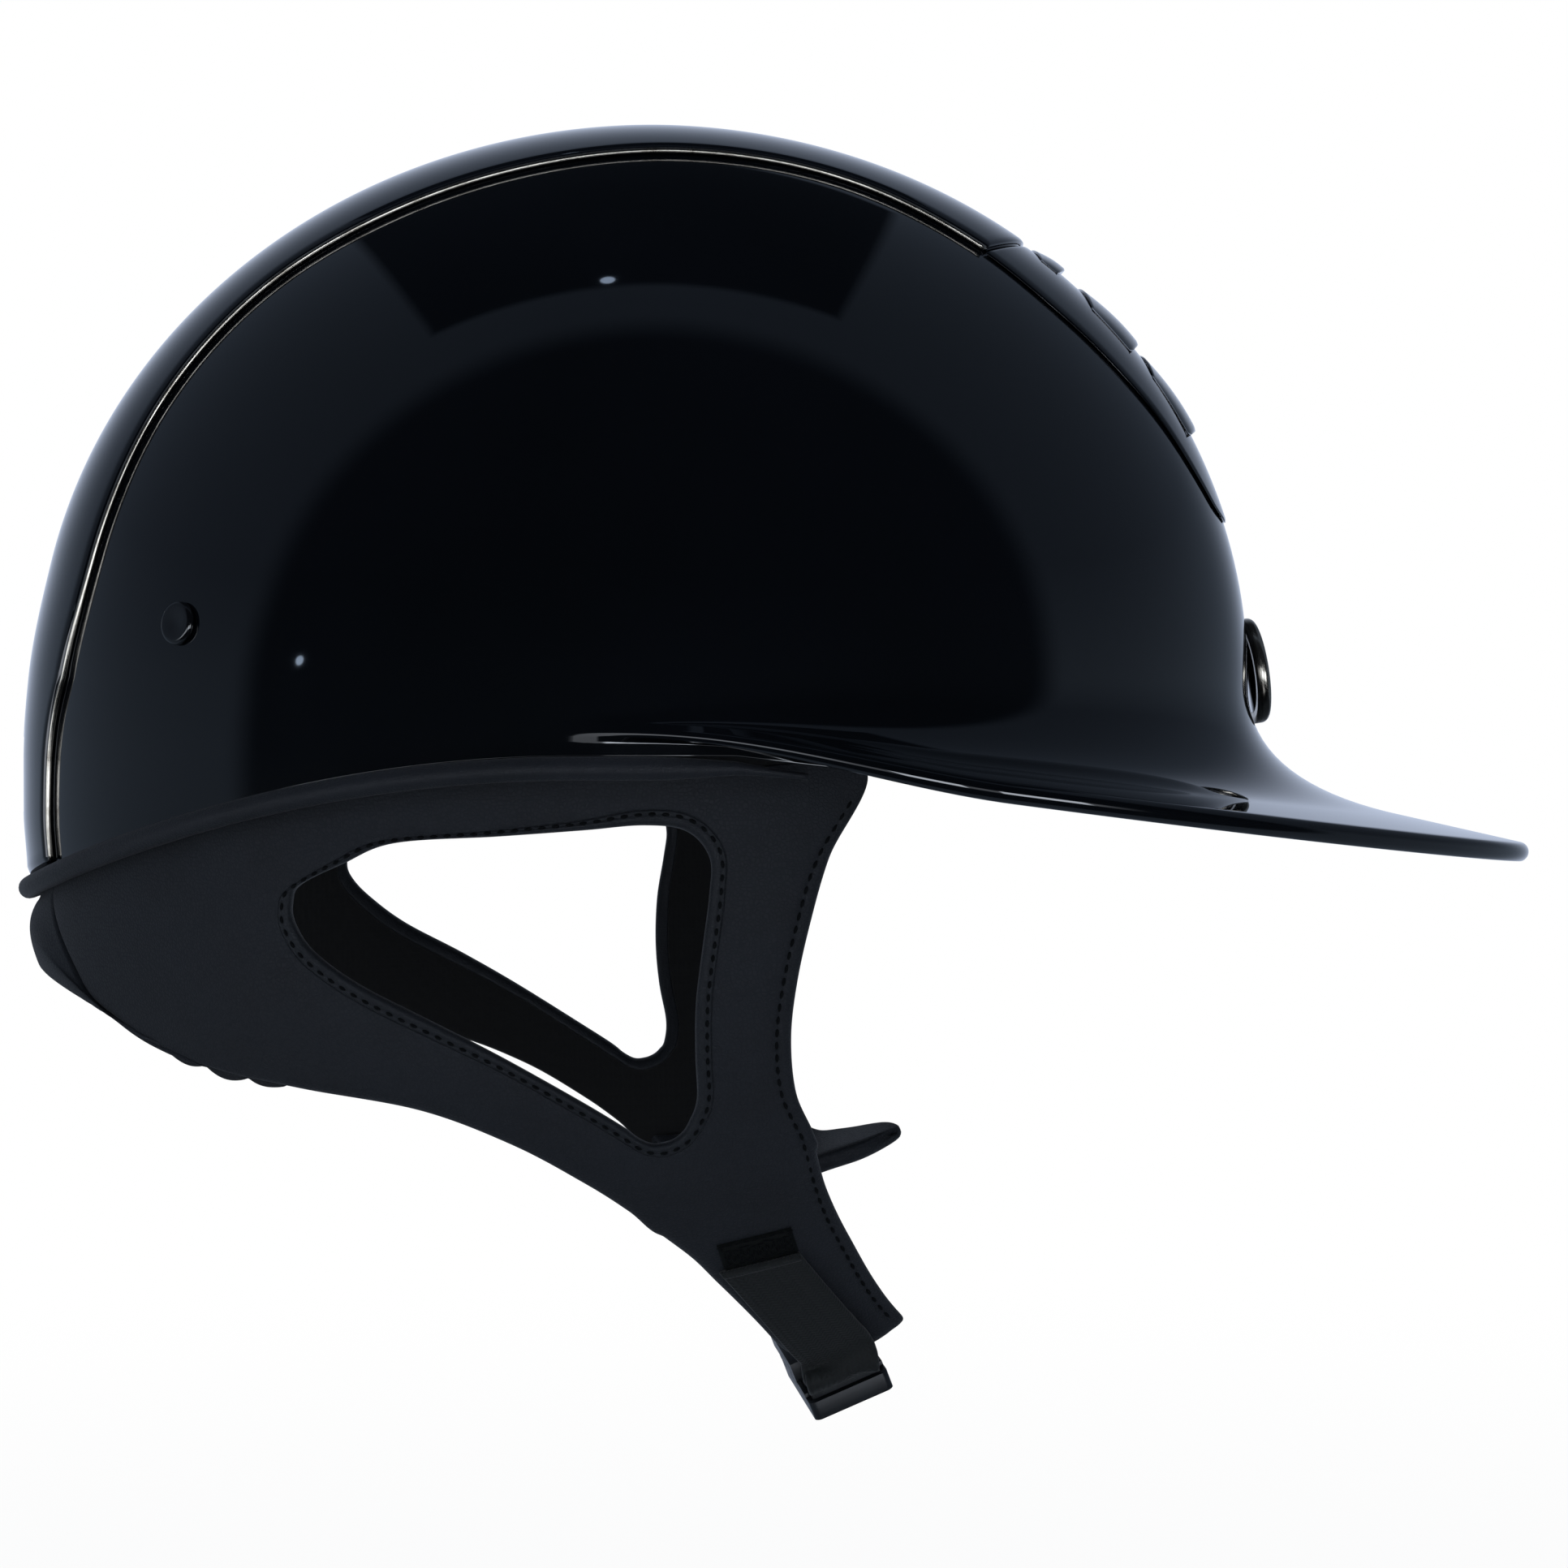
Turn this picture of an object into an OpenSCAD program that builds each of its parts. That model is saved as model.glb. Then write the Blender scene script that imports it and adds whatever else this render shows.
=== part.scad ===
// Riding helmet with a wide brim and a padded leather harness, in millimetres.
// Origin: middle of the head opening, level with the shell's edge over the ears.
// +X points forward, +Y to the wearer's left, +Z up.

/* [Shell] */
// Reach of the shell ahead of the origin
shell_front = 129.5; // [120:0.5:142]
// Reach of the shell behind the origin
shell_rear = 130; // [122:1:140]
// Half width of the shell
shell_half_width = 104; // [96:1:114]
// Height of the shell's widest line
waist_z = 17.5; // [10:0.5:22]
// Rise of the dome above its widest line
dome_height = 116; // [106:1:126]
// Squareness of the plan outline, where 2 is an ellipse
plan_power = 1.92; // [1.86:0.02:2.3]
// Forward lean of the crown
crown_lean = 1.7; // [0:0.1:6]
// Draw-in of the back of the dome above its widest line
rear_tuck = 2.3; // [0:0.1:4]
// Wall of the shell
shell_wall = 2.6; // [2:0.1:3.2]
// How sharply the shell's edge drops behind the ears
rim_curve = 0.00205; // [0.0014:0.00005:0.0026]
// Drop of the shell's edge for each millimetre towards the brow
rim_fall = 0.12; // [0.1:0.01:0.16]

/* [Brim] */
// Centre of the brim's outline ahead of the origin
brim_centre = 30; // [20:1:40]
// Half length of the brim's outline
brim_half_length = 160; // [150:1:172]
// Half width of the brim's outline
brim_half_width = 116; // [110:1:124]
// Thickness of the brim's edge
brim_edge = 4.2; // [3:0.2:5]
// Height of the edge's underside at the origin
brim_level = 2.6; // [1.6:0.2:3.6]
// Fall of the brim's edge for each millimetre forward
brim_fall = 0.148; // [0.12:0.004:0.17]
// Fall of the brim's top from the shell outwards
brim_slope = 0.21; // [0.16:0.01:0.26]
// Height of the hollow between shell and brim at the brow
fillet_rise = 21; // [12:1:23]
// Reach of the hollow between shell and brim at the brow
fillet_run = 34; // [22:1:40]
// Bearing at which the brim has its full reach
brim_full_at = 60; // [50:1:70]
// Bearing at which the brim has died into the shell
brim_gone_at = 100; // [92:1:110]

/* [Centre panel, chrome and vent panel] */
// Height of the raised centre panel's face above the shell
panel_rise = 1.5; // [1.1:0.1:2.2]
// Height of the centre panel's face at its front end
panel_front_rise = 1.6; // [1.4:0.1:2.4]
// Gap between the shell and what is fitted on it
fit_gap = 0.4; // [0.3:0.05:0.6]
// Reach of the centre panel's front end ahead of the origin
panel_front = 80; // [74:1:86]
// Sweep back of the centre panel's front end at its sides
panel_sweep = 14; // [8:1:18]
// Change of the centre panel's half width everywhere
panel_widen = 0; // [-3:0.5:3]
// Radius of the chrome bead
chrome_r = 0.6; // [0.5:0.05:0.9]
// Height of the vent panel's face above the shell
vent_rise = 1.1; // [0.9:0.1:1.5]
// Height of the vent panel's lower end
vent_end_z = 51; // [44:1:56]
// Height of a louvre's hood above the vent panel
louvre_lip = 1.1; // [0.7:0.1:2]
// Half width of the longest louvre
louvre_half_width = 28; // [22:1:30]
// Height of the rear vent's middle
rear_vent_z = -3; // [-6:1:2]
// Height of the rear vent
rear_vent_h = 16; // [12:1:20]
// Half width of the rear vent
rear_vent_half_width = 17; // [12:1:22]

/* [Badge and plugs] */
// Diameter of the badge's ring
badge_d = 23; // [19:0.5:25]
// Width of the badge's ring
badge_ring_w = 2.4; // [1.6:0.2:3.4]
// Height of the badge's ring
badge_ring_h = 3; // [2.2:0.1:3.6]
// Height of the badge's middle
badge_z = 19; // [17:0.5:24]
// Diameter of a plug's head
plug_d = 8.6; // [7:0.2:10]
// Diameter of a plug's stem
plug_stem_d = 5; // [4:0.2:6]
// Bearing of the plugs from straight ahead
plug_at = 143.2; // [138:0.2:150]
// Height of the plugs
plug_z = 27.6; // [24:0.2:34]
// Diameter of the anchor washers
washer_d = 15; // [12:0.5:18]
// Thickness of the anchor washers
washer_t = 0.8; // [0.6:0.1:1.2]

/* [Liner] */
// Thickness of the impact liner
foam_thick = 17; // [14:0.5:19]
// Room for the hook and loop patches between liner and pads
patch_room = 2.6; // [2.4:0.1:3.2]
// Thickness of the head pads
pad_thick = 5; // [4:0.5:7]
// Height of the head band's top edge
band_top_z = 38; // [32:1:44]
// Half width of a hook and loop patch, as a bearing in degrees
patch_half_angle = 7; // [5:0.5:9]
// Height of a hook and loop patch
patch_h = 14; // [10:1:18]

/* [Harness] */
// Radius of the piping on the shell's edge
pipe_r = 2.25; // [1.8:0.05:2.6]
// Distance of the piping's middle outside the shell
pipe_out = 1.4; // [0.8:0.1:1.8]
// Thickness of the harness panels
harness_thick = 4.4; // [3.4:0.2:5.4]
// Draw-in of the harness with the square of the depth
harness_draw = 0.003; // [0.0024:0.0001:0.0034]
// Padding of the nape panel
nape_pad = 2.4; // [1:0.2:3.4]
// Drop of the nape panel's lower edge at the back
nape_bottom_z = -44; // [-48:1:-40]
// Width of the bound edge of the ear openings
binding_w = 3; // [2.4:0.2:3.6]
// Distance of the joint of panel and tail ahead of the origin
joint_x = 2.5; // [1.5:0.5:3.5]
// Height of the joint of panel and tail
joint_z = -60; // [-61:0.5:-59]
// Radius of the joint of panel and tail
joint_r = 32.3; // [31.8:0.1:33]
// Gap at the joint of panel and tail
joint_gap = 0.5; // [0.4:0.05:0.8]

/* [Chin strap] */
// Width of the webbing
web_w = 15; // [13:0.5:15.5]
// Thickness of the webbing
web_t = 1.5; // [1.2:0.1:1.8]
// Height of the stitched patch that holds the webbing
tack_h = 6.5; // [5:0.5:8]
// Diameter of the buckle's bars
bar_d = 3; // [2.4:0.1:3.2]
// Thickness of the buckle's base
buckle_half_t = 3.9; // [3.7:0.1:4.6]
// Length of each half of the buckle's body
buckle_len = 16; // [15:0.5:20]
// Wall beside the webbing at the buckle's bars
cheek_t = 0.9; // [0.8:0.1:1.6]
// Diameter of the magnets
magnet_d = 6; // [4:0.5:7]
// Thickness of the magnets
magnet_t = 1.2; // [1:0.1:1.3]
// Thickness of the strap slider
slider_t = 5; // [4.6:0.1:6]
// Length of the strap slider
slider_len = 12; // [10:0.5:16]
// Place of the strap slider along its webbing, from the buckle
slider_at = 24; // [22:1:28]

/* [Hidden] */

// Steps round the shell and the head band, and the dome's rings
shell_steps = 64;
band_steps = 48;
shell_bearings = [for (i = [0:shell_steps - 1]) 360 * i / shell_steps - 180];
dome_ups = [81, 72, 63, 54, 45, 36, 27, 18, 9, 0];
// Clearances: sewn or bonded neighbours, sliding fits and pockets
seat = 0.3;
slide_fit = 0.15;
pocket_fit = 0.05;
bond = 0.05;
// Half width of the centre panel by bearing over the crown, from the brow backwards
panel_widths = [
    [50, 42], [62, 41.5], [76, 40], [90, 41.5], [105, 43], [120, 42.5], [134, 40.5], [148, 41], [162, 43], [173, 43],
    [180, 39.5]
];
// Half width of the centre panel at the shell's edge
panel_foot_half_width = 34.3;
// Half width of the vent panel from its upper to its lower end
vent_widths = [
    [0, 43], [0.2, 44], [0.35, 43], [0.5, 41], [0.65, 37.6], [0.8, 33.8], [0.9, 30], [0.96, 26], [1, 18]
];
// Each louvre: where its upper end and its lip lie ahead of the origin, and its share of the longest louvre
louvres = [[81.5, 88, 0.84], [91.5, 103.4, 1], [104.8, 115.8, 0.88]];
// Outline of the right harness panel: ear opening x and z, then outer edge x and z
front_spokes = [
    [5, -12, 12, 0], [9.4, -17, 39, 0], [9.4, -24, 32.4, -17], [8.2, -34, 29, -29], [7, -45, 26.5, -41],
    [7, -55, 25.5, -52], [7.4, -64, 26.7, -63], [5.7, -69, 30.2, -71]
];
joint_spokes = [[4.5, -70.8, -28], [3, -72, -44], [1, -72.7, -60], [-1.4, -72.8, -76], [-4, -71.5, -92.5]];
lower_spokes = [
    [-7, -69.2, -5.5, -87], [-15.6, -63.8, -14, -81.2], [-30, -55.5, -28, -73.3], [-43, -48.8, -46, -66.5]
];
rear_spokes = [
    [-57, -41.8, -69, -62.9], [-66, -35.5, -84, -60.3], [-69.8, -30, -97.5, -56.5], [-70.2, -26, -106.7, -51.5],
    [-68.5, -22.7, -116.3, -43.8], [-60, -18.5, -122.3, -23]
];
top_spokes = [[-50, -14.4, -90, 0], [-30, -13, -61.4, 0], [-14, -11.8, -34, 0], [-3, -10.9, -8, 0]];
// The reference outline was drawn for this reach of the shell's rear
outline_rear = 130;
// How much smaller the left ear opening is, by spoke
left_inset = [
    [0, 1], [1, 3.2], [3, 4], [5, 2.4], [7, 0], [14, 0], [16, 1.4], [18, 2.4], [20, 0.6], [21, 0], [26, 0]
];
// The seam of side and nape panel runs along the panel's edge, over these rear spokes
seam_spokes = [1, 5];
// Right tail: front edge x and z, then rear edge x and z, for each step down
tail_steps = [
    [31.6, -75.6, 1.0, -92.9], [33.2, -82, 7, -97.6], [35.8, -88.4, 11.9, -102.6], [39.2, -95, 16.6, -107.5],
    [43, -101.8, 20.6, -112], [47, -107.8, 24.3, -116.4], [51, -112.6, 27.2, -119.2]
];
// Left tail below the joint: front edge x, y and z, then rear edge x, y and z, for each step down
left_tail_steps = [
    [35.2, 74, -84.4, 14, 58, -101], [41.2, 64, -89.4, 27, 44, -99.4], [47.6, 57.6, -88.8, 39, 37, -93.4],
    [54.4, 52, -87, 48.6, 34.4, -89.8], [58.8, 48.6, -85.4, 56, 39, -87.2]
];
// Middle of the buckle's bar end, and the buckle's attitude
buckle_at = [38.9, -50, -126.1];
buckle_turn = [9.5, -22, 5];

// Derived sizes
harness_half_length = shell_rear - 1;
harness_half_width = shell_half_width - 5;
foam_in = shell_wall + seat + bond + foam_thick;
pad_out = foam_in + patch_room;
pad_in = pad_out + pad_thick;
rear_shift = outline_rear - shell_rear;
washer_low = washer_t + 3 * seat;
ring_slot_w = web_w + 2 * slide_fit + 2 * bond;
frame_w = ring_slot_w + 2 * cheek_t;
bar_y = bar_d / 2 + web_t + seat;

function mix(a, b, t) = a + (b - a) * t;
function ease(t) = let (c = max(0, min(1, t))) c * c * (3 - 2 * c);
function unit(v) = v / norm(v);

// Smooth curve through points, k steps from each to the next
function spline(a, b, c, d, t) =
    0.5 * (2 * b + (c - a) * t + (2 * a - 5 * b + 4 * c - d) * pow(t, 2) + (3 * b - a - 3 * c + d) * pow(t, 3));
function open_curve(p, k) = let (n = len(p)) concat(
    [for (i = [0:n - 2], j = [0:k - 1]) spline(p[max(i - 1, 0)], p[i], p[i + 1], p[min(i + 2, n - 1)], j / k)],
    [p[n - 1]]);
function closed_curve(p, k) = let (n = len(p))
    [for (i = [0:n - 1], j = [0:k - 1])
        spline(p[(i + n - 1) % n], p[i], p[(i + 1) % n], p[(i + 2) % n], j / k)];

// Shell surface: reach in plan on a bearing, moved outwards by d
function plan_reach(bearing, d) =
    let (a = (cos(bearing) > 0 ? shell_front : shell_rear) + d, b = shell_half_width + d)
    pow(pow(abs(cos(bearing)) / a, plan_power) + pow(abs(sin(bearing)) / b, plan_power), -1 / plan_power);
// Forward shift of the dome at an elevation, where back is how squarely the point faces backwards
function dome_shift(up, back) =
    crown_lean * pow(sin(up), 2) + rear_tuck * back * sin(180 * pow(up / 90, 0.4));
// Point on the dome at a bearing and an elevation from its widest line
function dome_point(bearing, up, d) =
    let (r = plan_reach(bearing, d) * cos(up), back = pow(min(0, cos(bearing)), 2))
    [r * cos(bearing) + dome_shift(up, back), r * sin(bearing), waist_z + (dome_height + d) * sin(up)];
// Point on the shell at a bearing and a height
function wall_point(bearing, z, d) = z > waist_z
    ? dome_point(bearing, asin((z - waist_z) / (dome_height + d)), d)
    : let (r = plan_reach(bearing, d)) [r * cos(bearing), r * sin(bearing), z];
// Point over the crown at side offset y, where over runs from 0 at the brow to 180 at the back
function over_point(over, y, d) =
    let (
        b = shell_half_width + d, a = (over < 90 ? shell_front : shell_rear) + d,
        q = pow(abs(y) / b, plan_power),
        c = min(1, pow(q + (1 - q) * pow(abs(cos(over)), plan_power), 1 / plan_power)),
        x = a * pow(1 - q, 1 / plan_power) * cos(over), back = pow(min(0, x), 2) / (x * x + y * y + 0.01)
    )
    [x + dome_shift(acos(c), back), y, waist_z + (dome_height + d) * sqrt(1 - c * c)];
// Bearing over the crown at which the surface at side offset y reaches x
function over_at_x(x, y) =
    let (
        q = pow(abs(y) / shell_half_width, plan_power), guess = acos(x / shell_front),
        lean = crown_lean * pow(sin(guess), 2) * (1 - q)
    )
    acos(min(1, (x - lean) / (shell_front * pow(1 - q, 1 / plan_power))));

// Height of the piping's middle, and of the shell's edge above it
function pipe_z(x) = x < -15 ? -rim_curve * pow(x + 15, 2) : x < 14 ? 0 : -rim_fall * (x - 14);
function rim_z(x) = pipe_z(x) + sqrt(pow(pipe_r + seat, 2) - pow(pipe_out, 2));
// Top of the nape panel under the piping, and of the side panels, which are tucked in behind it
function leather_top_z(x) = pipe_z(x) - pipe_r - seat;
function tuck_z(x) = pipe_z(x) + pipe_r / 2;

// Mesh helpers: points in rows, all rows of one length, outer side first
function flat(rows) = [for (r = rows) each r];
function grid_faces(rows, cols, base, turned, closed) =
    [for (i = [0:rows - (closed ? 1 : 2)], j = [0:cols - 2])
        let (a = base + i * cols + j, b = base + ((i + 1) % rows) * cols + j)
        each turned ? [[a, b + 1, b], [a, a + 1, b + 1]] : [[a, b, b + 1], [a, b + 1, a + 1]]];
function edge_faces(rows, cols, j, turned, closed) = let (back = rows * cols)
    [for (i = [0:rows - (closed ? 1 : 2)])
        let (a = i * cols + j, b = ((i + 1) % rows) * cols + j)
        each turned ? [[a, b, b + back], [a, b + back, a + back]] : [[a, b + back, b], [a, a + back, b + back]]];
function end_faces(rows, cols, i, turned) = let (back = rows * cols)
    [for (j = [0:cols - 2])
        let (a = i * cols + j, b = a + 1)
        each turned ? [[a, b + back, b], [a, a + back, b + back]] : [[a, b, b + back], [a, b + back, a + back]]];

// Sheet with a thickness: two grids of points, joined at their edges
module sheet(outer, inner, closed = false) {
    rows = len(outer);
    cols = len(outer[0]);
    polyhedron(
        points = concat(flat(outer), flat(inner)),
        faces = concat(
            grid_faces(rows, cols, 0, false, closed), grid_faces(rows, cols, rows * cols, true, closed),
            edge_faces(rows, cols, 0, false, closed), edge_faces(rows, cols, cols - 1, true, closed),
            closed ? [] : end_faces(rows, cols, 0, false), closed ? [] : end_faces(rows, cols, rows - 1, true)),
        convexity = 8);
}

// Closed skin from rings of points, ending in a single point at each end
module capped_rings(rings, first, last) {
    n = len(rings[0]);
    m = len(rings);
    polyhedron(
        points = concat(flat(rings), [first, last]),
        faces = concat(
            [for (k = [0:m - 2], i = [0:n - 1]) let (j = (i + 1) % n, a = k * n, b = a + n)
                each [[a + i, b + j, b + i], [a + i, a + j, b + j]]],
            [for (i = [0:n - 1]) [m * n, (i + 1) % n, i]],
            [for (i = [0:n - 1]) [m * n + 1, (m - 1) * n + i, (m - 1) * n + (i + 1) % n]]),
        convexity = 8);
}

// Tube from sections of points, closed on itself or with flat ends
module swept(sections, closed = false) {
    n = len(sections[0]);
    m = len(sections);
    polyhedron(
        points = flat(sections),
        faces = concat(
            [for (k = [0:m - (closed ? 1 : 2)], i = [0:n - 1])
                let (j = (i + 1) % n, a = k * n, b = ((k + 1) % m) * n)
                each [[a + i, b + i, b + j], [a + i, b + j, a + j]]],
            closed ? [] : [for (i = [1:n - 2]) [0, i, i + 1]],
            closed ? [] : [for (i = [1:n - 2]) let (a = (m - 1) * n) [a, a + i + 1, a + i]]),
        convexity = 8);
}

// Section points round p in the plane of the directions side and out
function oval(p, side, out, rs, ro, n) =
    [for (i = [0:n - 1]) let (t = 360 * i / n) p + side * rs * cos(t) + out * ro * sin(t)];
function slab(p, side, out, w, t) =
    [for (s = [[-1, -1], [1, -1], [1, 1], [-1, 1]]) p + side * s[0] * w / 2 + out * s[1] * t / 2];

// Places children with their +Z along the shell's outward normal
module on_shell(bearing, z, d) {
    p = wall_point(bearing, z, d);
    u = unit(wall_point(bearing + 0.5, z, d) - wall_point(bearing - 0.5, z, d));
    w = unit(cross(u, wall_point(bearing, z + 0.5, d) - wall_point(bearing, z - 0.5, d)));
    v = cross(w, u);
    multmatrix([[u[0], v[0], w[0], p[0]], [u[1], v[1], w[1], p[1]], [u[2], v[2], w[2], p[2]]]) children();
}

// Brim: reach of its outline, and how much of it there is on a bearing
function brim_reach(bearing) =
    let (
        l2 = pow(brim_half_length, 2), w2 = pow(brim_half_width, 2),
        a = pow(cos(bearing), 2) / l2 + pow(sin(bearing), 2) / w2,
        b = brim_centre * cos(bearing) / l2, c = pow(brim_centre, 2) / l2 - 1
    )
    (b + sqrt(b * b - a * c)) / a;
function brim_share(bearing) = 1 - ease((abs(bearing) - brim_full_at) / (brim_gone_at - brim_full_at));
brim_front = brim_reach(0) - plan_reach(0, 0);

// Hollow, top, edge and underside of the brim as distance from the shell's wall and height
function brim_profile(bearing) =
    let (
        e = max(1, brim_reach(bearing) - plan_reach(bearing, 0)), x = brim_reach(bearing) * cos(bearing),
        low = brim_level - brim_fall * x + 0.0001 * x * x,
        root = low + brim_edge + brim_slope * e,
        rise = fillet_rise * pow(e / brim_front, 0.4), run = min(fillet_run, 0.56 * e), r = brim_edge / 2
    )
    concat(
        [for (t = [0:0.25:1]) [run * t * t,
            (1 - t) * (1 - t) * (root + rise) + 2 * t * (1 - t) * root + t * t * (root - brim_slope * run)]],
        [for (k = [1, 2]) let (o = mix(run, e - r, k / 3)) [o, root - brim_slope * o]],
        [for (t = [70, 25, -25, -70]) [e - r + r * cos(t), low + r + r * sin(t)]],
        [for (k = [1, 2, 3]) [(e - r) * (1 - k / 3), mix(low, root - brim_edge, k / 3)]]);
profile_count = 14;
// Heights that the same points take on the plain wall
plain_top_z = 10;
plain_low_z = 4.9;
function edge_profile(bearing) = let (p = brim_profile(bearing), w = brim_share(bearing))
    [for (k = [0:profile_count - 1]) mix([0, mix(plain_top_z, plain_low_z, k / (profile_count - 1))], p[k], w)];

module outer_shell() {
    bearings = shell_bearings;
    ups = dome_ups;
    profiles = [for (b = bearings) edge_profile(b)];
    function rim_at(b) = rim_z(plan_reach(b, 0) * cos(b));
    rings = concat(
        [for (up = ups) [for (b = bearings) dome_point(b, up, 0)]],
        [for (k = [0:profile_count - 1]) [for (i = [0:shell_steps - 1])
            let (b = bearings[i], r = plan_reach(b, 0) + profiles[i][k][0])
            [r * cos(b), r * sin(b), profiles[i][k][1]]]],
        [for (d = [0, -shell_wall]) [for (b = bearings)
            let (r = plan_reach(b, d)) [r * cos(b), r * sin(b), rim_at(b)]]],
        [for (k = [len(ups) - 1:-1:0]) [for (b = bearings) dome_point(b, ups[k], -shell_wall)]]);
    color("#0b0e12") difference() {
        capped_rings(rings, dome_point(0, 90, 0), dome_point(0, 90, -shell_wall));
        for (side = [-1, 1]) on_shell(side * plug_at, plug_z, 0)
            translate([0, 0, -2 * shell_wall])
                cylinder(d = plug_stem_d + 2 * pocket_fit, h = 3 * shell_wall, $fn = 48);
    }
}

// Centre panel: from its front end over the crown to the shell's rear edge
function panel_half_width(over) = lookup(over, panel_widths) + panel_widen;
function panel_start(y) = over_at_x(panel_front - panel_sweep * pow(y / 45, 2), y);
panel_rows = 22;
panel_foot_rows = 4;
// The face's outermost columns are let down to a slim edge
panel_base = fit_gap * 0.6;
panel_edge_drop = 0.45;
// Grid of points at shares s across the panel, moved outwards by d
function panel_row(v, shares, extra, d) =
    [for (s = shares)
        let (o0 = mix(60, 180, v), y = s * (panel_half_width(o0) + extra), over = mix(panel_start(y), 180, v))
        over_point(over, y, d)];
function panel_foot_row(v, shares, extra, d) =
    let (w = mix(panel_foot_half_width + panel_widen, panel_half_width(180), pow(1 - v, 3)) + extra)
    [for (s = shares)
        let (y = s * w, p = over_point(180, y, d), low = pipe_z(over_point(180, y, 0)[0]) + pipe_r + seat)
        [p[0], y, mix(waist_z, low, v)]];
// Shares of the half width at which the panel's face has its columns
panel_shares = [-1, -0.985, -0.68, -0.36, -0.34, 0, 0.34, 0.36, 0.68, 0.985, 1];

// The rear vent is a shallow bay in the panel's foot
module crown_panel() {
    function rise(v) = mix(panel_front_rise, panel_rise, ease(v / 0.35));
    function edge(s) = abs(s) > 0.99 ? panel_edge_drop : 0;
    top_rows = [for (i = [0:panel_rows - 1]) let (v = i / panel_rows)
        [for (s = panel_shares) panel_row(v, [s], 0, panel_base + rise(v) - edge(s))[0]]];
    under_rows = [for (i = [0:panel_rows - 1]) panel_row(i / panel_rows, panel_shares, 0, fit_gap)];
    foot = [for (v = [0:1 / panel_foot_rows:1]) v];
    foot_top = [for (v = foot)
        [for (s = panel_shares) panel_foot_row(v, [s], 0, panel_base + panel_rise - edge(s))[0]]];
    foot_under = [for (v = foot) panel_foot_row(v, panel_shares, 0, fit_gap)];
    color("#141a22") difference() {
        sheet(concat(top_rows, foot_top), concat(under_rows, foot_under));
        translate([-shell_rear - 20, -rear_vent_half_width, rear_vent_z - rear_vent_h / 2])
            cube([40, 2 * rear_vent_half_width, rear_vent_h]);
    }
}

// Grille in the rear vent: a frame with three slots, following the shell
module rear_vent_grille() {
    w = rear_vent_half_width - seat;
    h = rear_vent_h - 2 * seat;
    slot = 2.2;
    ys = [for (s = [-1:0.25:1]) s * w];
    function row(z, d) = [for (y = ys) let (p = over_point(180, y, d)) [p[0], y, z]];
    zs = [rear_vent_z + h / 2, rear_vent_z - h / 2];
    color("#1b1f26") difference() {
        sheet([for (z = zs) row(z, fit_gap + 0.9)], [for (z = zs) row(z, fit_gap)]);
        for (k = [-1, 0, 1]) translate([-shell_rear - 20, -w + 3, rear_vent_z + k * 4.2 - slot / 2])
            cube([40, 2 * w - 6, slot]);
    }
}

module chrome_trim(side) {
    out = chrome_r + 0.55;
    d = fit_gap + chrome_r;
    path = concat(
        [for (i = [0:40]) panel_row(i / 41, [side], out, d)[0]],
        [for (v = [0, 0.5, 1]) let (p = panel_foot_row(v, [side], out, d)[0]) v < 1 ? p : p + [0, 0, chrome_r]]);
    n = len(path);
    color("#c9ccd0") swept([for (i = [0:n - 1])
        let (
            along = unit(path[min(i + 1, n - 1)] - path[max(i - 1, 0)]),
            up = unit(cross(along, [0, 1, 0])), aside = cross(up, along)
        )
        oval(path[i], aside, up, chrome_r, chrome_r, 6)]);
}
module chrome_trim_right() { chrome_trim(-1); }
module chrome_trim_left() { chrome_trim(1); }

// Vent panel below the centre panel's front end
vent_steps = 12;
vent_shares = [-1, -0.97, -0.6, -0.3, 0, 0.3, 0.6, 0.97, 1];
vent_end = acos((sqrt(1 - pow((vent_end_z - waist_z) / dome_height, 2))));
// Gap below the centre panel's front end, in degrees over the crown
vent_lead = 1.2;
function vent_at(t, s, d) = let (y = s * lookup(t, vent_widths))
    over_point(mix(panel_start(y) - vent_lead, vent_end, t), y, d);
// The face thins towards its lower end and its sides
function vent_thin(t, s) = 0.4 * ease(2 * t - 1) + (abs(s) > 0.98 ? 0.2 : 0);
module front_vent_panel() {
    ts = [for (i = [vent_steps:-1:0]) 1 - pow(1 - i / vent_steps, 1.25)];
    color("#10151b") sheet(
        [for (t = ts) [for (s = vent_shares) vent_at(t, s, vent_rise - vent_thin(t, s))]],
        [for (t = ts) [for (s = vent_shares) vent_at(t, s, fit_gap)]]);
}

// Louvres: low hoods that rise forward to a lip, dying out at both sides
module louvre(back_x, lip_x, share) {
    shares = [-1, -0.9, -0.65, -0.33, 0, 0.33, 0.65, 0.9, 1];
    w = louvre_half_width * share;
    function lift(s, t) = vent_rise + seat + (0.5 + louvre_lip * sin(110 * t)) * max(0.2, 1 - s * s);
    function at(s, t, d) = over_point(over_at_x(mix(back_x, lip_x - 0.14 * w * s * s, t), s * w), s * w, d);
    ts = [1, 0.95, 0.7, 0.35, 0];
    sheet(
        [for (t = ts) [for (s = shares) at(s, t, lift(s, t) - (t == 1 ? 0.5 * (1 - s * s) : 0))]],
        [for (t = ts) [for (s = shares) at(s, t, vent_rise + seat)]]);
}
module vent_louvres() {
    color("#0e1217") for (l = louvres) louvre(l[0], l[1], l[2]);
}

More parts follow.
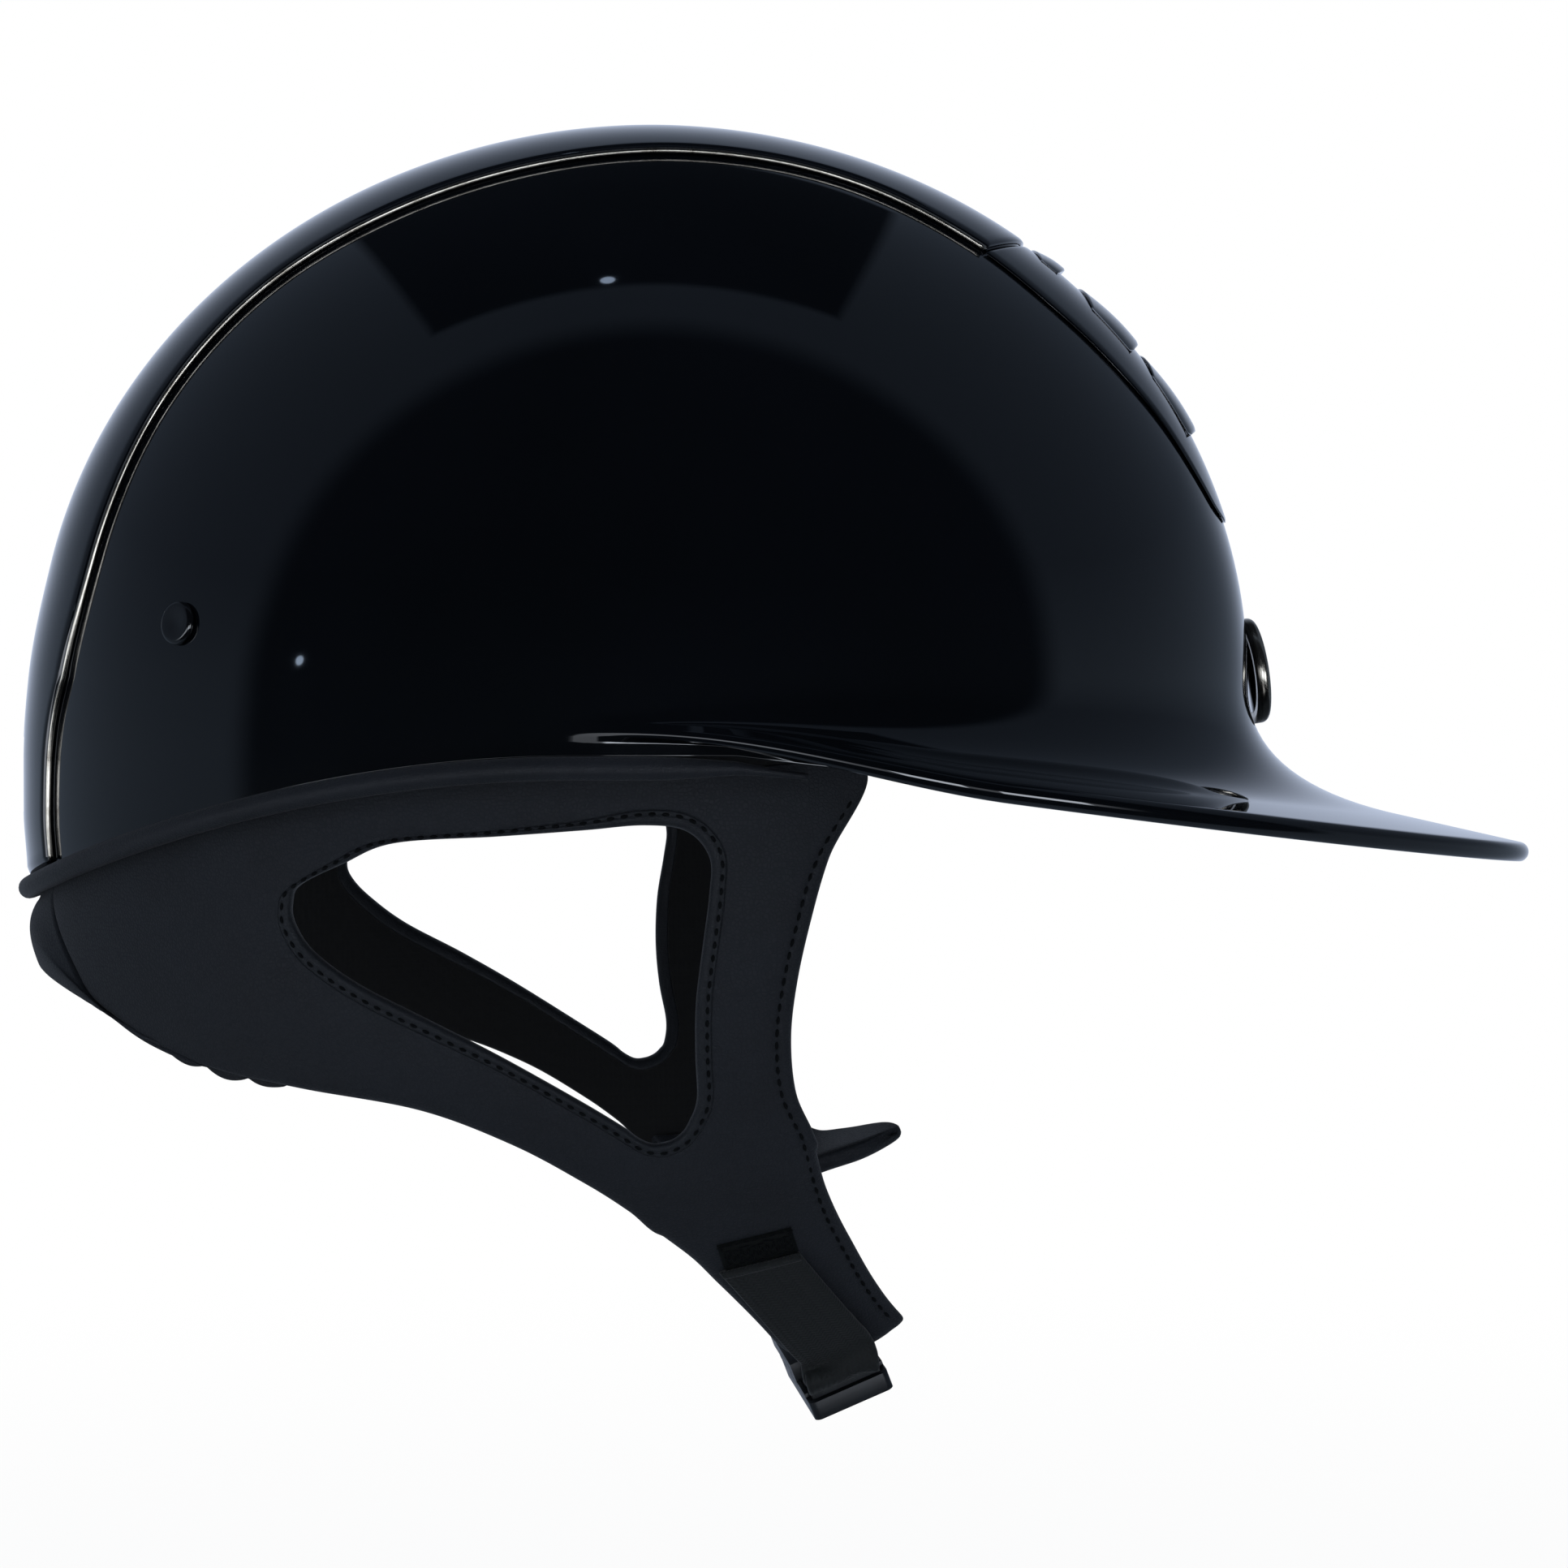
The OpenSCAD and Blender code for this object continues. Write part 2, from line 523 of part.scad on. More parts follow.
// Badge low on the brow: a ring round a plain domed disc
badge_tilt = -8.8;
badge_x = 0.95;
module on_brow() {
    translate([shell_front + badge_x, 0, badge_z]) rotate([0, 90 + badge_tilt, 0]) children();
}
module badge_ring() {
    r = badge_d / 2;
    color("#c9ccd0") on_brow() rotate_extrude($fn = 96) polygon([
        [r - badge_ring_w, 0], [r, 0], [r, badge_ring_h * 0.6], [r - 0.5, badge_ring_h * 0.9],
        [r - 1.1, badge_ring_h], [r - badge_ring_w + 0.5, badge_ring_h * 0.92], [r - badge_ring_w, badge_ring_h * 0.7]
    ]);
}
module badge_disc() {
    r = badge_d / 2 - badge_ring_w - seat / 2;
    crown = badge_ring_h + 0.7;
    ball = (r * r + pow(crown - badge_ring_h * 0.6, 2)) / (2 * (crown - badge_ring_h * 0.6));
    color("#15191f") on_brow() intersection() {
        cylinder(r = r, h = crown + 1, $fn = 96);
        translate([0, 0, crown - ball]) sphere(r = ball, $fn = 128);
    }
}

// Snap plugs that hold the harness anchors at the back of the shell
module anchor_plug(side) {
    head_h = 1.5;
    color("#0c0d10") on_shell(side * plug_at, plug_z, 0) {
        translate([0, 0, fit_gap + 0.1]) rotate_extrude($fn = 64) polygon([
            [0, 0], [plug_d / 2, 0], [plug_d / 2, head_h * 0.45], [plug_d / 2 - 0.5, head_h * 0.85],
            [plug_d / 2 - 1.2, head_h], [0, head_h * 0.86]
        ]);
        translate([0, 0, -shell_wall - washer_low])
            cylinder(d = plug_stem_d, h = shell_wall + washer_low + 2 * fit_gap, $fn = 96);
    }
}
module anchor_plug_right() { anchor_plug(-1); }
module anchor_plug_left() { anchor_plug(1); }
module anchor_washers() {
    color("#b4b6b8") for (side = [-1, 1]) on_shell(side * plug_at, plug_z, 0)
        translate([0, 0, -shell_wall - washer_low]) difference() {
            cylinder(d = washer_d, h = washer_t, $fn = 64);
            translate([0, 0, -1]) cylinder(d = plug_stem_d + 2 * pocket_fit, h = 3, $fn = 48);
        }
}

// Impact liner with pockets for the anchor washers
module impact_liner() {
    bearings = shell_bearings;
    outer = -shell_wall - seat - bond;
    ups = dome_ups;
    function edge_row(d) = [for (b = bearings)
        let (r = plan_reach(b, d), low = rim_z(plan_reach(b, 0) * cos(b)) + 0.6) [r * cos(b), r * sin(b), low]];
    rings = concat(
        [for (up = ups) [for (b = bearings) dome_point(b, up, outer)]],
        [edge_row(outer), edge_row(-foam_in)],
        [for (k = [len(ups) - 1:-1:0]) [for (b = bearings) dome_point(b, ups[k], -foam_in)]]);
    color("#20242a") difference() {
        capped_rings(rings, dome_point(0, 90, outer), dome_point(0, 90, -foam_in));
        for (side = [-1, 1]) on_shell(side * plug_at, plug_z, 0)
            translate([0, 0, -shell_wall - washer_low - seat])
                cylinder(d = washer_d + 2, h = foam_thick, $fn = 48);
    }
}

// Hook and loop patches between the liner and the head pads
patch_bearings = [-135, -45, 45, 135];
module patches(d_out, d_in) {
    z0 = (band_top_z + rim_z(0)) / 2 - patch_h / 2;
    for (b = patch_bearings) {
        as = [for (k = [1:-0.5:-1]) b + k * patch_half_angle];
        zs = [z0, z0 + patch_h / 2, z0 + patch_h];
        sheet(
            [for (a = as) [for (z = zs) wall_point(a, z, -d_out)]],
            [for (a = as) [for (z = zs) wall_point(a, z, -d_in)]]);
    }
}
patch_seat = 2 * seat;
patch_t = (patch_room - patch_seat - 2 * seat) / 2;
crown_patch_up = 81;
module crown_patch(d_out, d_in) {
    bearings = [for (i = [0:23]) 15 * i];
    capped_rings(
        [for (d = [d_out, d_in]) [for (b = bearings) dome_point(b, crown_patch_up, -d)]],
        dome_point(0, 90, -d_out), dome_point(0, 90, -d_in));
}
module hook_patches() {
    color("#1a1a1c") {
        patches(foam_in + patch_seat, foam_in + patch_seat + patch_t);
        crown_patch(foam_in + patch_seat, foam_in + patch_seat + patch_t);
    }
}
module loop_patches() {
    color("#232326") {
        patches(pad_out - seat - patch_t, pad_out - seat);
        crown_patch(pad_out - seat - patch_t, pad_out - seat);
    }
}

// Head band: a padded ring, fuller between its edges
module headband_pad() {
    bearings = [for (i = [0:band_steps - 1]) -360 * i / band_steps];
    rows = [0, 0.12, 0.5, 0.88, 1];
    function low(b) = rim_z(plan_reach(b, -pad_out) * cos(b)) + 2;
    function swell(v) = (v == 0 || v == 1) ? 2 : v == 0.5 ? 0 : 0.5;
    color("#2a2d33") sheet(
        [for (b = bearings) [for (v = rows) wall_point(b, mix(low(b), band_top_z, v), -pad_out - 0.3 * swell(v))]],
        [for (b = bearings) [for (v = rows) wall_point(b, mix(low(b), band_top_z, v), -pad_in + 1.2 * swell(v))]],
        true);
}

// Crown pad: a padded disc with a rounded edge
module crown_pad() {
    bearings = [for (i = [0:23]) 360 * i / 24];
    color("#2a2d33") capped_rings(
        concat(
            [for (up = [80, 70, 61]) [for (b = bearings) dome_point(b, up, -pad_out)]],
            [[for (b = bearings) dome_point(b, 59, -pad_out - pad_thick / 2)]],
            [for (up = [61, 70, 80]) [for (b = bearings) dome_point(b, up, -pad_in)]]),
        dome_point(0, 90, -pad_out), dome_point(0, 90, -pad_in));
}

// Piping round the shell's edge, open under the brim
module edge_piping() {
    steps = 60;
    end = 75;
    turn = 360 - 2 * end;
    path = [for (i = [0:steps]) let (b = end + turn * i / steps, r = plan_reach(b, pipe_out))
        [r * cos(b), r * sin(b), pipe_z(plan_reach(b, 0) * cos(b))]];
    color("#262a30") swept([for (i = [0:steps])
        let (
            b = end + turn * i / steps, out = [cos(b), sin(b), 0],
            small = mix(0.55, 1, ease(min(i, steps - i) / 4))
        )
        oval(path[i], out, [0, 0, -1], pipe_r * small, pipe_r * small, 8)]);
}

// Harness surface: right side at x and z, moved outwards by d
function draw_width(z) = harness_half_width - harness_draw * z * z;
// Near the joint x stays the same through the leather, so that the joint's edges are round about its axis
function skin(x, z, d) = let (
        keep = d * (1 - ease((abs(x) - 60) / 40)), c = min(1, max(-1, x / (harness_half_length + keep)))
    )
    [(harness_half_length + d) * c, -(draw_width(z) + d) * sqrt(1 - c * c), z];
// Keeps an outline point inside the joint's circle where the tail swings past it
function inside_joint(p) =
    let (v = p - [joint_x, joint_z], r = norm(v), a = atan2(v[1], v[0]))
    (a < -18 && a > -104 && r > joint_r) ? [joint_x, joint_z] + v * joint_r / r : p;
function fit_rear(x) = x + (x < -50 ? rear_shift * min(1, (-50 - x) / 40) : 0);
// How far the leather's outer face is let down at its edges
edge_roll = 0.9;
// Matched points of the ear opening and the panel's edge
function spoke_list() = concat(
    [for (s = front_spokes) s],
    [for (s = joint_spokes) [s[0], s[1], joint_x + joint_r * cos(s[2]), joint_z + joint_r * sin(s[2])]],
    [for (s = lower_spokes) s],
    [for (s = rear_spokes) [s[0], s[1], fit_rear(s[2]), s[3]]],
    [for (s = top_spokes) [s[0], s[1], fit_rear(s[2]), s[3]]]);
function inset_spoke(s, d) = let (a = [s[0], s[1]], p = a - unit([s[2], s[3]] - a) * d) [p[0], p[1], s[2], s[3]];
function smooth_spokes(left = false) = let (
        list = spoke_list(),
        set = [for (i = [0:len(list) - 1]) inset_spoke(list[i], left ? lookup(i, left_inset) : 0)]
    )
    [for (s = closed_curve(set, 2))
        let (p = inside_joint([s[2], s[3]])) [s[0], s[1], p[0], min(p[1], tuck_z(p[0]))]];

module harness_panel(left) {
    spokes = smooth_spokes(left);
    lead = binding_w + seat;
    function at(s, v) = let (a = [s[0], s[1]], b = [s[2], s[3]], along = unit(b - a)) mix(a + along * lead, b, v);
    function swell(v) = (v == 0 || v == 1) ? -edge_roll : 0;
    vs = [0, 0.12, 0.5, 0.88, 1];
    back = [for (i = [len(spokes) - 1:-1:0]) spokes[i]];
    color("#1c2026") sheet(
        [for (s = back) [for (v = vs) let (p = at(s, v)) skin(p[0], p[1], swell(v))]],
        [for (s = back) [for (v = vs) let (p = at(s, v)) skin(p[0], p[1], -harness_thick)]],
        true);
}
module harness_panel_right() { harness_panel(false); }
module harness_panel_left() { mirror([0, 1, 0]) harness_panel(true); }

// Bound edge of the ear opening, which stands a little proud of the panel
binding_over = 0.2;
module ear_binding(left) {
    spokes = smooth_spokes(left);
    color("#14171c") swept([for (s = spokes)
        let (
            a = [s[0], s[1]], along = unit([s[2], s[3]] - a), c = a + along * binding_w / 2,
            mid = binding_over - harness_thick / 2, p = skin(c[0], c[1], mid),
            q = skin(c[0] + along[0], c[1] + along[1], mid), o = skin(c[0], c[1], 1)
        )
        oval(p, unit(q - p), unit(o - p), binding_w / 2, harness_thick / 2 + binding_over, 6)], true);
}
module ear_binding_right() { ear_binding(false); }
module ear_binding_left() { mirror([0, 1, 0]) ear_binding(true); }

// Nape panel between the two seams
module nape_panel() {
    spokes = smooth_spokes();
    rear_at = len(front_spokes) + len(joint_spokes) + len(lower_spokes);
    ends = [for (i = seam_spokes) 2 * (rear_at + i)];
    seam = [for (i = [ends[1]:-1:ends[0]]) [spokes[i][2], spokes[i][3]]];
    n = len(seam);
    us = [-1, -0.94, -0.75, -0.5, -0.25, 0, 0.25, 0.5, 0.75, 0.94, 1];
    // Arc along the skin for each millimetre of x
    function stretch(x) = let (c = x / harness_half_length)
        sqrt(1 + pow(draw_width(-40) * c / harness_half_length, 2) / (1 - c * c));
    // The panel's edge at the seam, moved back by the seam's gap
    function side(k) =
        let (
            p = seam[k], g = stretch(p[0]), t = seam[min(k + 1, n - 1)] - seam[max(k - 1, 0)],
            away = unit([t[1], -t[0] * g]) * 1.2 * seat, q = p + [away[0] / g, away[1]]
        )
        [q[0], min(q[1], leather_top_z(q[0]))];
    function at(k, u, d) =
        let (
            p = side(k), a = acos(-p[0] / harness_half_length) * u, x = -harness_half_length * cos(a),
            mid_z = mix(leather_top_z(-harness_half_length), nape_bottom_z, k / (n - 1)),
            z = k == 0 ? leather_top_z(x) : mix(mid_z, p[1], pow(abs(u), 2.2)), q = skin(x, z, d)
        )
        [q[0], u < 0 ? q[1] : -q[1], z];
    function swell(k, u) = (k == 0 || k == n - 1 || abs(u) == 1)
        ? -edge_roll : nape_pad * sin(180 * pow(k / (n - 1), 0.7)) * (1 - u * u);
    color("#1c2026") sheet(
        [for (k = [0:n - 1]) [for (u = us) at(k, u, swell(k, u))]],
        [for (k = [0:n - 1]) [for (u = us) at(k, u, -harness_thick - 0.6)]]);
}

// Tail of the harness: its root follows the joint's circle, then the given steps
function root_arc(v) = let (a = mix(-28, -92.5, v), r = joint_r + joint_gap)
    [joint_x + r * cos(a), joint_z + r * sin(a)];
root_hold = [1, 0.6, 0.25, 0, 0, 0, 0];
tail_shares = [0, 0.06, 0.3, 0.5, 0.7, 0.94, 1];
function tail_point(k, v) =
    let (s = tail_steps[k], c = mix([s[0], s[1]], [s[2], s[3]], v), s0 = tail_steps[0],
        bow = root_arc(v) - mix([s0[0], s0[1]], [s0[2], s0[3]], v), low = k == len(tail_steps) - 1 ? 3 : 0)
    c + bow * root_hold[k] + [0.5, -1] * low * sin(180 * v);
function tail_swell(k, v) = (v == 0 || v == 1 || k == len(tail_steps) - 1) ? -edge_roll : 0;
module harness_tail_right() {
    ks = [0:len(tail_steps) - 1];
    color("#1c2026") sheet(
        [for (k = ks) [for (v = tail_shares) let (p = tail_point(k, v)) skin(p[0], p[1], tail_swell(k, v))]],
        [for (k = ks) [for (v = tail_shares) let (p = tail_point(k, v)) skin(p[0], p[1], -harness_thick)]]);
}
module harness_tail_left() {
    rows = len(left_tail_steps);
    function root(v, d) = let (p = root_arc(v), q = skin(p[0], p[1], d)) [q[0], -q[1], q[2]];
    function middle(k, v) = let (s = left_tail_steps[k]) mix([s[0], s[1], s[2]], [s[3], s[4], s[5]], v);
    function normal(k, v) = let (
            s = left_tail_steps[k], across = [s[3] - s[0], s[4] - s[1], s[5] - s[2]],
            along = k + 1 < rows ? middle(k + 1, v) - middle(k, v) : middle(k, v) - middle(k - 1, v)
        )
        unit(cross(along, across));
    function bow(k, v) = k == 0 ? [4, 2, -3] * sin(180 * v) : k == rows - 1 ? [2, 0, 0] * sin(180 * v) : [0, 0, 0];
    function at(k, v, d) = middle(k, v) + bow(k, v) + normal(k, v) * d;
    half = harness_thick / 2;
    ks = [rows - 1:-1:0];
    color("#1c2026") sheet(
        concat(
            [for (k = ks) [for (v = tail_shares) at(k, v, half * (v == 0 || v == 1 || k == rows - 1 ? 0.4 : 1))]],
            [[for (v = tail_shares) root(v, 0)]]),
        concat(
            [for (k = ks) [for (v = tail_shares) at(k, v, -half)]],
            [[for (v = tail_shares) root(v, -harness_thick)]]));
}

// Right webbing: sewn under a stitched patch, then round the buckle's bar and back
tack_top = [19, -92.3];
tack_along = unit([0.235, -0.72]);
tack_side = [0.97, 0.24];
function on_tail(p, d) = skin(p[0], p[1], d);
module strap_tack() {
    vs = [1, 0.5, 0];
    cols = [-1, -0.5, 0, 0.5, 1];
    function at(v, s, d) = on_tail(tack_top + tack_along * v * tack_h + tack_side * s * web_w / 2, d);
    color("#111417") sheet(
        [for (v = vs) [for (s = cols) at(v, s, seat + 0.1 + web_t * 0.9)]],
        [for (v = vs) [for (s = cols) at(v, s, seat)]]);
}

// Buckle's own frame: X across the strap, Y along it to the wearer's left, Z up towards the jaw
module in_buckle() { translate(buckle_at) rotate(buckle_turn) children(); }
function turn_x(v, a) = [v[0], v[1] * cos(a) - v[2] * sin(a), v[1] * sin(a) + v[2] * cos(a)];
function turn_y(v, a) = [v[0] * cos(a) + v[2] * sin(a), v[1], -v[0] * sin(a) + v[2] * cos(a)];
function turn_z(v, a) = [v[0] * cos(a) - v[1] * sin(a), v[0] * sin(a) + v[1] * cos(a), v[2]];
function buckle_dir(v) = turn_z(turn_y(turn_x(v, buckle_turn[0]), buckle_turn[1]), buckle_turn[2]);
function from_buckle(p) = buckle_at + buckle_dir(p);

loop_r = bar_d / 2 + slide_fit + web_t / 2;
web_out = seat + 0.45 + web_t / 2;
// The webbing runs straight down the tail, over the ring, round the bar and back up under itself
web_start = tack_top + tack_along * (tack_h + 2 * seat);
web_along = unit([0.63, -0.78]);
web_across = [-web_along[1], web_along[0]];
// Steps down the tail, each with the webbing's height there in layers
web_run = [[0, 0], [6, 0.3], [13, 0.85], [19, 1], [25.4, 1]];
// Steps of the end that comes back under it
web_back_run = [25, 21.5, 18];
// The webbing above the buckle's bar on its way in and out
web_in = [[-0.6, -6.5, 4.6], [0, -3.1, 2.9]];
web_back = [[0, -2, 4.4], [-0.6, -4.7, 6.4]];
module chin_webbing_right() {
    down = [for (r = web_run) on_tail(web_start + web_along * r[0], web_out + r[1] * (web_t + seat + 0.1))];
    under = [for (p = web_in) from_buckle(p)];
    bar_run = [for (a = [-160:30:80]) from_buckle([0, bar_y + loop_r * cos(a), loop_r * sin(a)])];
    turn = [for (p = web_back) from_buckle(p)];
    up = [for (t = web_back_run) on_tail(web_start + web_along * t, web_out)];
    path = concat(down, under, bar_run, turn, up);
    n = len(path);
    // Direction across the webbing where it lies on the tail
    function skin_side(t, v) = let (c = web_start + web_along * t)
        unit(on_tail(c + v * 4, web_out) - on_tail(c - v * 4, web_out));
    sides = concat(
        [for (r = web_run) skin_side(r[0], r[0] == 0 ? tack_side : web_across)],
        [for (i = [1:n - len(web_run) - len(web_back_run)]) buckle_dir([1, 0, 0])],
        [for (t = web_back_run) skin_side(t, web_across)]);
    color("#16191c") swept([for (i = [0:n - 1])
        let (
            along = unit(path[min(i + 1, n - 1)] - path[max(i - 1, 0)]),
            square = sides[i] - along * (sides[i] * along), aside = unit(square), out = cross(along, aside),
            skewed = i == 0
        )
        slab(path[i], skewed ? sides[0] : aside, out, skewed ? web_w / norm(square) : web_w, web_t)]);
}

// One half of the buckle: a bar end with cheeks, then a plate
module bar_end() {
    r = bar_d / 2;
    for (s = [-1, 1]) translate([s * (frame_w - cheek_t) / 2 - cheek_t / 2, 0, -r]) cube([cheek_t, slot_end, 2 * r]);
    translate([-frame_w / 2, bar_y, 0]) rotate([0, 90, 0]) cylinder(d = bar_d, h = frame_w, $fn = 48);
}
slot_end = bar_y + loop_r + web_t / 2 + slide_fit + 0.4;
// Base: a plate that reaches round the webbing as a ring with rounded front corners
base_top = 0.7;
base_low = base_top - buckle_half_t;
ring_front = -4.2;
ring_wall = 1.8;
ring_corner_r = 1.5;
rail_stem_w = 4;
rail_head_w = 8;
rail_stem_h = 1;
rail_head_h = magnet_t + 0.6;
plate_mid = slot_end + buckle_len / 2;
stop_t = 1.2;
rail_l = frame_w - stop_t - slide_fit;
module buckle_base() {
    w = frame_w;
    r = ring_corner_r;
    slot_w = ring_slot_w;
    color("#1c2126") in_buckle() difference() {
        union() {
            difference() {
                union() {
                    translate([-w / 2, ring_front + r, base_low])
                        cube([w, slot_end + buckle_len - ring_front - r, base_top - base_low]);
                    translate([-w / 2 + r, ring_front, base_low]) cube([w - 2 * r, 2 * r, base_top - base_low]);
                    for (s = [-1, 1]) translate([s * (w / 2 - r), ring_front + r, base_low])
                        cylinder(r = r, h = base_top - base_low, $fn = 48);
                }
                translate([-slot_w / 2, ring_front + ring_wall, base_low - 1])
                    cube([slot_w, slot_end - ring_front - ring_wall, base_top - base_low + 2]);
            }
            bar_end();
            translate([-w / 2, plate_mid - rail_stem_w / 2, base_top - 0.01])
                cube([rail_l, rail_stem_w, rail_stem_h + 0.02]);
            translate([-w / 2, plate_mid - rail_head_w / 2, base_top + rail_stem_h])
                cube([rail_l, rail_head_w, rail_head_h]);
        }
        translate([0, plate_mid, base_top + rail_stem_h + rail_head_h - magnet_t - pocket_fit])
            cylinder(d = magnet_d + 2 * pocket_fit, h = magnet_t + 1, $fn = 64);
    }
}
module base_magnet() {
    color("#b8babd") in_buckle() translate([0, plate_mid, base_top + rail_stem_h + rail_head_h - magnet_t])
        cylinder(d = magnet_d, h = magnet_t, $fn = 64);
}
// Cover: slides forward off the rail, and carries the left webbing's bar
cover_low = base_top + slide_fit;
cover_roof = base_top + rail_stem_h + rail_head_h + slide_fit;
cover_top = cover_roof + magnet_t + 0.7;
cover_end = plate_mid + buckle_len / 2 + 1;
far_bar_y = cover_end + loop_r + web_t / 2 + 2 * seat;
far_bar_z = (cover_low + cover_top) / 2;
module buckle_cover() {
    grip_n = 4;
    color("#1c2126") in_buckle() difference() {
        union() {
            translate([-frame_w / 2, slot_end + 0.2, cover_low])
                cube([frame_w, cover_end - slot_end - 0.2, cover_top - cover_low]);
            for (s = [-1, 1])
                translate([s * (frame_w - cheek_t) / 2 - cheek_t / 2, cover_end - 0.01, far_bar_z - bar_d / 2])
                    cube([cheek_t, far_bar_y - cover_end + bar_d / 2, bar_d]);
            translate([-frame_w / 2, far_bar_y, far_bar_z]) rotate([0, 90, 0])
                cylinder(d = bar_d, h = frame_w, $fn = 48);
            for (k = [0:grip_n - 1]) translate([-frame_w / 2 + 2, plate_mid - 3 + k * 2, cover_top - 0.01])
                cube([frame_w - 4, 0.8, 0.5]);
        }
        translate([-frame_w, plate_mid - rail_head_w / 2 - slide_fit, base_top + rail_stem_h - slide_fit])
            cube([frame_w * 1.5 - stop_t, rail_head_w + 2 * slide_fit, rail_head_h + 2 * slide_fit]);
        translate([-frame_w, plate_mid - rail_stem_w / 2 - slide_fit, cover_low - 1])
            cube([frame_w * 1.5 - stop_t, rail_stem_w + 2 * slide_fit, rail_stem_h + 1]);
        translate([0, plate_mid, cover_roof - 0.5])
            cylinder(d = magnet_d + 2 * pocket_fit, h = magnet_t + pocket_fit + 0.5, $fn = 64);
    }
}
module cover_magnet() {
    color("#b8babd") in_buckle() translate([0, plate_mid, cover_roof]) cylinder(d = magnet_d, h = magnet_t, $fn = 64);
}

// Left webbing: from its short end under the cover's bar, round it and straight up to the left tail
far_top = [33, 47, -99.8];
far_low = from_buckle([0, far_bar_y, far_bar_z + loop_r]);
run_dir = unit(far_top - far_low);
run_side = unit(buckle_dir([1, 0, 0]) - run_dir * (buckle_dir([1, 0, 0]) * run_dir));
run_out = cross(run_dir, run_side);
module chin_webbing_left() {
    length = norm(far_top - far_low);
    hook = concat(
        [from_buckle([0, far_bar_y + 1.5 * bar_d, far_bar_z - loop_r])],
        [for (a = [270:-30:90])
            from_buckle([0, far_bar_y + loop_r * cos(a), far_bar_z + loop_r * sin(a)])]);
    run = [for (t = [4, 12, slider_at + 8, slider_at + 20, length]) far_low + run_dir * t];
    path = concat(hook, run);
    n = len(path);
    color("#16191c") swept([for (i = [0:n - 1])
        let (
            along = unit(path[min(i + 1, n - 1)] - path[max(i - 1, 0)]),
            side = i < len(hook) ? buckle_dir([1, 0, 0]) : run_side,
            aside = unit(side - along * (side * along)), out = cross(along, aside)
        )
        slab(path[i], aside, out, web_w, web_t)]);
}

// Slider on the left webbing: a flat loop with a middle bar
module strap_slider() {
    p = far_low + run_dir * slider_at;
    w = web_w + 2 * slide_fit;
    t = web_t + 2 * slide_fit;
    color("#1c2126") multmatrix([
            [run_side[0], run_dir[0], -run_out[0], p[0]], [run_side[1], run_dir[1], -run_out[1], p[1]],
            [run_side[2], run_dir[2], -run_out[2], p[2]]
        ])
        difference() {
            translate([-w / 2 - 1.6, -slider_len / 2, -slider_t / 2]) cube([w + 3.2, slider_len, slider_t]);
            translate([-w / 2, -slider_len, -t / 2]) cube([w, 2 * slider_len, t]);
            for (s = [-1, 1]) translate([-w / 2 + 2, s * slider_len / 4 - 1.6, 0]) cube([w - 4, 3.2, slider_t]);
        }
}

outer_shell();
crown_panel();
chrome_trim_right();
chrome_trim_left();
front_vent_panel();
vent_louvres();
rear_vent_grille();
badge_ring();
badge_disc();
anchor_plug_right();
anchor_plug_left();
anchor_washers();
impact_liner();
hook_patches();
loop_patches();
headband_pad();
crown_pad();
edge_piping();
harness_panel_right();
harness_panel_left();
ear_binding_right();
ear_binding_left();
nape_panel();
harness_tail_right();
harness_tail_left();
strap_tack();
chin_webbing_right();
chin_webbing_left();
buckle_base();
base_magnet();
buckle_cover();
cover_magnet();
strap_slider();
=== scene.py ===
"""Looks of the riding helmet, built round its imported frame.

Sizes are in millimetres in the classes below, and every mesh is written in metres in the frame's own axes:
+X forward over the brim, +Y to the wearer's left, +Z up.
"""
import logging
import math
from contextlib import contextmanager
from dataclasses import dataclass
from enum import Enum
from functools import partial
from typing import Callable, Iterator, Sequence

import bmesh
import bpy
import numpy as np
from mathutils import Matrix, Vector


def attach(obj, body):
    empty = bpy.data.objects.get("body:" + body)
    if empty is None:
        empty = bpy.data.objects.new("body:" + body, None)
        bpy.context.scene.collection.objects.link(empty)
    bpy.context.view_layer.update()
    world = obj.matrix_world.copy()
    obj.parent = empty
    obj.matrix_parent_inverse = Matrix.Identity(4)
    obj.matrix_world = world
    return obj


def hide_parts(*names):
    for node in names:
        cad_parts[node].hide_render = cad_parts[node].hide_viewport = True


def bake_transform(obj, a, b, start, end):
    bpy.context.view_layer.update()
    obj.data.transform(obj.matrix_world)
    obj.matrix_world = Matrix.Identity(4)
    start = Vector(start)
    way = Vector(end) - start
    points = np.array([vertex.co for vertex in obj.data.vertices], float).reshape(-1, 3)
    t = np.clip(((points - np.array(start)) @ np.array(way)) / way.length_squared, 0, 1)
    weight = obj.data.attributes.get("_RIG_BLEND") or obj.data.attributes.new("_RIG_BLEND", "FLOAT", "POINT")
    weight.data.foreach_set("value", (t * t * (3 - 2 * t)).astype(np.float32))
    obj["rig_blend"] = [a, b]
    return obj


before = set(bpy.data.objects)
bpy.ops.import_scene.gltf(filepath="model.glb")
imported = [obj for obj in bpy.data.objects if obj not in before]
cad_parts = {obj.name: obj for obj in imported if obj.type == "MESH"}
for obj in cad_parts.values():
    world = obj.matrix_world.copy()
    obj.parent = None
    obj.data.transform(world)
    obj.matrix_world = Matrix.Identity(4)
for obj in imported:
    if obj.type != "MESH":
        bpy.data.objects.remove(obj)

LOG = logging.getLogger("riding_helmet")
MM = 0.001
Array = np.ndarray
Faces = list[tuple[int, ...]]
Piece = bpy.types.Object
Socket = bpy.types.NodeSocket
Put = Callable[..., Socket]
Pair = tuple[float, float]
Point = tuple[float, float, float]
Rows = tuple[tuple[float, ...], ...]


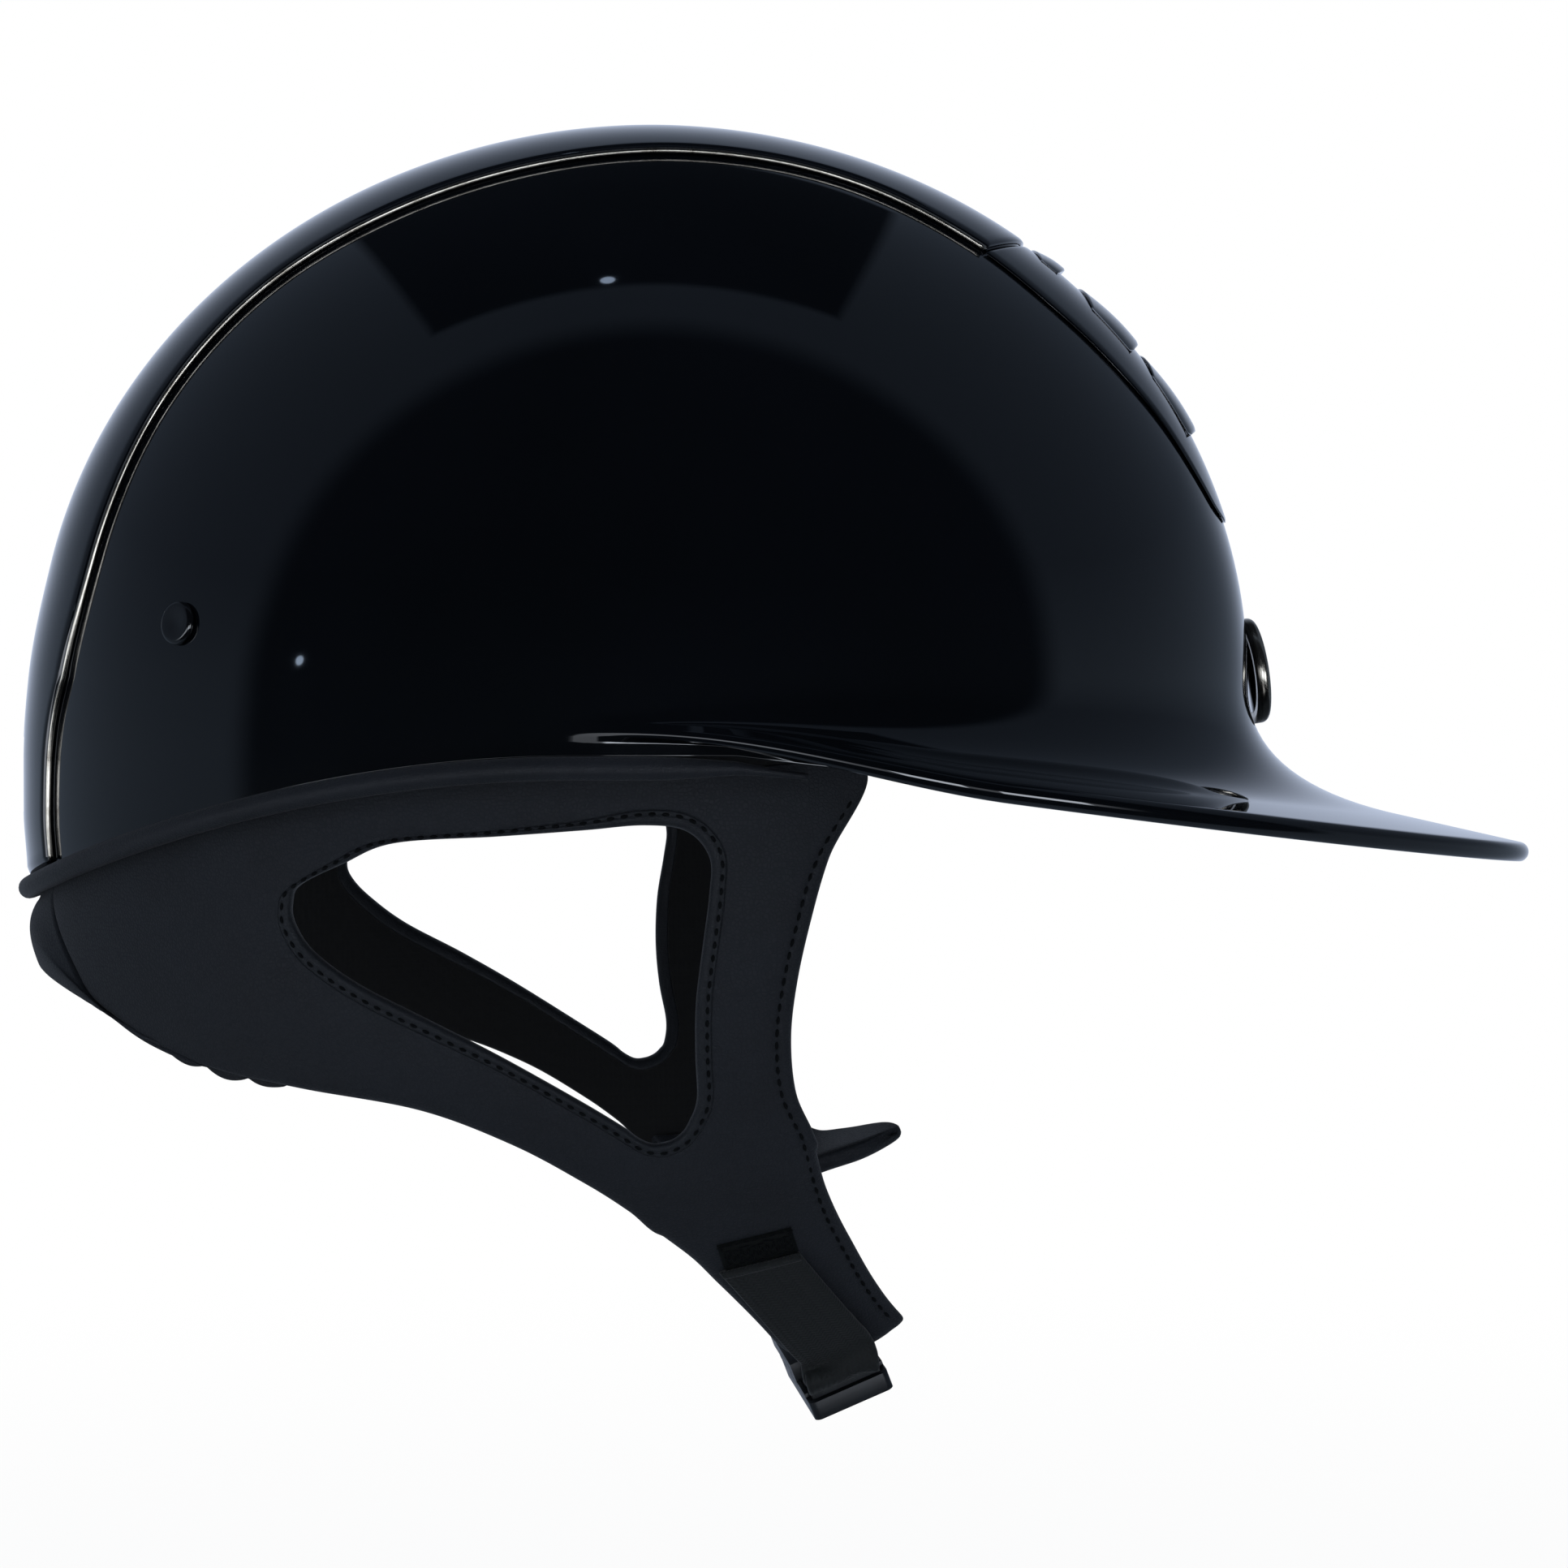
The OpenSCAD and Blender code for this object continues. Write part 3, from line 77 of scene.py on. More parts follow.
class Side(Enum):
    """Wearer's side, with the sign of its Y."""

    RIGHT = -1
    LEFT = 1


class Body(Enum):
    """Moving bodies of the frame."""

    SHELL = "shell"
    LINER = "comfort_liner"
    CHIN = "chin_loop"
    BUCKLE = "buckle_slide"
    SLIDER = "slider"


# Numbers


def mix(a: Array | float, b: Array | float, t: Array | float) -> Array:
    """Blends from a to b by t."""
    return a + (b - a) * t


def ease(t: Array | float) -> Array:
    """Smooth step from 0 to 1."""
    c = np.clip(t, 0.0, 1.0)
    return c * c * (3.0 - 2.0 * c)


def unit(v: Array) -> Array:
    """Vectors along the last axis, made one long."""
    return v / np.maximum(np.linalg.norm(v, axis=-1, keepdims=True), 1e-12)


def spline(points: Sequence[Sequence[float]], steps: int, closed: bool = False) -> Array:
    """Smooth curve through points.

    Args:
        points: the points, each a sequence of coordinates.
        steps: points made from each one to the next.
        closed: whether the last point leads back to the first.

    Returns:
        The curve's points, one row each.
    """
    p = np.asarray(points, float)
    n = len(p)
    t = (np.arange(steps) / steps).reshape((-1,) + (1,) * (p.ndim - 1))
    parts = []
    for i in range(n if closed else n - 1):
        if closed:
            a, b, c, d = p[(i - 1) % n], p[i], p[(i + 1) % n], p[(i + 2) % n]
        else:
            a, b, c, d = p[max(i - 1, 0)], p[i], p[i + 1], p[min(i + 2, n - 1)]
        parts.append(0.5 * (2 * b + (c - a) * t + (2 * a - 5 * b + 4 * c - d) * t ** 2
                            + (3 * b - a - 3 * c + d) * t ** 3))
    if not closed:
        parts.append(p[-1:])
    return np.concatenate(parts)


def lookup(x: Array | float, pairs: Sequence[Pair]) -> Array:
    """Value at x on the straight lines through pairs."""
    table = np.asarray(pairs)
    return np.interp(x, table[:, 0], table[:, 1])


def cos_sin(degrees: Array | float) -> tuple[Array, Array]:
    """Cosine and sine of angles in degrees."""
    return np.cos(np.radians(degrees)), np.sin(np.radians(degrees))


def full_turn(steps: int) -> Array:
    """Evenly spaced angles of one full turn, in radians."""
    return np.linspace(0, 2 * math.pi, steps, endpoint=False)


def circle(steps: int) -> Array:
    """Points of a circle of radius 1."""
    return np.stack([np.cos(full_turn(steps)), np.sin(full_turn(steps))], axis=-1)


def walked(path: Array) -> Array:
    """Distance walked along a path up to each of its points."""
    return np.concatenate([[0], np.cumsum(np.linalg.norm(np.diff(path, axis=0), axis=1))])


def round_off(e: Array | float, radius: float, depth: float) -> Array:
    """Drop of a rounded edge at distance e from it."""
    t = 1 - np.clip(e / radius, 0, 1)
    return depth * (1 - np.sqrt(np.maximum(0, 1 - t * t)))


# Meshes


def grid_faces(rows: int, cols: int, wrap: bool = False, ring: bool = False, skip: Array
               | None = None) -> Faces:
    """Faces of a grid of points.

    Args:
        rows: rows of points.
        cols: points in a row.
        wrap: whether the last row leads back to the first.
        ring: whether each row closes on itself.
        skip: cells that are left open, as a table of rows by columns.

    Returns:
        The faces.
    """
    faces: Faces = []
    for i in range(rows if wrap else rows - 1):
        a, b = i * cols, (i + 1) % rows * cols
        for j in range(cols if ring else cols - 1):
            if skip is None or not skip[i, j]:
                k = (j + 1) % cols
                faces.append((a + j, b + j, b + k, a + k))
    return faces


@contextmanager
def opened(mesh: bpy.types.Mesh) -> Iterator[bmesh.types.BMesh]:
    """Opens a mesh for editing and writes it back.

    Args:
        mesh: the mesh.

    Returns:
        The open mesh, for a with statement.
    """
    bm = bmesh.new()
    bm.from_mesh(mesh)
    yield bm
    bm.to_mesh(mesh)
    bm.free()


def linked(name: str, data: bpy.types.ID) -> Piece:
    """Makes an object of its data and links it to the scene.

    Args:
        name: the object's name.
        data: its mesh, lamp or camera.

    Returns:
        The object, at the origin.
    """
    obj = bpy.data.objects.new(name, data)
    bpy.context.scene.collection.objects.link(obj)
    return obj


def new_object(name: str, points: Array, faces: Faces, uv: Array | None = None) -> Piece:
    """Makes a smooth object from points in millimetres, with its faces turned outwards.

    Args:
        name: the piece's name.
        points: points, one row each.
        faces: faces as indices of points.
        uv: a place on the pattern for each point, in metres.

    Returns:
        The object, at the origin.
    """
    mesh = bpy.data.meshes.new(name)
    mesh.from_pydata((np.asarray(points, float) * MM).tolist(), [], faces)
    if uv is not None:
        layer = mesh.uv_layers.new(name="pattern")
        index = np.empty(len(mesh.loops), dtype=np.int32)
        mesh.loops.foreach_get("vertex_index", index)
        layer.data.foreach_set("uv", np.asarray(uv, float)[index].ravel())
    with opened(mesh) as bm:
        bmesh.ops.recalc_face_normals(bm, faces=bm.faces)
    mesh.shade_smooth()
    return linked(name, mesh)


def closed_sheet(name: str, outer: Array, inner: Array, faces: Faces, lined: int = 0) -> Piece:
    """Closed sheet between two matched lists of points.

    Args:
        name: the piece's name.
        outer: points of the outer face.
        inner: the matching points of the inner face.
        faces: faces of the outer side.
        lined: how many of the inner faces, from the first, take the second finish.

    Returns:
        The object.
    """
    n = len(outer)
    edges = [pair for face in faces for pair in zip(face, face[1:] + face[:1])]
    met = {(b, a) for a, b in edges}
    rim = [(a, a + n, b + n, b) for a, b in edges if (a, b) not in met]
    back = [tuple(i + n for i in face[::-1]) for face in faces]
    obj = new_object(name, np.concatenate([outer, inner]), faces + back + rim)
    for i in range(len(faces), len(faces) + lined):
        obj.data.polygons[i].material_index = 1
    return obj


def slab(name: str, outer: Array, inner: Array, wrap: bool = False, skip: Array | None = None) -> Piece:
    """Closed sheet between two grids of points.

    Args:
        name: the piece's name.
        outer: outer grid, rows by columns by three.
        inner: inner grid of the same shape.
        wrap: whether the rows close on themselves.
        skip: cells cut through both grids.

    Returns:
        The object.
    """
    faces = grid_faces(*outer.shape[:2], wrap, skip=skip)
    obj = closed_sheet(name, outer.reshape(-1, 3), inner.reshape(-1, 3), faces)
    if skip is not None:
        with opened(obj.data) as bm:
            bmesh.ops.delete(bm, geom=[v for v in bm.verts if not v.link_faces], context="VERTS")
    return obj


def rings_skin(name: str, rings: Array, first: Array, last: Array) -> Piece:
    """Closed skin from rings of points.

    Args:
        name: the piece's name.
        rings: rings by points by three.
        first: the point that closes the first ring.
        last: the point that closes the last ring.

    Returns:
        The object.
    """
    m, n = rings.shape[:2]
    faces = grid_faces(m, n, ring=True)
    faces += [(m * n, i, (i + 1) % n) for i in range(n)]
    faces += [(m * n + 1, (m - 1) * n + (i + 1) % n, (m - 1) * n + i) for i in range(n)]
    return new_object(name, np.concatenate([rings.reshape(-1, 3), [first, last]]), faces)


def swept(name: str, sections: Array, closed: bool = False, uv: Array | None = None) -> Piece:
    """Tube from sections of points.

    Args:
        name: the piece's name.
        sections: sections by points by three.
        closed: whether it closes on itself; otherwise it has flat ends.
        uv: a place on the pattern for each point, in metres.

    Returns:
        The object.
    """
    m, n = sections.shape[:2]
    faces = grid_faces(m, n, wrap=closed, ring=True)
    if not closed:
        faces += [tuple(range(n))[::-1], tuple(range((m - 1) * n, m * n))]
    return new_object(name, sections.reshape(-1, 3), faces, None if uv is None else uv.reshape(-1, 2))


def tangents(path: Array) -> Array:
    """Unit direction along a path at each of its points."""
    return unit(np.concatenate([path[1:], path[-1:]]) - np.concatenate([path[:1], path[:-1]]))


def frame_sections(path: Array, sides: Array, profile: Array) -> Array:
    """Sections along a path.

    Args:
        path: points along the middle.
        sides: roughly sideways direction at each point.
        profile: section as sideways and outward offsets, either one or one for each point.

    Returns:
        Sections, path points by profile points by three.
    """
    along = tangents(path)
    aside = unit(sides - along * np.sum(sides * along, axis=1, keepdims=True))
    out = np.cross(along, aside)
    return path[:, None] + aside[:, None] * profile[..., :1] + out[:, None] * profile[..., 1:]


def bake(obj: Piece) -> None:
    """Applies every modifier, so that the piece is one plain mesh.

    Args:
        obj: the piece.
    """
    graph = bpy.context.evaluated_depsgraph_get()
    mesh = bpy.data.meshes.new_from_object(obj.evaluated_get(graph), preserve_all_data_layers=True,
                                           depsgraph=graph)
    obj.modifiers.clear()
    obj.data = mesh


def round_out(obj: Piece) -> None:
    """Subdivides a soft piece once and applies it.

    Args:
        obj: the piece.
    """
    mod = obj.modifiers.new("round", "SUBSURF")
    mod.levels = mod.render_levels = 1
    bake(obj)


def soften(obj: Piece, width_mm: float) -> None:
    """Rounds the sharp edges of a moulded piece and applies it.

    Args:
        obj: the piece.
        width_mm: width of the rounding.
    """
    mod = obj.modifiers.new("soften", "BEVEL")
    mod.width = width_mm * MM
    mod.segments = 3
    mod.limit_method = "ANGLE"
    mod.angle_limit = math.radians(35)
    mod.use_clamp_overlap = True
    bake(obj)


def clean_copy(name: str, node: str) -> Piece:
    """Merged copy of a CAD node, with its flat faces joined, for a piece that refines it.

    Args:
        name: the piece's name.
        node: the CAD node.

    Returns:
        The piece, smooth and without a finish.
    """
    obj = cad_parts[node].copy()
    obj.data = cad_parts[node].data.copy()
    obj.name = obj.data.name = name
    obj.parent = None
    obj.data.materials.clear()
    with opened(obj.data) as bm:
        bmesh.ops.remove_doubles(bm, verts=bm.verts, dist=2e-6)
        bmesh.ops.dissolve_limit(bm, angle_limit=math.radians(1.0), verts=bm.verts, edges=bm.edges)
        bmesh.ops.recalc_face_normals(bm, faces=bm.faces)
    for attribute in [a for a in obj.data.attributes if a.name in ("custom_normal", "sharp_face")]:
        obj.data.attributes.remove(attribute)
    bpy.context.scene.collection.objects.link(obj)
    obj.data.shade_smooth()
    return obj


def join(name: str, parts: Sequence[Piece]) -> Piece:
    """Joins several objects into one.

    Args:
        name: the piece's name.
        parts: the objects, which are deleted.

    Returns:
        The piece.
    """
    mesh = bpy.data.meshes.new(name)
    with opened(mesh) as bm:
        for part in parts:
            bm.from_mesh(part.data)
    mesh.shade_smooth()
    for part in parts:
        bpy.data.objects.remove(part)
    return linked(name, mesh)


# Materials


def linear(code: str) -> tuple[float, float, float, float]:
    """Linear colour of an sRGB hex value.

    Args:
        code: the value, such as #1A2B3C.

    Returns:
        Red, green, blue and an alpha of 1.
    """
    parts = [int(code[i:i + 2], 16) / 255 for i in (1, 3, 5)]
    r, g, b = (c / 12.92 if c <= 0.04045 else ((c + 0.055) / 1.055) ** 2.4 for c in parts)
    return r, g, b, 1.0


def per_mm(size: float) -> float:
    """Texture scale, in metres of object space, whose features are size millimetres across."""
    return 1.0 / (size * MM)


def add(tree: bpy.types.NodeTree, family: str, kind: str, inputs: dict | None = None, out: int | str = 0,
        **settings: object) -> Socket | None:
    """Adds a node.

    Args:
        tree: the tree that it goes in.
        family: what its type name begins with.
        kind: the rest of its type name.
        inputs: values or sockets for its inputs, by name or number.
        out: the output that is wanted, by name or number.
        settings: the node's own settings.

    Returns:
        That output, or nothing from a node that has none.
    """
    node = tree.nodes.new(family + kind)
    for key, value in settings.items():
        setattr(node, key, value)
    for key, value in (inputs or {}).items():
        if isinstance(value, Socket):
            tree.links.new(value, node.inputs[key])
        else:
            node.inputs[key].default_value = value
    return node.outputs[out] if node.outputs else None


def emptied(tree: bpy.types.NodeTree, family: str = "ShaderNode") -> Put:
    """Empties a tree and gives the function that adds nodes of a family to it."""
    tree.nodes.clear()
    return partial(add, tree, family)


@dataclass(frozen=True)
class Finish:
    """A finish: its real material, two close colours and a roughness."""

    name: str
    colour: str
    second: str
    roughness: float

    def surface(self, put: Put) -> Socket:
        """Gives the shader; each kind of finish has its own."""
        raise NotImplementedError

    def tone(self, put: Put, value: Socket, low: float, high: float) -> Socket:
        """Colour that runs from the first one to the second as a value goes from low to high.

        Args:
            put: adds a node to the tree.
            value: what the colour follows.
            low: the value that gives the first colour.
            high: the value that gives the second colour.

        Returns:
            The colour.
        """
        share = put("MapRange", {"Value": value, "From Min": low, "From Max": high})
        return put("Mix", {0: share, 6: linear(self.colour), 7: linear(self.second)}, data_type="RGBA", out=2)

    def material(self) -> bpy.types.Material:
        """Material of this finish, made once.

        Returns:
            The material.
        """
        found = bpy.data.materials.get(self.name)
        if found is None:
            found = bpy.data.materials.new(self.name)
            found.use_nodes = True
            put = emptied(found.node_tree)
            put("OutputMaterial", {"Surface": self.surface(put)})
            found.diffuse_color = linear(self.colour)
        return found


@dataclass(frozen=True)
class Lacquer(Finish):
    """Injection moulded ABS under a sprayed clear lacquer."""

    wave_mm: float = 14.0

    def surface(self, put: Put) -> Socket:
        """Near-black base under a hard clear coat.

        Args:
            put: adds a node to the tree.

        Returns:
            The shader.
        """
        place = put("TexCoord", out="Object")
        # Pigment clouds 60 mm across keep the large black area from reading as flat paint
        cloud = put("TexNoise", {"Vector": place, "Scale": per_mm(60.0), "Detail": 3.0})
        colour = self.tone(put, cloud, 0.35, 0.65)
        # Sprayed lacquer dries with a slight wave, which makes the reflections' edges wander
        peel = put("TexNoise", {"Vector": place, "Scale": per_mm(self.wave_mm), "Detail": 1.0})
        wave = put("Bump", {"Height": peel, "Distance": 0.02 * MM, "Strength": 0.25})
        # Wiping marks 25 mm across change the gloss a little from place to place
        wipe = put("TexNoise", {"Vector": place, "Scale": per_mm(25.0), "Detail": 4.0})
        haze = put("MapRange", {"Value": wipe, "From Min": 0.4, "From Max": 0.7, "To Min": self.roughness,
                                "To Max": self.roughness * 1.6})
        return put("BsdfPrincipled", {"Base Color": colour, "Roughness": haze, "Normal": wave,
                                      "Coat Normal": wave, "IOR": 1.5, "Coat Weight": 0.6,
                                      "Coat Roughness": 0.02, "Coat IOR": 1.5})


@dataclass(frozen=True)
class Plated(Finish):
    """Bright plating on a moulded or stamped piece."""

    def surface(self, put: Put) -> Socket:
        """Metal with slight wear.

        Args:
            put: adds a node to the tree.

        Returns:
            The shader.
        """
        place = put("TexCoord", out="Object")
        # Handling dulls the plating in patches 6 mm across
        worn = put("TexNoise", {"Vector": place, "Scale": per_mm(6.0), "Detail": 5.0, "Roughness": 0.6})
        colour = self.tone(put, worn, 0.45, 0.75)
        rough = put("MapRange", {"Value": worn, "To Min": self.roughness, "To Max": self.roughness * 2.5})
        # The moulding under the plate ripples every 1.2 mm, so the highlight breaks up along the bead
        ripple = put("TexNoise", {"Vector": place, "Scale": per_mm(1.2), "Detail": 2.0})
        relief = put("Bump", {"Height": ripple, "Distance": 0.01 * MM, "Strength": 0.3})
        return put("BsdfPrincipled", {"Base Color": colour, "Metallic": 1.0, "Roughness": rough,
                                      "Normal": relief})


@dataclass(frozen=True)
class Leather(Finish):
    """Coated microfibre leather, embossed with a pebble grain."""

    grain_mm: float = 0.8
    depth_mm: float = 0.06

    def surface(self, put: Put) -> Socket:
        """Matte skin with grain, pores and a slow change of tone.

        Args:
            put: adds a node to the tree.

        Returns:
            The shader.
        """
        place = put("TexCoord", out="Object")
        # The embossing roller's cells are bent by a 3 mm wander, so no rows show
        warp = put("TexNoise", {"Vector": place, "Scale": per_mm(3.0), "Detail": 2.0}, out=1)
        bent = put("VectorMath", {0: warp, 1: (0.6 * MM,) * 3, 2: place}, operation="MULTIPLY_ADD")
        cells = put("TexVoronoi", {"Vector": bent, "Scale": per_mm(self.grain_mm), "Randomness": 1.0},
                    feature="DISTANCE_TO_EDGE")
        crease = put("MapRange", {"Value": cells, "From Max": 0.22})
        # Pores a quarter of a millimetre across take the shine off each pebble
        pores = put("TexNoise", {"Vector": place, "Scale": per_mm(0.25), "Detail": 2.0, "Roughness": 0.6})
        under = put("Bump", {"Height": pores, "Distance": self.depth_mm * 0.35 * MM, "Strength": 0.6})
        relief = put("Bump", {"Height": crease, "Distance": self.depth_mm * MM, "Strength": 0.8,
                              "Normal": under})
        # The coating's tone drifts over 18 mm
        cloud = put("TexNoise", {"Vector": place, "Scale": per_mm(18.0), "Detail": 4.0, "Roughness": 0.55})
        colour = self.tone(put, cloud, 0.3, 0.7)
        rough = put("MapRange", {"Value": crease, "To Min": min(self.roughness + 0.14, 1.0),
                                 "To Max": self.roughness})
        return put("BsdfPrincipled", {"Base Color": colour, "Roughness": rough, "Normal": relief,
                                      "Specular IOR Level": 0.3, "Sheen Weight": 0.06,
                                      "Sheen Roughness": 0.5})


@dataclass(frozen=True)
class Knit(Finish):
    """Warp-knitted cloth with open cells on a dull ground."""

    cell_mm: float = 1.6
    depth_mm: float = 0.18

    def surface(self, put: Put) -> Socket:
        """Cells in rows with fuzz between, with painted shade darkening each cell's hollow.

        Args:
            put: adds a node to the tree.

        Returns:
            The shader.
        """
        place = put("TexCoord", out="Object")
        # Knitted cells lie almost in rows and read as a soft mesh
        cells = put("TexVoronoi", {"Vector": place, "Scale": per_mm(self.cell_mm), "Randomness": 0.35},
                    out="Distance")
        # Painted shade: the darker second colour fills the middle of each cell, where the relief dips
        colour = self.tone(put, cells, 0.6, 0.15)
        # Loose fibres 0.3 mm apart break up every highlight
        fuzz = put("TexNoise", {"Vector": place, "Scale": per_mm(0.3), "Detail": 3.0, "Roughness": 0.7})
        under = put("Bump", {"Height": fuzz, "Distance": 0.08 * MM, "Strength": 0.6})
        relief = put("Bump", {"Height": cells, "Distance": self.depth_mm * MM, "Strength": 0.9,
                              "Normal": under})
        return put("BsdfPrincipled", {"Base Color": colour, "Roughness": self.roughness, "Normal": relief,
                                      "Specular IOR Level": 0.2, "Sheen Weight": 0.2, "Sheen Roughness": 0.6})


@dataclass(frozen=True)
class Woven(Finish):
    """Flat polyester webbing, woven in a narrow herringbone."""

    rib_mm: float = 1.1
    yarn_mm: float = 0.75

    def surface(self, put: Put) -> Socket:
        """Slanted yarns that turn back at each rib, painted darker in the dips between them as shade.

        Args:
            put: adds a node to the tree.

        Returns:
            The shader.
        """
        parts = put("SeparateXYZ", {0: put("UVMap", uv_map="pattern")}).node.outputs
        # The yarn's slant turns back at each rib, which gives the strap its lengthwise lines
        across = put("Math", {0: parts[1], 1: per_mm(self.rib_mm)}, operation="MULTIPLY")
        fold = put("Math", {0: across, 1: 1.0}, operation="PINGPONG")
        slant = put("Math", {0: parts[0], 1: per_mm(self.yarn_mm), 2: fold}, operation="MULTIPLY_ADD")
        yarn = put("Math", {0: slant, 1: 0.5}, operation="PINGPONG")
        edge = put("Math", {0: fold, 1: 0.5}, operation="SUBTRACT")
        bulge = put("Math", {0: edge}, operation="ABSOLUTE")
        height = put("Math", {0: yarn, 1: bulge}, operation="SUBTRACT")
        lift = put("MapRange", {"Value": height, "From Min": -0.5, "From Max": 0.5})
        # Painted shade: the colour is darker where the yarns dip and lighter on their raised tops
        colour = self.tone(put, lift, 0.2, 0.8)
        # Filaments between the yarns keep the ribs from looking cut
        fuzz = put("TexNoise", {"Vector": put("TexCoord", out="Object"), "Scale": per_mm(0.3), "Detail": 3.0,
                                "Roughness": 0.7})
        under = put("Bump", {"Height": fuzz, "Distance": 0.05 * MM, "Strength": 0.5})
        relief = put("Bump", {"Height": lift, "Distance": 0.14 * MM, "Strength": 0.8, "Normal": under})
        return put("BsdfPrincipled", {"Base Color": colour, "Roughness": self.roughness, "Normal": relief,
                                      "Specular IOR Level": 0.3, "Sheen Weight": 0.1})


@dataclass(frozen=True)
class Moulded(Finish):
    """Injection moulded acetal or nylon from a spark-eroded tool."""

    grit_mm: float = 0.35
    specular: float = 0.45

    def surface(self, put: Put) -> Socket:
        """Dull, even plastic with a fine speckle.

        Args:
            put: adds a node to the tree.

        Returns:
            The shader.
        """
        place = put("TexCoord", out="Object")
        # Flow marks change the tone over 8 mm
        flow = put("TexNoise", {"Vector": place, "Scale": per_mm(8.0), "Detail": 3.0})
        colour = self.tone(put, flow, 0.35, 0.65)
        # The tool's grit spreads the highlight
        grit = put("TexNoise", {"Vector": place, "Scale": per_mm(self.grit_mm), "Detail": 2.0,
                                "Roughness": 0.6})
        relief = put("Bump", {"Height": grit, "Distance": 0.02 * MM, "Strength": 0.5})
        return put("BsdfPrincipled", {"Base Color": colour, "Roughness": self.roughness, "Normal": relief,
                                      "Specular IOR Level": self.specular})


@dataclass(frozen=True)
class BeadFoam(Finish):
    """Steam-moulded bead foam."""

    bead_mm: float = 3.0

    def surface(self, put: Put) -> Socket:
        """Flattened beads with fine pits between them, and painted shade in the pits.

        Args:
            put: adds a node to the tree.

        Returns:
            The shader.
        """
        place = put("TexCoord", out="Object")
        # Beads 3 mm across are pressed flat against the mould and show as a mosaic
        edge = put("TexVoronoi", {"Vector": place, "Scale": per_mm(self.bead_mm)}, feature="DISTANCE_TO_EDGE")
        face = put("MapRange", {"Value": edge, "From Max": 0.12})
        # Painted shade: the pits between the beads take the darker second colour
        colour = self.tone(put, face, 1.0, 0.0)
        relief = put("Bump", {"Height": face, "Distance": 0.15 * MM, "Strength": 0.7})
        return put("BsdfPrincipled", {"Base Color": colour, "Roughness": self.roughness, "Normal": relief,
                                      "Specular IOR Level": 0.3})


class Finishes:
    """Every finish of the helmet, by its place."""

    shell = Lacquer("lacquered_abs_shell", "#05070A", "#07090D", 0.035)
    panel = Lacquer("lacquered_abs_crown_panel", "#06080C", "#090C11", 0.045, 18.0)
    vent = Lacquer("moulded_gloss_vent_panel", "#06080B", "#080A0E", 0.06, 10.0)
    badge = Lacquer("gloss_badge_face", "#07090C", "#090B0F", 0.05, 8.0)
    chrome = Plated("chrome_plated_bead", "#B9B3A8", "#6E675C", 0.14)
    steel = Plated("nickel_plated_steel", "#9FA1A4", "#7C7E81", 0.28)
    plug = Lacquer("gloss_acetal_plug", "#07080A", "#0A0B0E", 0.12, 5.0)
    leather = Leather("coated_microfibre_leather", "#13161B", "#161A20", 0.6)
    piping = Leather("stretched_piping_leather", "#15181D", "#191C22", 0.5, 0.7, 0.045)
    binding = Leather("folded_binding_leather", "#14171C", "#171B20", 0.56, 0.7, 0.05)
    lining = Knit("knitted_harness_lining", "#070808", "#040404", 0.95, 1.2, 0.12)
    pad = Knit("spacer_knit_head_pad", "#1E2126", "#0E1013", 0.9, 2.0, 0.25)
    hook = Knit("hook_tape", "#17181A", "#0C0D0E", 0.8, 0.9, 0.3)
    webbing = Woven("polyester_webbing", "#0B0E0E", "#121616", 0.7)
    thread = Moulded("bonded_nylon_thread", "#07090A", "#090B0D", 0.8, 0.3, 0.12)
    patch = Moulded("calendered_rubber_patch", "#080B0A", "#0B0E0D", 0.7, 0.4, 0.15)
    plastic = Moulded("moulded_acetal_buckle", "#0F1216", "#13171B", 0.4)
    trim = Moulded("moulded_vent_grille", "#0D0F12", "#111418", 0.5)
    foam = BeadFoam("moulded_bead_foam", "#16181B", "#0B0C0E", 0.75)


def dress(obj: Piece, *finishes: Finish) -> None:
    """Gives a piece its materials in place of any that it has.

    Args:
        obj: the piece.
        finishes: its finishes, in the order of its faces' indices.
    """
    if obj.data.materials:
        obj.data.materials.clear()
    for finish in finishes:
        obj.data.materials.append(finish.material())


def dress_node(node: str, finish: Finish) -> None:
    """Gives a CAD node that stays visible its finish.

    Args:
        node: the node.
        finish: its finish.
    """
    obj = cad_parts[node]
    for i in range(max(1, len(obj.data.materials))):
        if i < len(obj.data.materials):
            obj.data.materials[i] = finish.material()
        else:
            obj.data.materials.append(finish.material())
    for slot in obj.material_slots:
        slot.material = finish.material()


def place_piece(obj: Piece, finish: Finish, body: Body, slot: str, *nodes: str) -> None:
    """Dresses a finished piece and rides it on its body.

    Args:
        obj: the piece.
        finish: its finish.
        body: the body that it moves with.
        slot: not used.
        nodes: the CAD nodes that it stands for.
    """
    dress(obj, finish)
    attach(obj, body.value)
    if nodes:
        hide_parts(*nodes)
    LOG.info("%s rides on %s, %d faces", obj.name, body.value, len(obj.data.polygons))


# Forms shared by the pieces


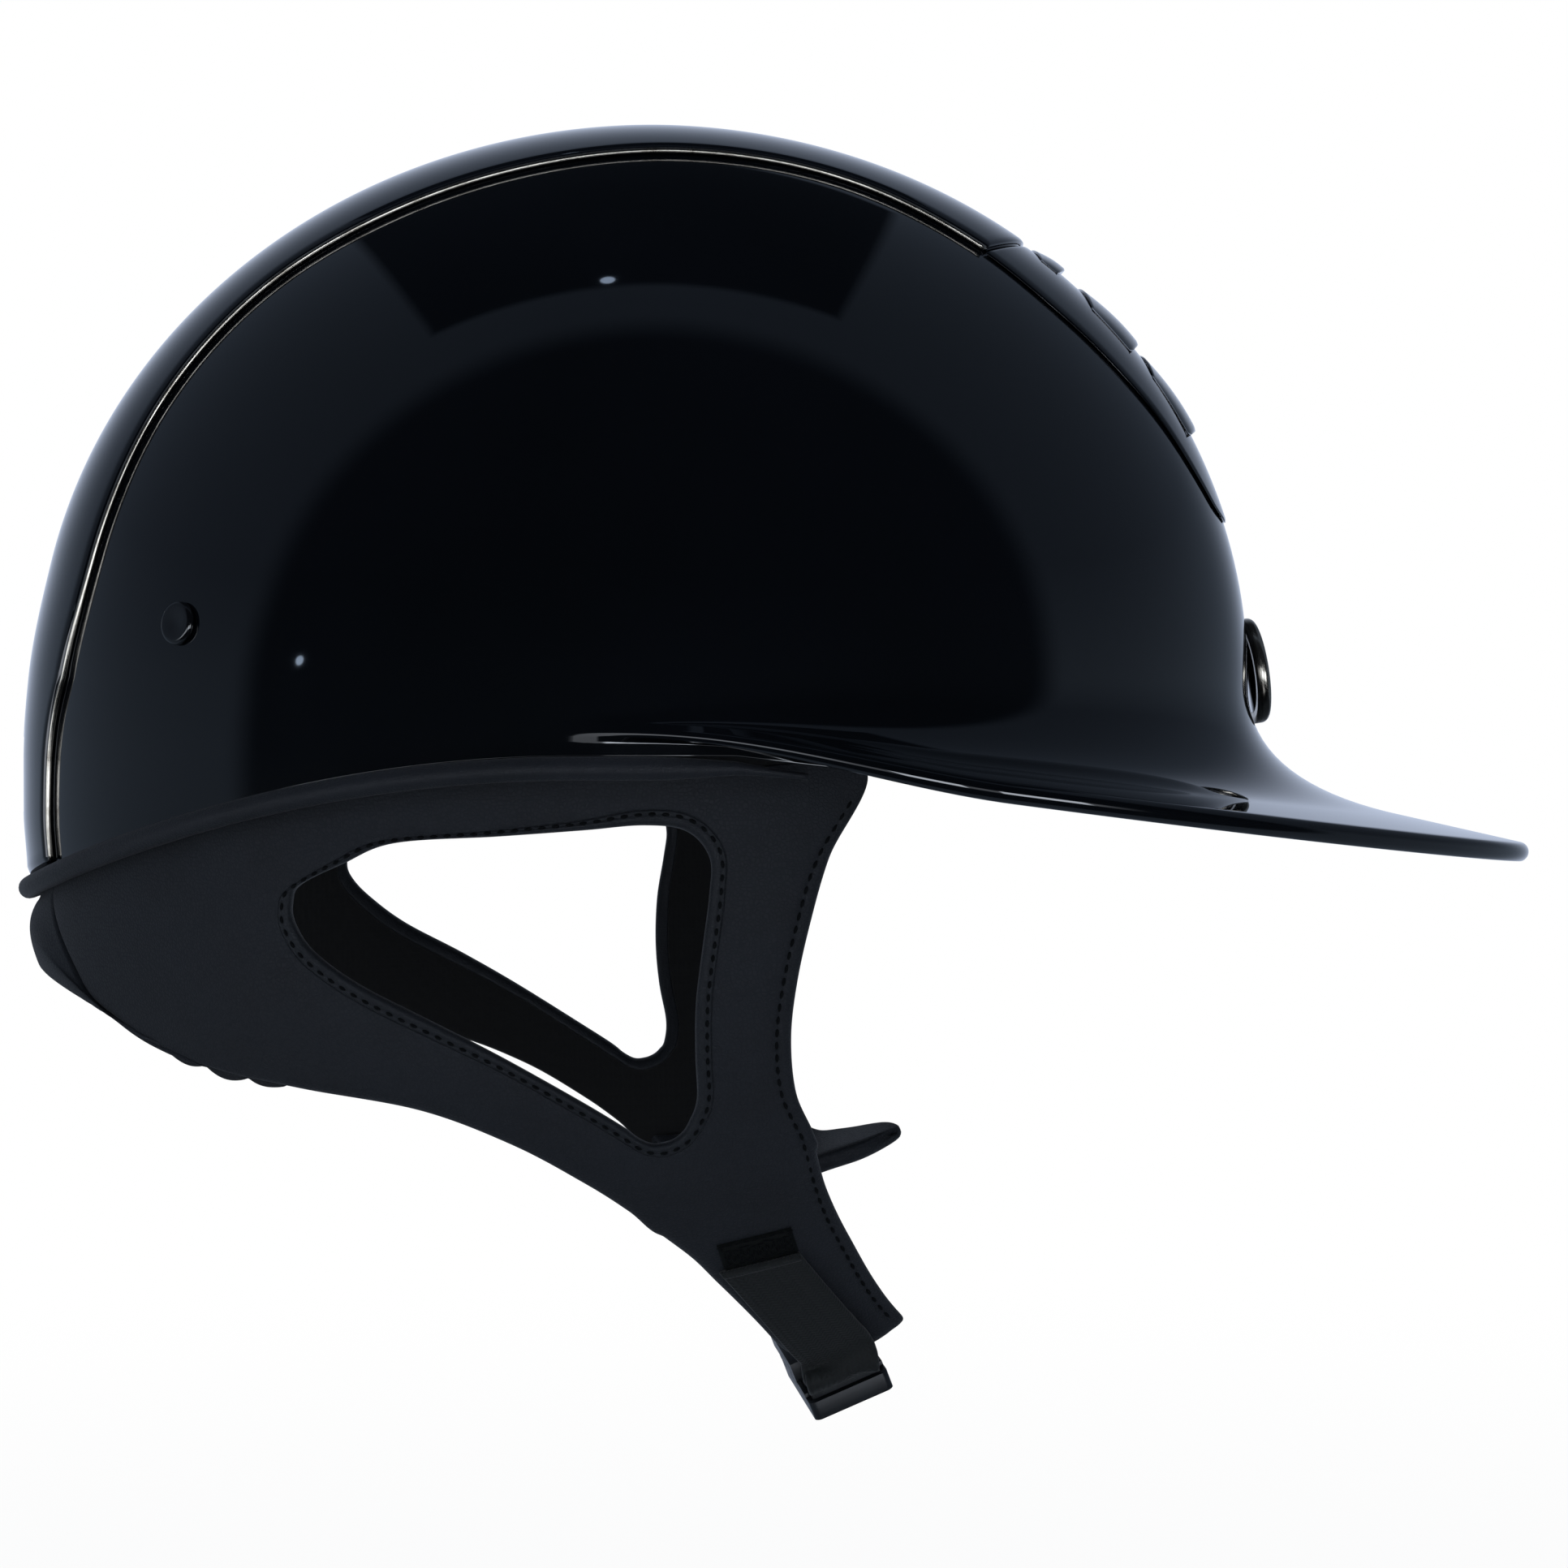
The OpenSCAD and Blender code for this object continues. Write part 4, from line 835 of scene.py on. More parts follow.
@dataclass(frozen=True)
class ShellForm:
    """Outer form of the shell, in the same values as the part's source."""

    front: float = 129.5
    rear: float = 130.0
    half_width: float = 104.0
    waist_z: float = 17.5
    height: float = 116.0
    power: float = 1.92
    lean: float = 1.7
    rear_tuck: float = 2.3
    rear_swell: float = 0.8
    swell_low: float = -24.0
    swell_full: float = -10.0
    swell_top: float = 42.0
    wall: float = 2.6
    rim_curve: float = 0.00205
    rim_fall: float = 0.12
    level_rear: float = -15.0
    level_front: float = 14.0
    pipe_r: float = 2.25
    pipe_out: float = 1.4
    fit_gap: float = 0.4
    seat: float = 0.3

    def plan(self, bearing: Array, d: float | Array) -> Array:
        """Reach in plan on a bearing, moved outwards by d.

        Args:
            bearing: bearings in degrees.
            d: how far it is moved outwards.

        Returns:
            The reach.
        """
        c, s = cos_sin(bearing)
        a = np.where(c > 0, self.front, self.rear) + d
        b = self.half_width + d
        return ((np.abs(c) / a) ** self.power + (np.abs(s) / b) ** self.power) ** (-1 / self.power)

    def shift(self, up: Array, back: Array) -> Array:
        """Forward shift at an elevation, where back is how squarely the point faces backwards."""
        tuck = self.rear_tuck * back * np.sin(np.pi * (np.maximum(up, 90 / 2 ** 2.5) / 90) ** 0.4)
        return self.lean * np.sin(np.radians(up)) ** 2 + tuck

    def swell(self, z: Array, back: Array) -> Array:
        """Reach of the rear wall that takes the tuck back below the widest line."""
        lower = ease((z - self.swell_low) / (self.swell_full - self.swell_low))
        return back * (self.rear_tuck + self.rear_swell * lower) * (1 - ease(z / self.swell_top))

    def dome(self, bearing: Array, up: Array, d: float | Array) -> Array:
        """Point at a bearing and an elevation from the widest line.

        Args:
            bearing: bearings in degrees.
            up: elevations in degrees.
            d: how far it is moved outwards.

        Returns:
            Points, with x, y and z last.
        """
        bearing, up = np.broadcast_arrays(np.asarray(bearing, float), np.asarray(up, float))
        c, s = cos_sin(bearing)
        flat, rise = cos_sin(up)
        r, back = self.plan(bearing, d) * flat, np.minimum(0, c) ** 2
        z = self.waist_z + (self.height + d) * rise
        return np.stack([r * c + self.shift(up, back) - self.swell(z, back), r * s, z], axis=-1)

    def wall_at(self, bearing: Array, z: Array, d: float | Array) -> Array:
        """Point at a bearing and a height.

        Args:
            bearing: bearings in degrees.
            z: heights.
            d: how far it is moved outwards.

        Returns:
            Points, with x, y and z last.
        """
        bearing, z, d = np.broadcast_arrays(np.asarray(bearing, float), np.asarray(z, float),
                                            np.asarray(d, float))
        up = np.degrees(np.arcsin(np.clip((z - self.waist_z) / (self.height + d), 0, 1)))
        return self.lowered(self.dome(bearing, up, d), z)

    def lowered(self, p: Array, z: Array) -> Array:
        """Points moved down the wall to a height.

        Args:
            p: points on the wall.
            z: the heights that they move to.

        Returns:
            Points, with x, y and z last.
        """
        back = np.minimum(0, p[..., 0]) ** 2 / (p[..., 0] ** 2 + p[..., 1] ** 2 + 0.01)
        x = p[..., 0] + self.swell(p[..., 2], back) - self.swell(z, back)
        return np.stack(np.broadcast_arrays(x, p[..., 1], z), axis=-1)

    def over(self, over: Array, y: Array, d: float | Array) -> Array:
        """Point over the crown at side offset y; over runs from 0 at the brow to 180 at the back.

        Args:
            over: places over the crown in degrees.
            y: side offsets.
            d: how far it is moved outwards.

        Returns:
            Points, with x, y and z last.
        """
        over, y, d = np.broadcast_arrays(np.asarray(over, float), np.asarray(y, float), np.asarray(d, float))
        a = np.where(over < 90, self.front, self.rear) + d
        q = (np.abs(y) / (self.half_width + d)) ** self.power
        co = np.cos(np.radians(over))
        c = np.minimum(1, (q + (1 - q) * np.abs(co) ** self.power) ** (1 / self.power))
        x = a * (1 - q) ** (1 / self.power) * co
        back = np.minimum(0, x) ** 2 / (x * x + y * y + 0.01)
        z = self.waist_z + (self.height + d) * np.sqrt(np.maximum(0, 1 - c * c))
        return np.stack([x + self.shift(np.degrees(np.arccos(c)), back) - self.swell(z, back), y, z], axis=-1)

    def over_at_x(self, x: Array, y: Array) -> Array:
        """Bearing over the crown at which the surface at side offset y reaches x.

        Args:
            x: places forward.
            y: side offsets.

        Returns:
            Places over the crown in degrees.
        """
        x, y = np.broadcast_arrays(np.asarray(x, float), np.asarray(y, float))
        q = (np.abs(y) / self.half_width) ** self.power
        guess = np.arccos(x / self.front)
        lean = self.lean * np.sin(guess) ** 2 * (1 - q)
        return np.degrees(np.arccos(np.minimum(1, (x - lean) / (self.front * (1 - q) ** (1 / self.power)))))

    def pipe_z(self, x: Array) -> Array:
        """Height of the piping's middle, level between two places and lower before and behind them.

        Args:
            x: places along the helmet.

        Returns:
            The heights.
        """
        x = np.asarray(x, float)
        fore = np.where(x < self.level_front, 0.0, -self.rim_fall * (x - self.level_front))
        return np.where(x < self.level_rear, -self.rim_curve * (x - self.level_rear) ** 2, fore)

    def rim_z(self, x: Array) -> Array:
        """Height of the shell's edge."""
        return self.pipe_z(x) + math.sqrt((self.pipe_r + self.seat) ** 2 - self.pipe_out ** 2)

    def edge_z(self, bearing: Array, d: float = 0.0) -> Array:
        """Height of the shell's edge on a bearing."""
        return self.rim_z(self.plan(bearing, d) * cos_sin(bearing)[0])

    def leather_top_z(self, x: Array) -> Array:
        """Height at which the nape's leather meets the piping."""
        return self.pipe_z(x) - self.pipe_r - self.seat

    def tuck_z(self, x: Array) -> Array:
        """Height of the side panels' top edge, which is tucked in behind the piping and the brim."""
        return self.pipe_z(x) + self.pipe_r / 2 + 1.6 * ease((x - 5) / 20)


@dataclass(frozen=True)
class HarnessForm:
    """Surface and outlines of the harness, in the same values as the part's source."""

    shell: ShellForm = ShellForm()
    draw: float = 0.003
    thick: float = 4.4
    binding: float = 3.0
    joint: Pair = (2.5, -60.0)
    joint_r: float = 32.3
    nape_bottom: float = -44.0
    nape_pad: float = 2.4
    front: Rows = (
        (5, -12, 12, 0), (9.4, -17, 39, 0), (9.4, -24, 32.4, -17), (8.2, -34, 29, -29), (7, -45, 26.5, -41),
        (7, -55, 25.5, -52), (7.4, -64, 26.7, -63), (5.7, -69, 30.2, -71))
    arc: tuple[Point, ...] = (
        (4.5, -70.8, -28), (3, -72, -44), (1, -72.7, -60), (-1.4, -72.8, -76), (-4, -71.5, -92.5))
    lower: Rows = ((-7, -69.2, -5.5, -87), (-15.6, -63.8, -14, -81.2), (-30, -55.5, -28, -73.3),
                   (-43, -48.8, -46, -66.5))
    rear: Rows = ((-57, -41.8, -69, -62.9), (-66, -35.5, -84, -60.3), (-69.8, -30, -97.5, -56.5),
                  (-70.2, -26, -106.7, -51.5), (-68.5, -22.7, -116.3, -43.8), (-60, -18.5, -122.3, -23))
    top: Rows = (
        (-50, -14.4, -90, 0), (-30, -13, -61.4, 0), (-14, -11.8, -34, 0), (-3, -10.9, -8, 0))
    left_inset: tuple[Pair, ...] = ((0, 1), (1, 3.2), (3, 4), (5, 2.4), (7, 0), (14, 0), (16, 1.4), (18, 2.4),
                                    (20, 0.6), (21, 0), (26, 0))
    seam: tuple[int, int] = (1, 5)
    tail: Rows = ((31.6, -75.6, 1.0, -92.9), (33.2, -82, 7, -97.6), (35.8, -88.4, 11.9, -102.6),
                  (39.2, -95, 16.6, -107.5), (43, -101.8, 20.6, -112), (47, -107.8, 24.3, -116.4),
                  (51, -112.6, 27.2, -119.2))
    left_tail: Rows = (
        (35.2, 74, -84.4, 14, 58, -101), (41.2, 64, -89.4, 27, 44, -99.4), (47.6, 57.6, -88.8, 39, 37, -93.4),
        (54.4, 52, -87, 48.6, 34.4, -89.8), (58.8, 48.6, -85.4, 56, 39, -87.2))

    @property
    def reach(self) -> float:
        """Half length of the harness's surface."""
        return self.shell.rear - 1

    def width(self, z: Array) -> Array:
        """Half width of the harness at a height."""
        return self.shell.half_width - 5 - self.draw * np.asarray(z, float) ** 2

    def skin(self, x: Array, z: Array, d: Array | float, side: Side = Side.RIGHT) -> Array:
        """Point on the harness at x and z, moved outwards by d.

        Args:
            x: places forward.
            z: heights.
            d: how far it is moved outwards.
            side: the wearer's side.

        Returns:
            Points, with x, y and z last.
        """
        x, z, d = np.broadcast_arrays(np.asarray(x, float), np.asarray(z, float), np.asarray(d, float))
        keep = d * (1 - ease((np.abs(x) - 60) / 40))
        c = np.clip(x / (self.reach + keep), -1.0, 1.0)
        return np.stack([(self.reach + d) * c, side.value * (self.width(z) + d) * np.sqrt(1 - c * c), z],
                        axis=-1)

    def spokes(self, steps: int, side: Side) -> tuple[Array, Array]:
        """Matched points of the ear opening and the panel's outer edge.

        Args:
            steps: points from each given spoke to the next.
            side: the wearer's side; the left opening is a little smaller.

        Returns:
            Inner points and outer points, as x and z.
        """
        jx, jz = self.joint
        turn = [math.radians(t) for _, _, t in self.arc]
        joined = [(a, b, jx + self.joint_r * math.cos(t), jz + self.joint_r * math.sin(t))
                  for (a, b, _), t in zip(self.arc, turn)]
        given = np.array([*self.front, *joined, *self.lower, *self.rear, *self.top], float)
        if side is Side.LEFT:
            inset = lookup(np.arange(len(given)), self.left_inset)[:, None]
            given[:, :2] -= unit(given[:, 2:] - given[:, :2]) * inset
        fine = spline(given, steps, closed=True)
        inner, outer = fine[:, :2].copy(), fine[:, 2:].copy()
        v = outer - np.array(self.joint)
        r, angle = np.hypot(v[:, 0], v[:, 1]), np.degrees(np.arctan2(v[:, 1], v[:, 0]))
        held = (angle < -18) & (angle > -104) & (r > self.joint_r)
        outer[held] = np.array(self.joint) + v[held] * (self.joint_r / r[held])[:, None]
        outer[:, 1] = np.minimum(outer[:, 1], self.shell.tuck_z(outer[:, 0]))
        return inner, outer

    def joint_span(self, steps: int) -> tuple[int, int]:
        """First and last index of the joint with the tail."""
        first = len(self.front) * steps
        return first, first + (len(self.arc) - 1) * steps

    def seam_line(self, steps: int) -> Array:
        """Nape panel's edge along the seam, from the top down, as x and z.

        Args:
            steps: points from each given spoke to the next.

        Returns:
            Points of the seam.
        """
        _, outer = self.spokes(steps, Side.RIGHT)
        start = len(self.front) + len(self.arc) + len(self.lower)
        low, high = ((start + i) * steps for i in self.seam)
        line = outer[low:high + 1][::-1]
        c = line[:, 0] / self.reach
        stretch = np.sqrt(1 + (self.width(-40.0) * c / self.reach) ** 2 / (1 - c * c))
        t = np.gradient(line, axis=0)
        away = unit(np.stack([t[:, 1], -t[:, 0] * stretch], axis=-1)) * 1.2 * self.shell.seat
        moved = line + np.stack([away[:, 0] / stretch, away[:, 1]], axis=-1)
        moved[:, 1] = np.minimum(moved[:, 1], self.shell.leather_top_z(moved[:, 0]))
        return moved


# Pieces that repeat along a path


class StitchTree:
    """Geometry Nodes tree that lays stitches along a line of points."""

    def __init__(self) -> None:
        """Builds the tree once."""
        tree = bpy.data.node_groups.new("stitches_along_a_seam", "GeometryNodeTree")
        tree.interface.new_socket("Geometry", in_out="INPUT", socket_type="NodeSocketGeometry")
        for name, value in (("Pitch", 0.0027), ("Length", 0.0019), ("Thickness", 0.0003)):
            socket = tree.interface.new_socket(name, in_out="INPUT", socket_type="NodeSocketFloat")
            socket.default_value = value
        tree.interface.new_socket("Thread", in_out="INPUT", socket_type="NodeSocketMaterial")
        tree.interface.new_socket("Geometry", in_out="OUTPUT", socket_type="NodeSocketGeometry")
        put = emptied(tree, "")
        source = put("NodeGroupInput").node.outputs
        curve = put("GeometryNodeMeshToCurve", {0: source["Geometry"]})
        points = put("GeometryNodeResampleCurve", {"Curve": curve, "Length": source["Pitch"]}, mode="LENGTH")
        tangent = put("GeometryNodeInputTangent")
        normal = put("GeometryNodeInputNormal")
        turn = put("FunctionNodeAxesToRotation", {0: tangent, 1: normal}, primary_axis="Z",
                   secondary_axis="X")
        body = put("GeometryNodeMeshCylinder", {"Vertices": 8, "Side Segments": 4, "Fill Segments": 1,
                                                "Radius": source["Thickness"], "Depth": source["Length"]},
                   fill_type="NGON", out="Mesh")
        place = put("GeometryNodeInputPosition")
        height = put("ShaderNodeSeparateXYZ", {0: place}, out=2)
        part = put("ShaderNodeMath", {0: height, 1: source["Length"]}, operation="DIVIDE")
        square = put("ShaderNodeMath", {0: part, 1: part}, operation="MULTIPLY")
        thin = put("ShaderNodeMath", {0: square, 1: -2.4, 2: 1.0}, operation="MULTIPLY_ADD")
        squeeze = put("ShaderNodeCombineXYZ", {0: thin, 1: thin, 2: 1.0})
        slim = put("ShaderNodeVectorMath", {0: place, 1: squeeze}, operation="MULTIPLY")
        shaped = put("GeometryNodeSetPosition", {"Geometry": body, "Position": slim})
        laid = put("GeometryNodeInstanceOnPoints", {"Points": points, "Instance": shaped, "Rotation": turn})
        real = put("GeometryNodeRealizeInstances", {0: laid})
        smooth = put("GeometryNodeSetShadeSmooth", {0: real})
        painted = put("GeometryNodeSetMaterial", {"Geometry": smooth, "Material": source["Thread"]})
        put("NodeGroupOutput", {0: painted})
        self.tree = tree

    def sew(self, name: str, paths: Sequence[Array], pitch: float, length: float, thickness: float,
            thread: Finish) -> Piece:
        """Lays stitches along paths.

        Args:
            name: the piece's name.
            paths: lines of points in millimetres.
            pitch: distance from stitch to stitch in millimetres.
            length: length of a stitch in millimetres.
            thickness: radius of the thread in millimetres.
            thread: the thread's finish.

        Returns:
            One plain mesh with all the stitches.
        """
        mesh = bpy.data.meshes.new(name)
        points, edges = [], []
        for path in paths:
            start = len(points)
            points += (np.asarray(path) * MM).tolist()
            edges += [(start + i, start + i + 1) for i in range(len(path) - 1)]
        mesh.from_pydata(points, edges, [])
        obj = linked(name, mesh)
        mod = obj.modifiers.new("stitches", "NODES")
        mod.node_group = self.tree
        values = {"Pitch": pitch * MM, "Length": length * MM, "Thickness": thickness * MM,
                  "Thread": thread.material()}
        for item in self.tree.interface.items_tree:
            if item.in_out == "INPUT" and item.name in values:
                mod[item.identifier] = values[item.name]
        bake(obj)
        return obj


# Sub-assemblies


@dataclass
class OuterShell:
    """Gloss shell with its brim."""

    form: ShellForm = ShellForm()
    steps: int = 320
    brim_centre: float = 30.0
    brim_half_length: float = 160.0
    brim_half_width: float = 116.0
    brim_edge: float = 4.2
    brim_level: float = 2.6
    brim_fall: float = 0.148
    brim_slope: float = 0.21
    fillet_rise: float = 21.0
    fillet_run: float = 34.0
    full_at: float = 60.0
    gone_at: float = 100.0
    nose_angle: float = 70.0
    stations: tuple[int, ...] = (0, 4, 7, 10, 13)
    station_steps: tuple[int, ...] = (20, 12, 16, 14)
    wall_shares: tuple[float, ...] = (0.12, 0.25, 0.4, 0.55, 0.7, 0.82, 0.92)
    rim: tuple[Pair, ...] = (
        (0.0, 0.3), (0.0, 0.2), (-0.06, 0.06), (-0.2, 0.0), (-1.8, 0.0), (-2.35, 0.22), (-2.6, 0.7))
    plain_top: float = 10.0
    plain_low: float = 4.9

    def brim_reach(self, bearing: Array) -> Array:
        """Reach of the brim's outline on a bearing.

        Args:
            bearing: bearings in degrees.

        Returns:
            The reach.
        """
        l2, w2 = self.brim_half_length ** 2, self.brim_half_width ** 2
        c, s = cos_sin(bearing)
        a = c ** 2 / l2 + s ** 2 / w2
        b = self.brim_centre * c / l2
        k = self.brim_centre ** 2 / l2 - 1
        return (b + np.sqrt(b * b - a * k)) / a

    def profile(self, bearing: Array, s: float) -> tuple[Array, Array]:
        """Offset and height of the brim's profile.

        Args:
            bearing: bearings in degrees.
            s: place on the profile, 0 at the top of the hollow and 13 under the root.

        Returns:
            Distance from the shell's wall, and height.
        """
        reach = self.brim_reach(bearing)
        e = np.maximum(1, reach - self.form.plan(bearing, 0))
        x = reach * np.cos(np.radians(bearing))
        low = self.brim_level - self.brim_fall * x + 0.0001 * x * x
        root = low + self.brim_edge + self.brim_slope * e
        front = self.brim_reach(np.float64(0)) - self.form.plan(np.float64(0), 0)
        rise = self.fillet_rise * (e / front) ** 0.4
        run = np.minimum(self.fillet_run, 0.56 * e)
        sloped = root - self.brim_slope * run
        r = self.brim_edge / 2

        def nose(angle: float) -> tuple[Array, Array]:
            """Offset and height on the brim's rounded edge at an angle in degrees."""
            a = math.radians(angle)
            return e - r + r * math.cos(a), low + r + r * math.sin(a)

        _, hollow, top, edge, under = self.stations
        if s <= hollow:
            t = s / hollow
            level = (1 - t) ** 2 * (root + rise) + 2 * t * (1 - t) * root + t * t * sloped
            return run * t * t, level
        if s <= top:
            (end_o, end_z), t = nose(self.nose_angle), (s - hollow) / (top - hollow)
            return mix(run, end_o, t), mix(sloped, end_z, t)
        if s <= edge:
            return nose(mix(self.nose_angle, -self.nose_angle, (s - top) / (edge - top)))
        (end_o, end_z), t = nose(-self.nose_angle), (s - edge) / (under - edge)
        return mix(end_o, 0, t), mix(end_z, root - self.brim_edge, t)

    def build(self) -> None:
        """Builds the shell as one closed skin."""
        f = self.form
        bearing = np.arange(self.steps) / self.steps * 360 - 180
        across, aside = cos_sin(bearing)
        back = np.minimum(0, across) ** 2
        share = 1 - ease((np.abs(bearing) - self.full_at) / (self.gone_at - self.full_at))
        ups = np.concatenate([[88.5], np.linspace(86.5, 0, 64)])
        rings = [f.dome(bearing, u, 0) for u in ups]
        spans = zip(self.stations, self.stations[1:], self.station_steps)
        for s in np.unique(np.concatenate([np.linspace(a, b, n) for a, b, n in spans])):
            o, z = self.profile(bearing, float(s))
            o = mix(0, o, share)
            z = mix(mix(self.plain_top, self.plain_low, s / self.stations[-1]), z, share)
            r = f.plan(bearing, 0) + o
            rings.append(np.stack([r * across + f.shift(0.0, back) - f.swell(z, back), r * aside, z],
                                  axis=-1))
        edge = f.edge_z(bearing)
        last_z = rings[-1][:, 2]
        rings += [f.wall_at(bearing, mix(last_z, edge + 0.3, t), 0) for t in self.wall_shares]
        for d, lift in self.rim:
            rings.append(f.wall_at(bearing, edge + lift, d))
        for u in np.concatenate([np.linspace(0, 80, 24), [86.5]]):
            rings.append(f.dome(bearing, u, -f.wall))
        obj = rings_skin("shell_and_brim", np.array(rings), f.dome(0, 90, 0), f.dome(0, 90, -f.wall))
        place_piece(obj, Finishes.shell, Body.SHELL, "shell_gloss", "outer_shell")


@dataclass
class ShellTrim:
    """Centre panel, chrome beads, vent panel with louvres, rear grille, badge and plugs."""

    form: ShellForm = ShellForm()
    rise: float = 1.5
    front_rise: float = 1.6
    panel_front: float = 80.0
    panel_sweep: float = 14.0
    widths: tuple[Pair, ...] = ((50, 42), (62, 41.5), (76, 40), (90, 41.5), (105, 43), (120, 42.5),
                                (134, 40.5), (148, 41), (162, 42.6), (172, 42.2), (180, 40))
    strip_half: float = 42.0
    strip_length: float = 240.0
    foot_half: float = 34.3
    chrome_r: float = 0.6
    vent_rise: float = 1.1
    vent_end_z: float = 51.0
    shield_half: float = 40.0
    shield_length: float = 88.0
    vent_widths: tuple[Pair, ...] = (
        (0, 43), (0.2, 44), (0.35, 43), (0.5, 41), (0.65, 37.6), (0.8, 33.8), (0.9, 30), (0.96, 26), (1, 18))
    louvres: tuple[Point, ...] = ((81.5, 88, 0.84), (91.5, 103.4, 1), (104.8, 115.8, 0.88))
    louvre_half: float = 28.0
    louvre_lip: float = 1.1
    bay_z: float = -3.0
    bay_h: float = 16.0
    bay_half: float = 17.0
    slot_pitch: float = 4.2
    slot_half: float = 1.1
    badge_d: float = 23.0
    badge_ring_w: float = 2.4
    badge_h: float = 3.0
    badge_z: float = 19.0
    badge_tilt: float = -8.8
    plug_at: float = 143.2
    plug_z: float = 27.6
    plug_d: float = 8.6

    def half_width(self, over: Array) -> Array:
        """Half width of the centre panel, smoothed between its given values."""
        curve = spline(self.widths, 12)
        return np.interp(over, curve[:, 0], curve[:, 1])

    def start(self, y: Array) -> Array:
        """Bearing over the crown of the panel's front end."""
        return self.form.over_at_x(self.panel_front - self.panel_sweep * (np.asarray(y) / 45) ** 2, y)

    def panel_point(self, v: Array, s: Array, extra: float, d: Array) -> Array:
        """Point of the centre panel at share v over the crown and share s across."""
        y = s * (self.half_width(mix(60, 180, v)) + extra)
        return self.form.over(mix(self.start(y), 180, v), y, d)

    def foot_point(self, v: Array, s: Array, extra: float, d: Array) -> Array:
        """Point of the panel's foot, below the shell's widest line."""
        y = s * (mix(self.foot_half, self.half_width(180), (1 - v) ** 3) + extra)
        return self.form.lowered(self.form.over(180.0, y, d), mix(self.form.waist_z, self.foot_low(y), v))

    def foot_low(self, y: Array) -> Array:
        """Height of the foot's lower end, just above the piping."""
        f = self.form
        return f.pipe_z(f.over(180.0, y, 0)[..., 0]) + f.pipe_r + f.seat

    def crown_panel(self) -> None:
        """Raised gloss strip with a rounded edge and the bay of the rear vent."""
        w_bay = self.bay_half / 43.0
        near = np.array([0, 0.12, 0.3, 0.6, 1.0, 1.5]) / self.strip_half
        inner = np.linspace(w_bay, 1 - 2.4 / self.strip_half, 14)
        half = np.concatenate([np.linspace(0, w_bay, 10)[1:-1], inner, 1 - near[::-1]])
        s = np.concatenate([-half[::-1], [0], half])[None]
        v = np.concatenate([[0, 0.0008, 0.0024, 0.005, 0.01], np.linspace(0.017, 1, 150)[:-1]])[:, None]
        base = self.form.fit_gap * 0.6
        lift = base + mix(self.front_rise, self.rise, ease(v / 0.35))
        side = round_off((1 - np.abs(s)) * self.strip_half, 1.3, 0.95)
        front = round_off(v * self.strip_length, 1.3, 0.6)
        top = self.panel_point(v, s, 0, np.maximum(lift - np.maximum(side, front), self.form.fit_gap + 0.08))
        low = self.panel_point(v, s, 0, self.form.fit_gap + 0 * lift)
        z_top, z_low = self.bay_z + self.bay_h / 2, self.bay_z - self.bay_h / 2
        rim = float(self.foot_low(np.float64(0)))
        span = self.form.waist_z - rim
        stops = [(self.form.waist_z - z_top) / span, (self.form.waist_z - z_low) / span]
        fv = np.concatenate([np.linspace(0, stops[0], 8), np.linspace(*stops, 9)[1:],
                             np.linspace(stops[1], 1, 9)[1:]])[:, None]
        foot_lift = base + self.rise - side - round_off((1 - fv) * span, 1.0, 0.6)
        ftop = self.foot_point(fv, s, 0, np.maximum(foot_lift, self.form.fit_gap + 0.08))
        flow = self.foot_point(fv, s, 0, self.form.fit_gap + 0 * foot_lift)
        top, low = np.concatenate([top, ftop]), np.concatenate([low, flow])
        ys = (s[0, 1:] + s[0, :-1]) / 2
        rows_mid = np.concatenate([np.full(len(v), -1.0), (fv[1:, 0] + fv[:-1, 0]) / 2])
        skip = (rows_mid[:, None] > stops[0]) & (rows_mid[:, None] < stops[1]) & (np.abs(ys)[None] < w_bay)
        obj = slab("crown_strip", top, low, skip=skip)
        place_piece(obj, Finishes.panel, Body.SHELL, "panel_gloss", "crown_panel")

    def chrome_beads(self) -> None:
        """Plated bead along each side of the centre panel."""
        out, d = self.chrome_r + 0.55, self.form.fit_gap + self.chrome_r
        ring = circle(12) * self.chrome_r
        for side in Side:
            v = np.linspace(0, 40 / 41, 160)
            path = self.panel_point(v, np.float64(side.value), out, d)
            foot = self.foot_point(np.linspace(0, 1, 24), np.float64(side.value), out, d)
            foot[-1, 2] += self.chrome_r
            path = np.concatenate([path, foot])
            sides = np.broadcast_to(np.array([0.0, 1.0, 0.0]), path.shape)
            name = side.name.lower()
            obj = swept(f"chrome_bead_{name}", frame_sections(path, sides, ring))
            place_piece(obj, Finishes.chrome, Body.SHELL, "chrome", f"chrome_trim_{name}")

    def vent_point(self, t: Array, s: Array, d: Array) -> Array:
        """Point of the vent panel at share t down and share s across.

        Args:
            t: shares down.
            s: shares across.
            d: how far it is moved outwards.

        Returns:
            Points, with x, y and z last.
        """
        curve = spline(self.vent_widths, 8)
        y = s * np.interp(t, curve[:, 0], curve[:, 1])
        end = math.degrees(math.asin((self.vent_end_z - self.form.waist_z) / self.form.height))
        return self.form.over(mix(self.start(y) - 0.35, end, t), y, d)

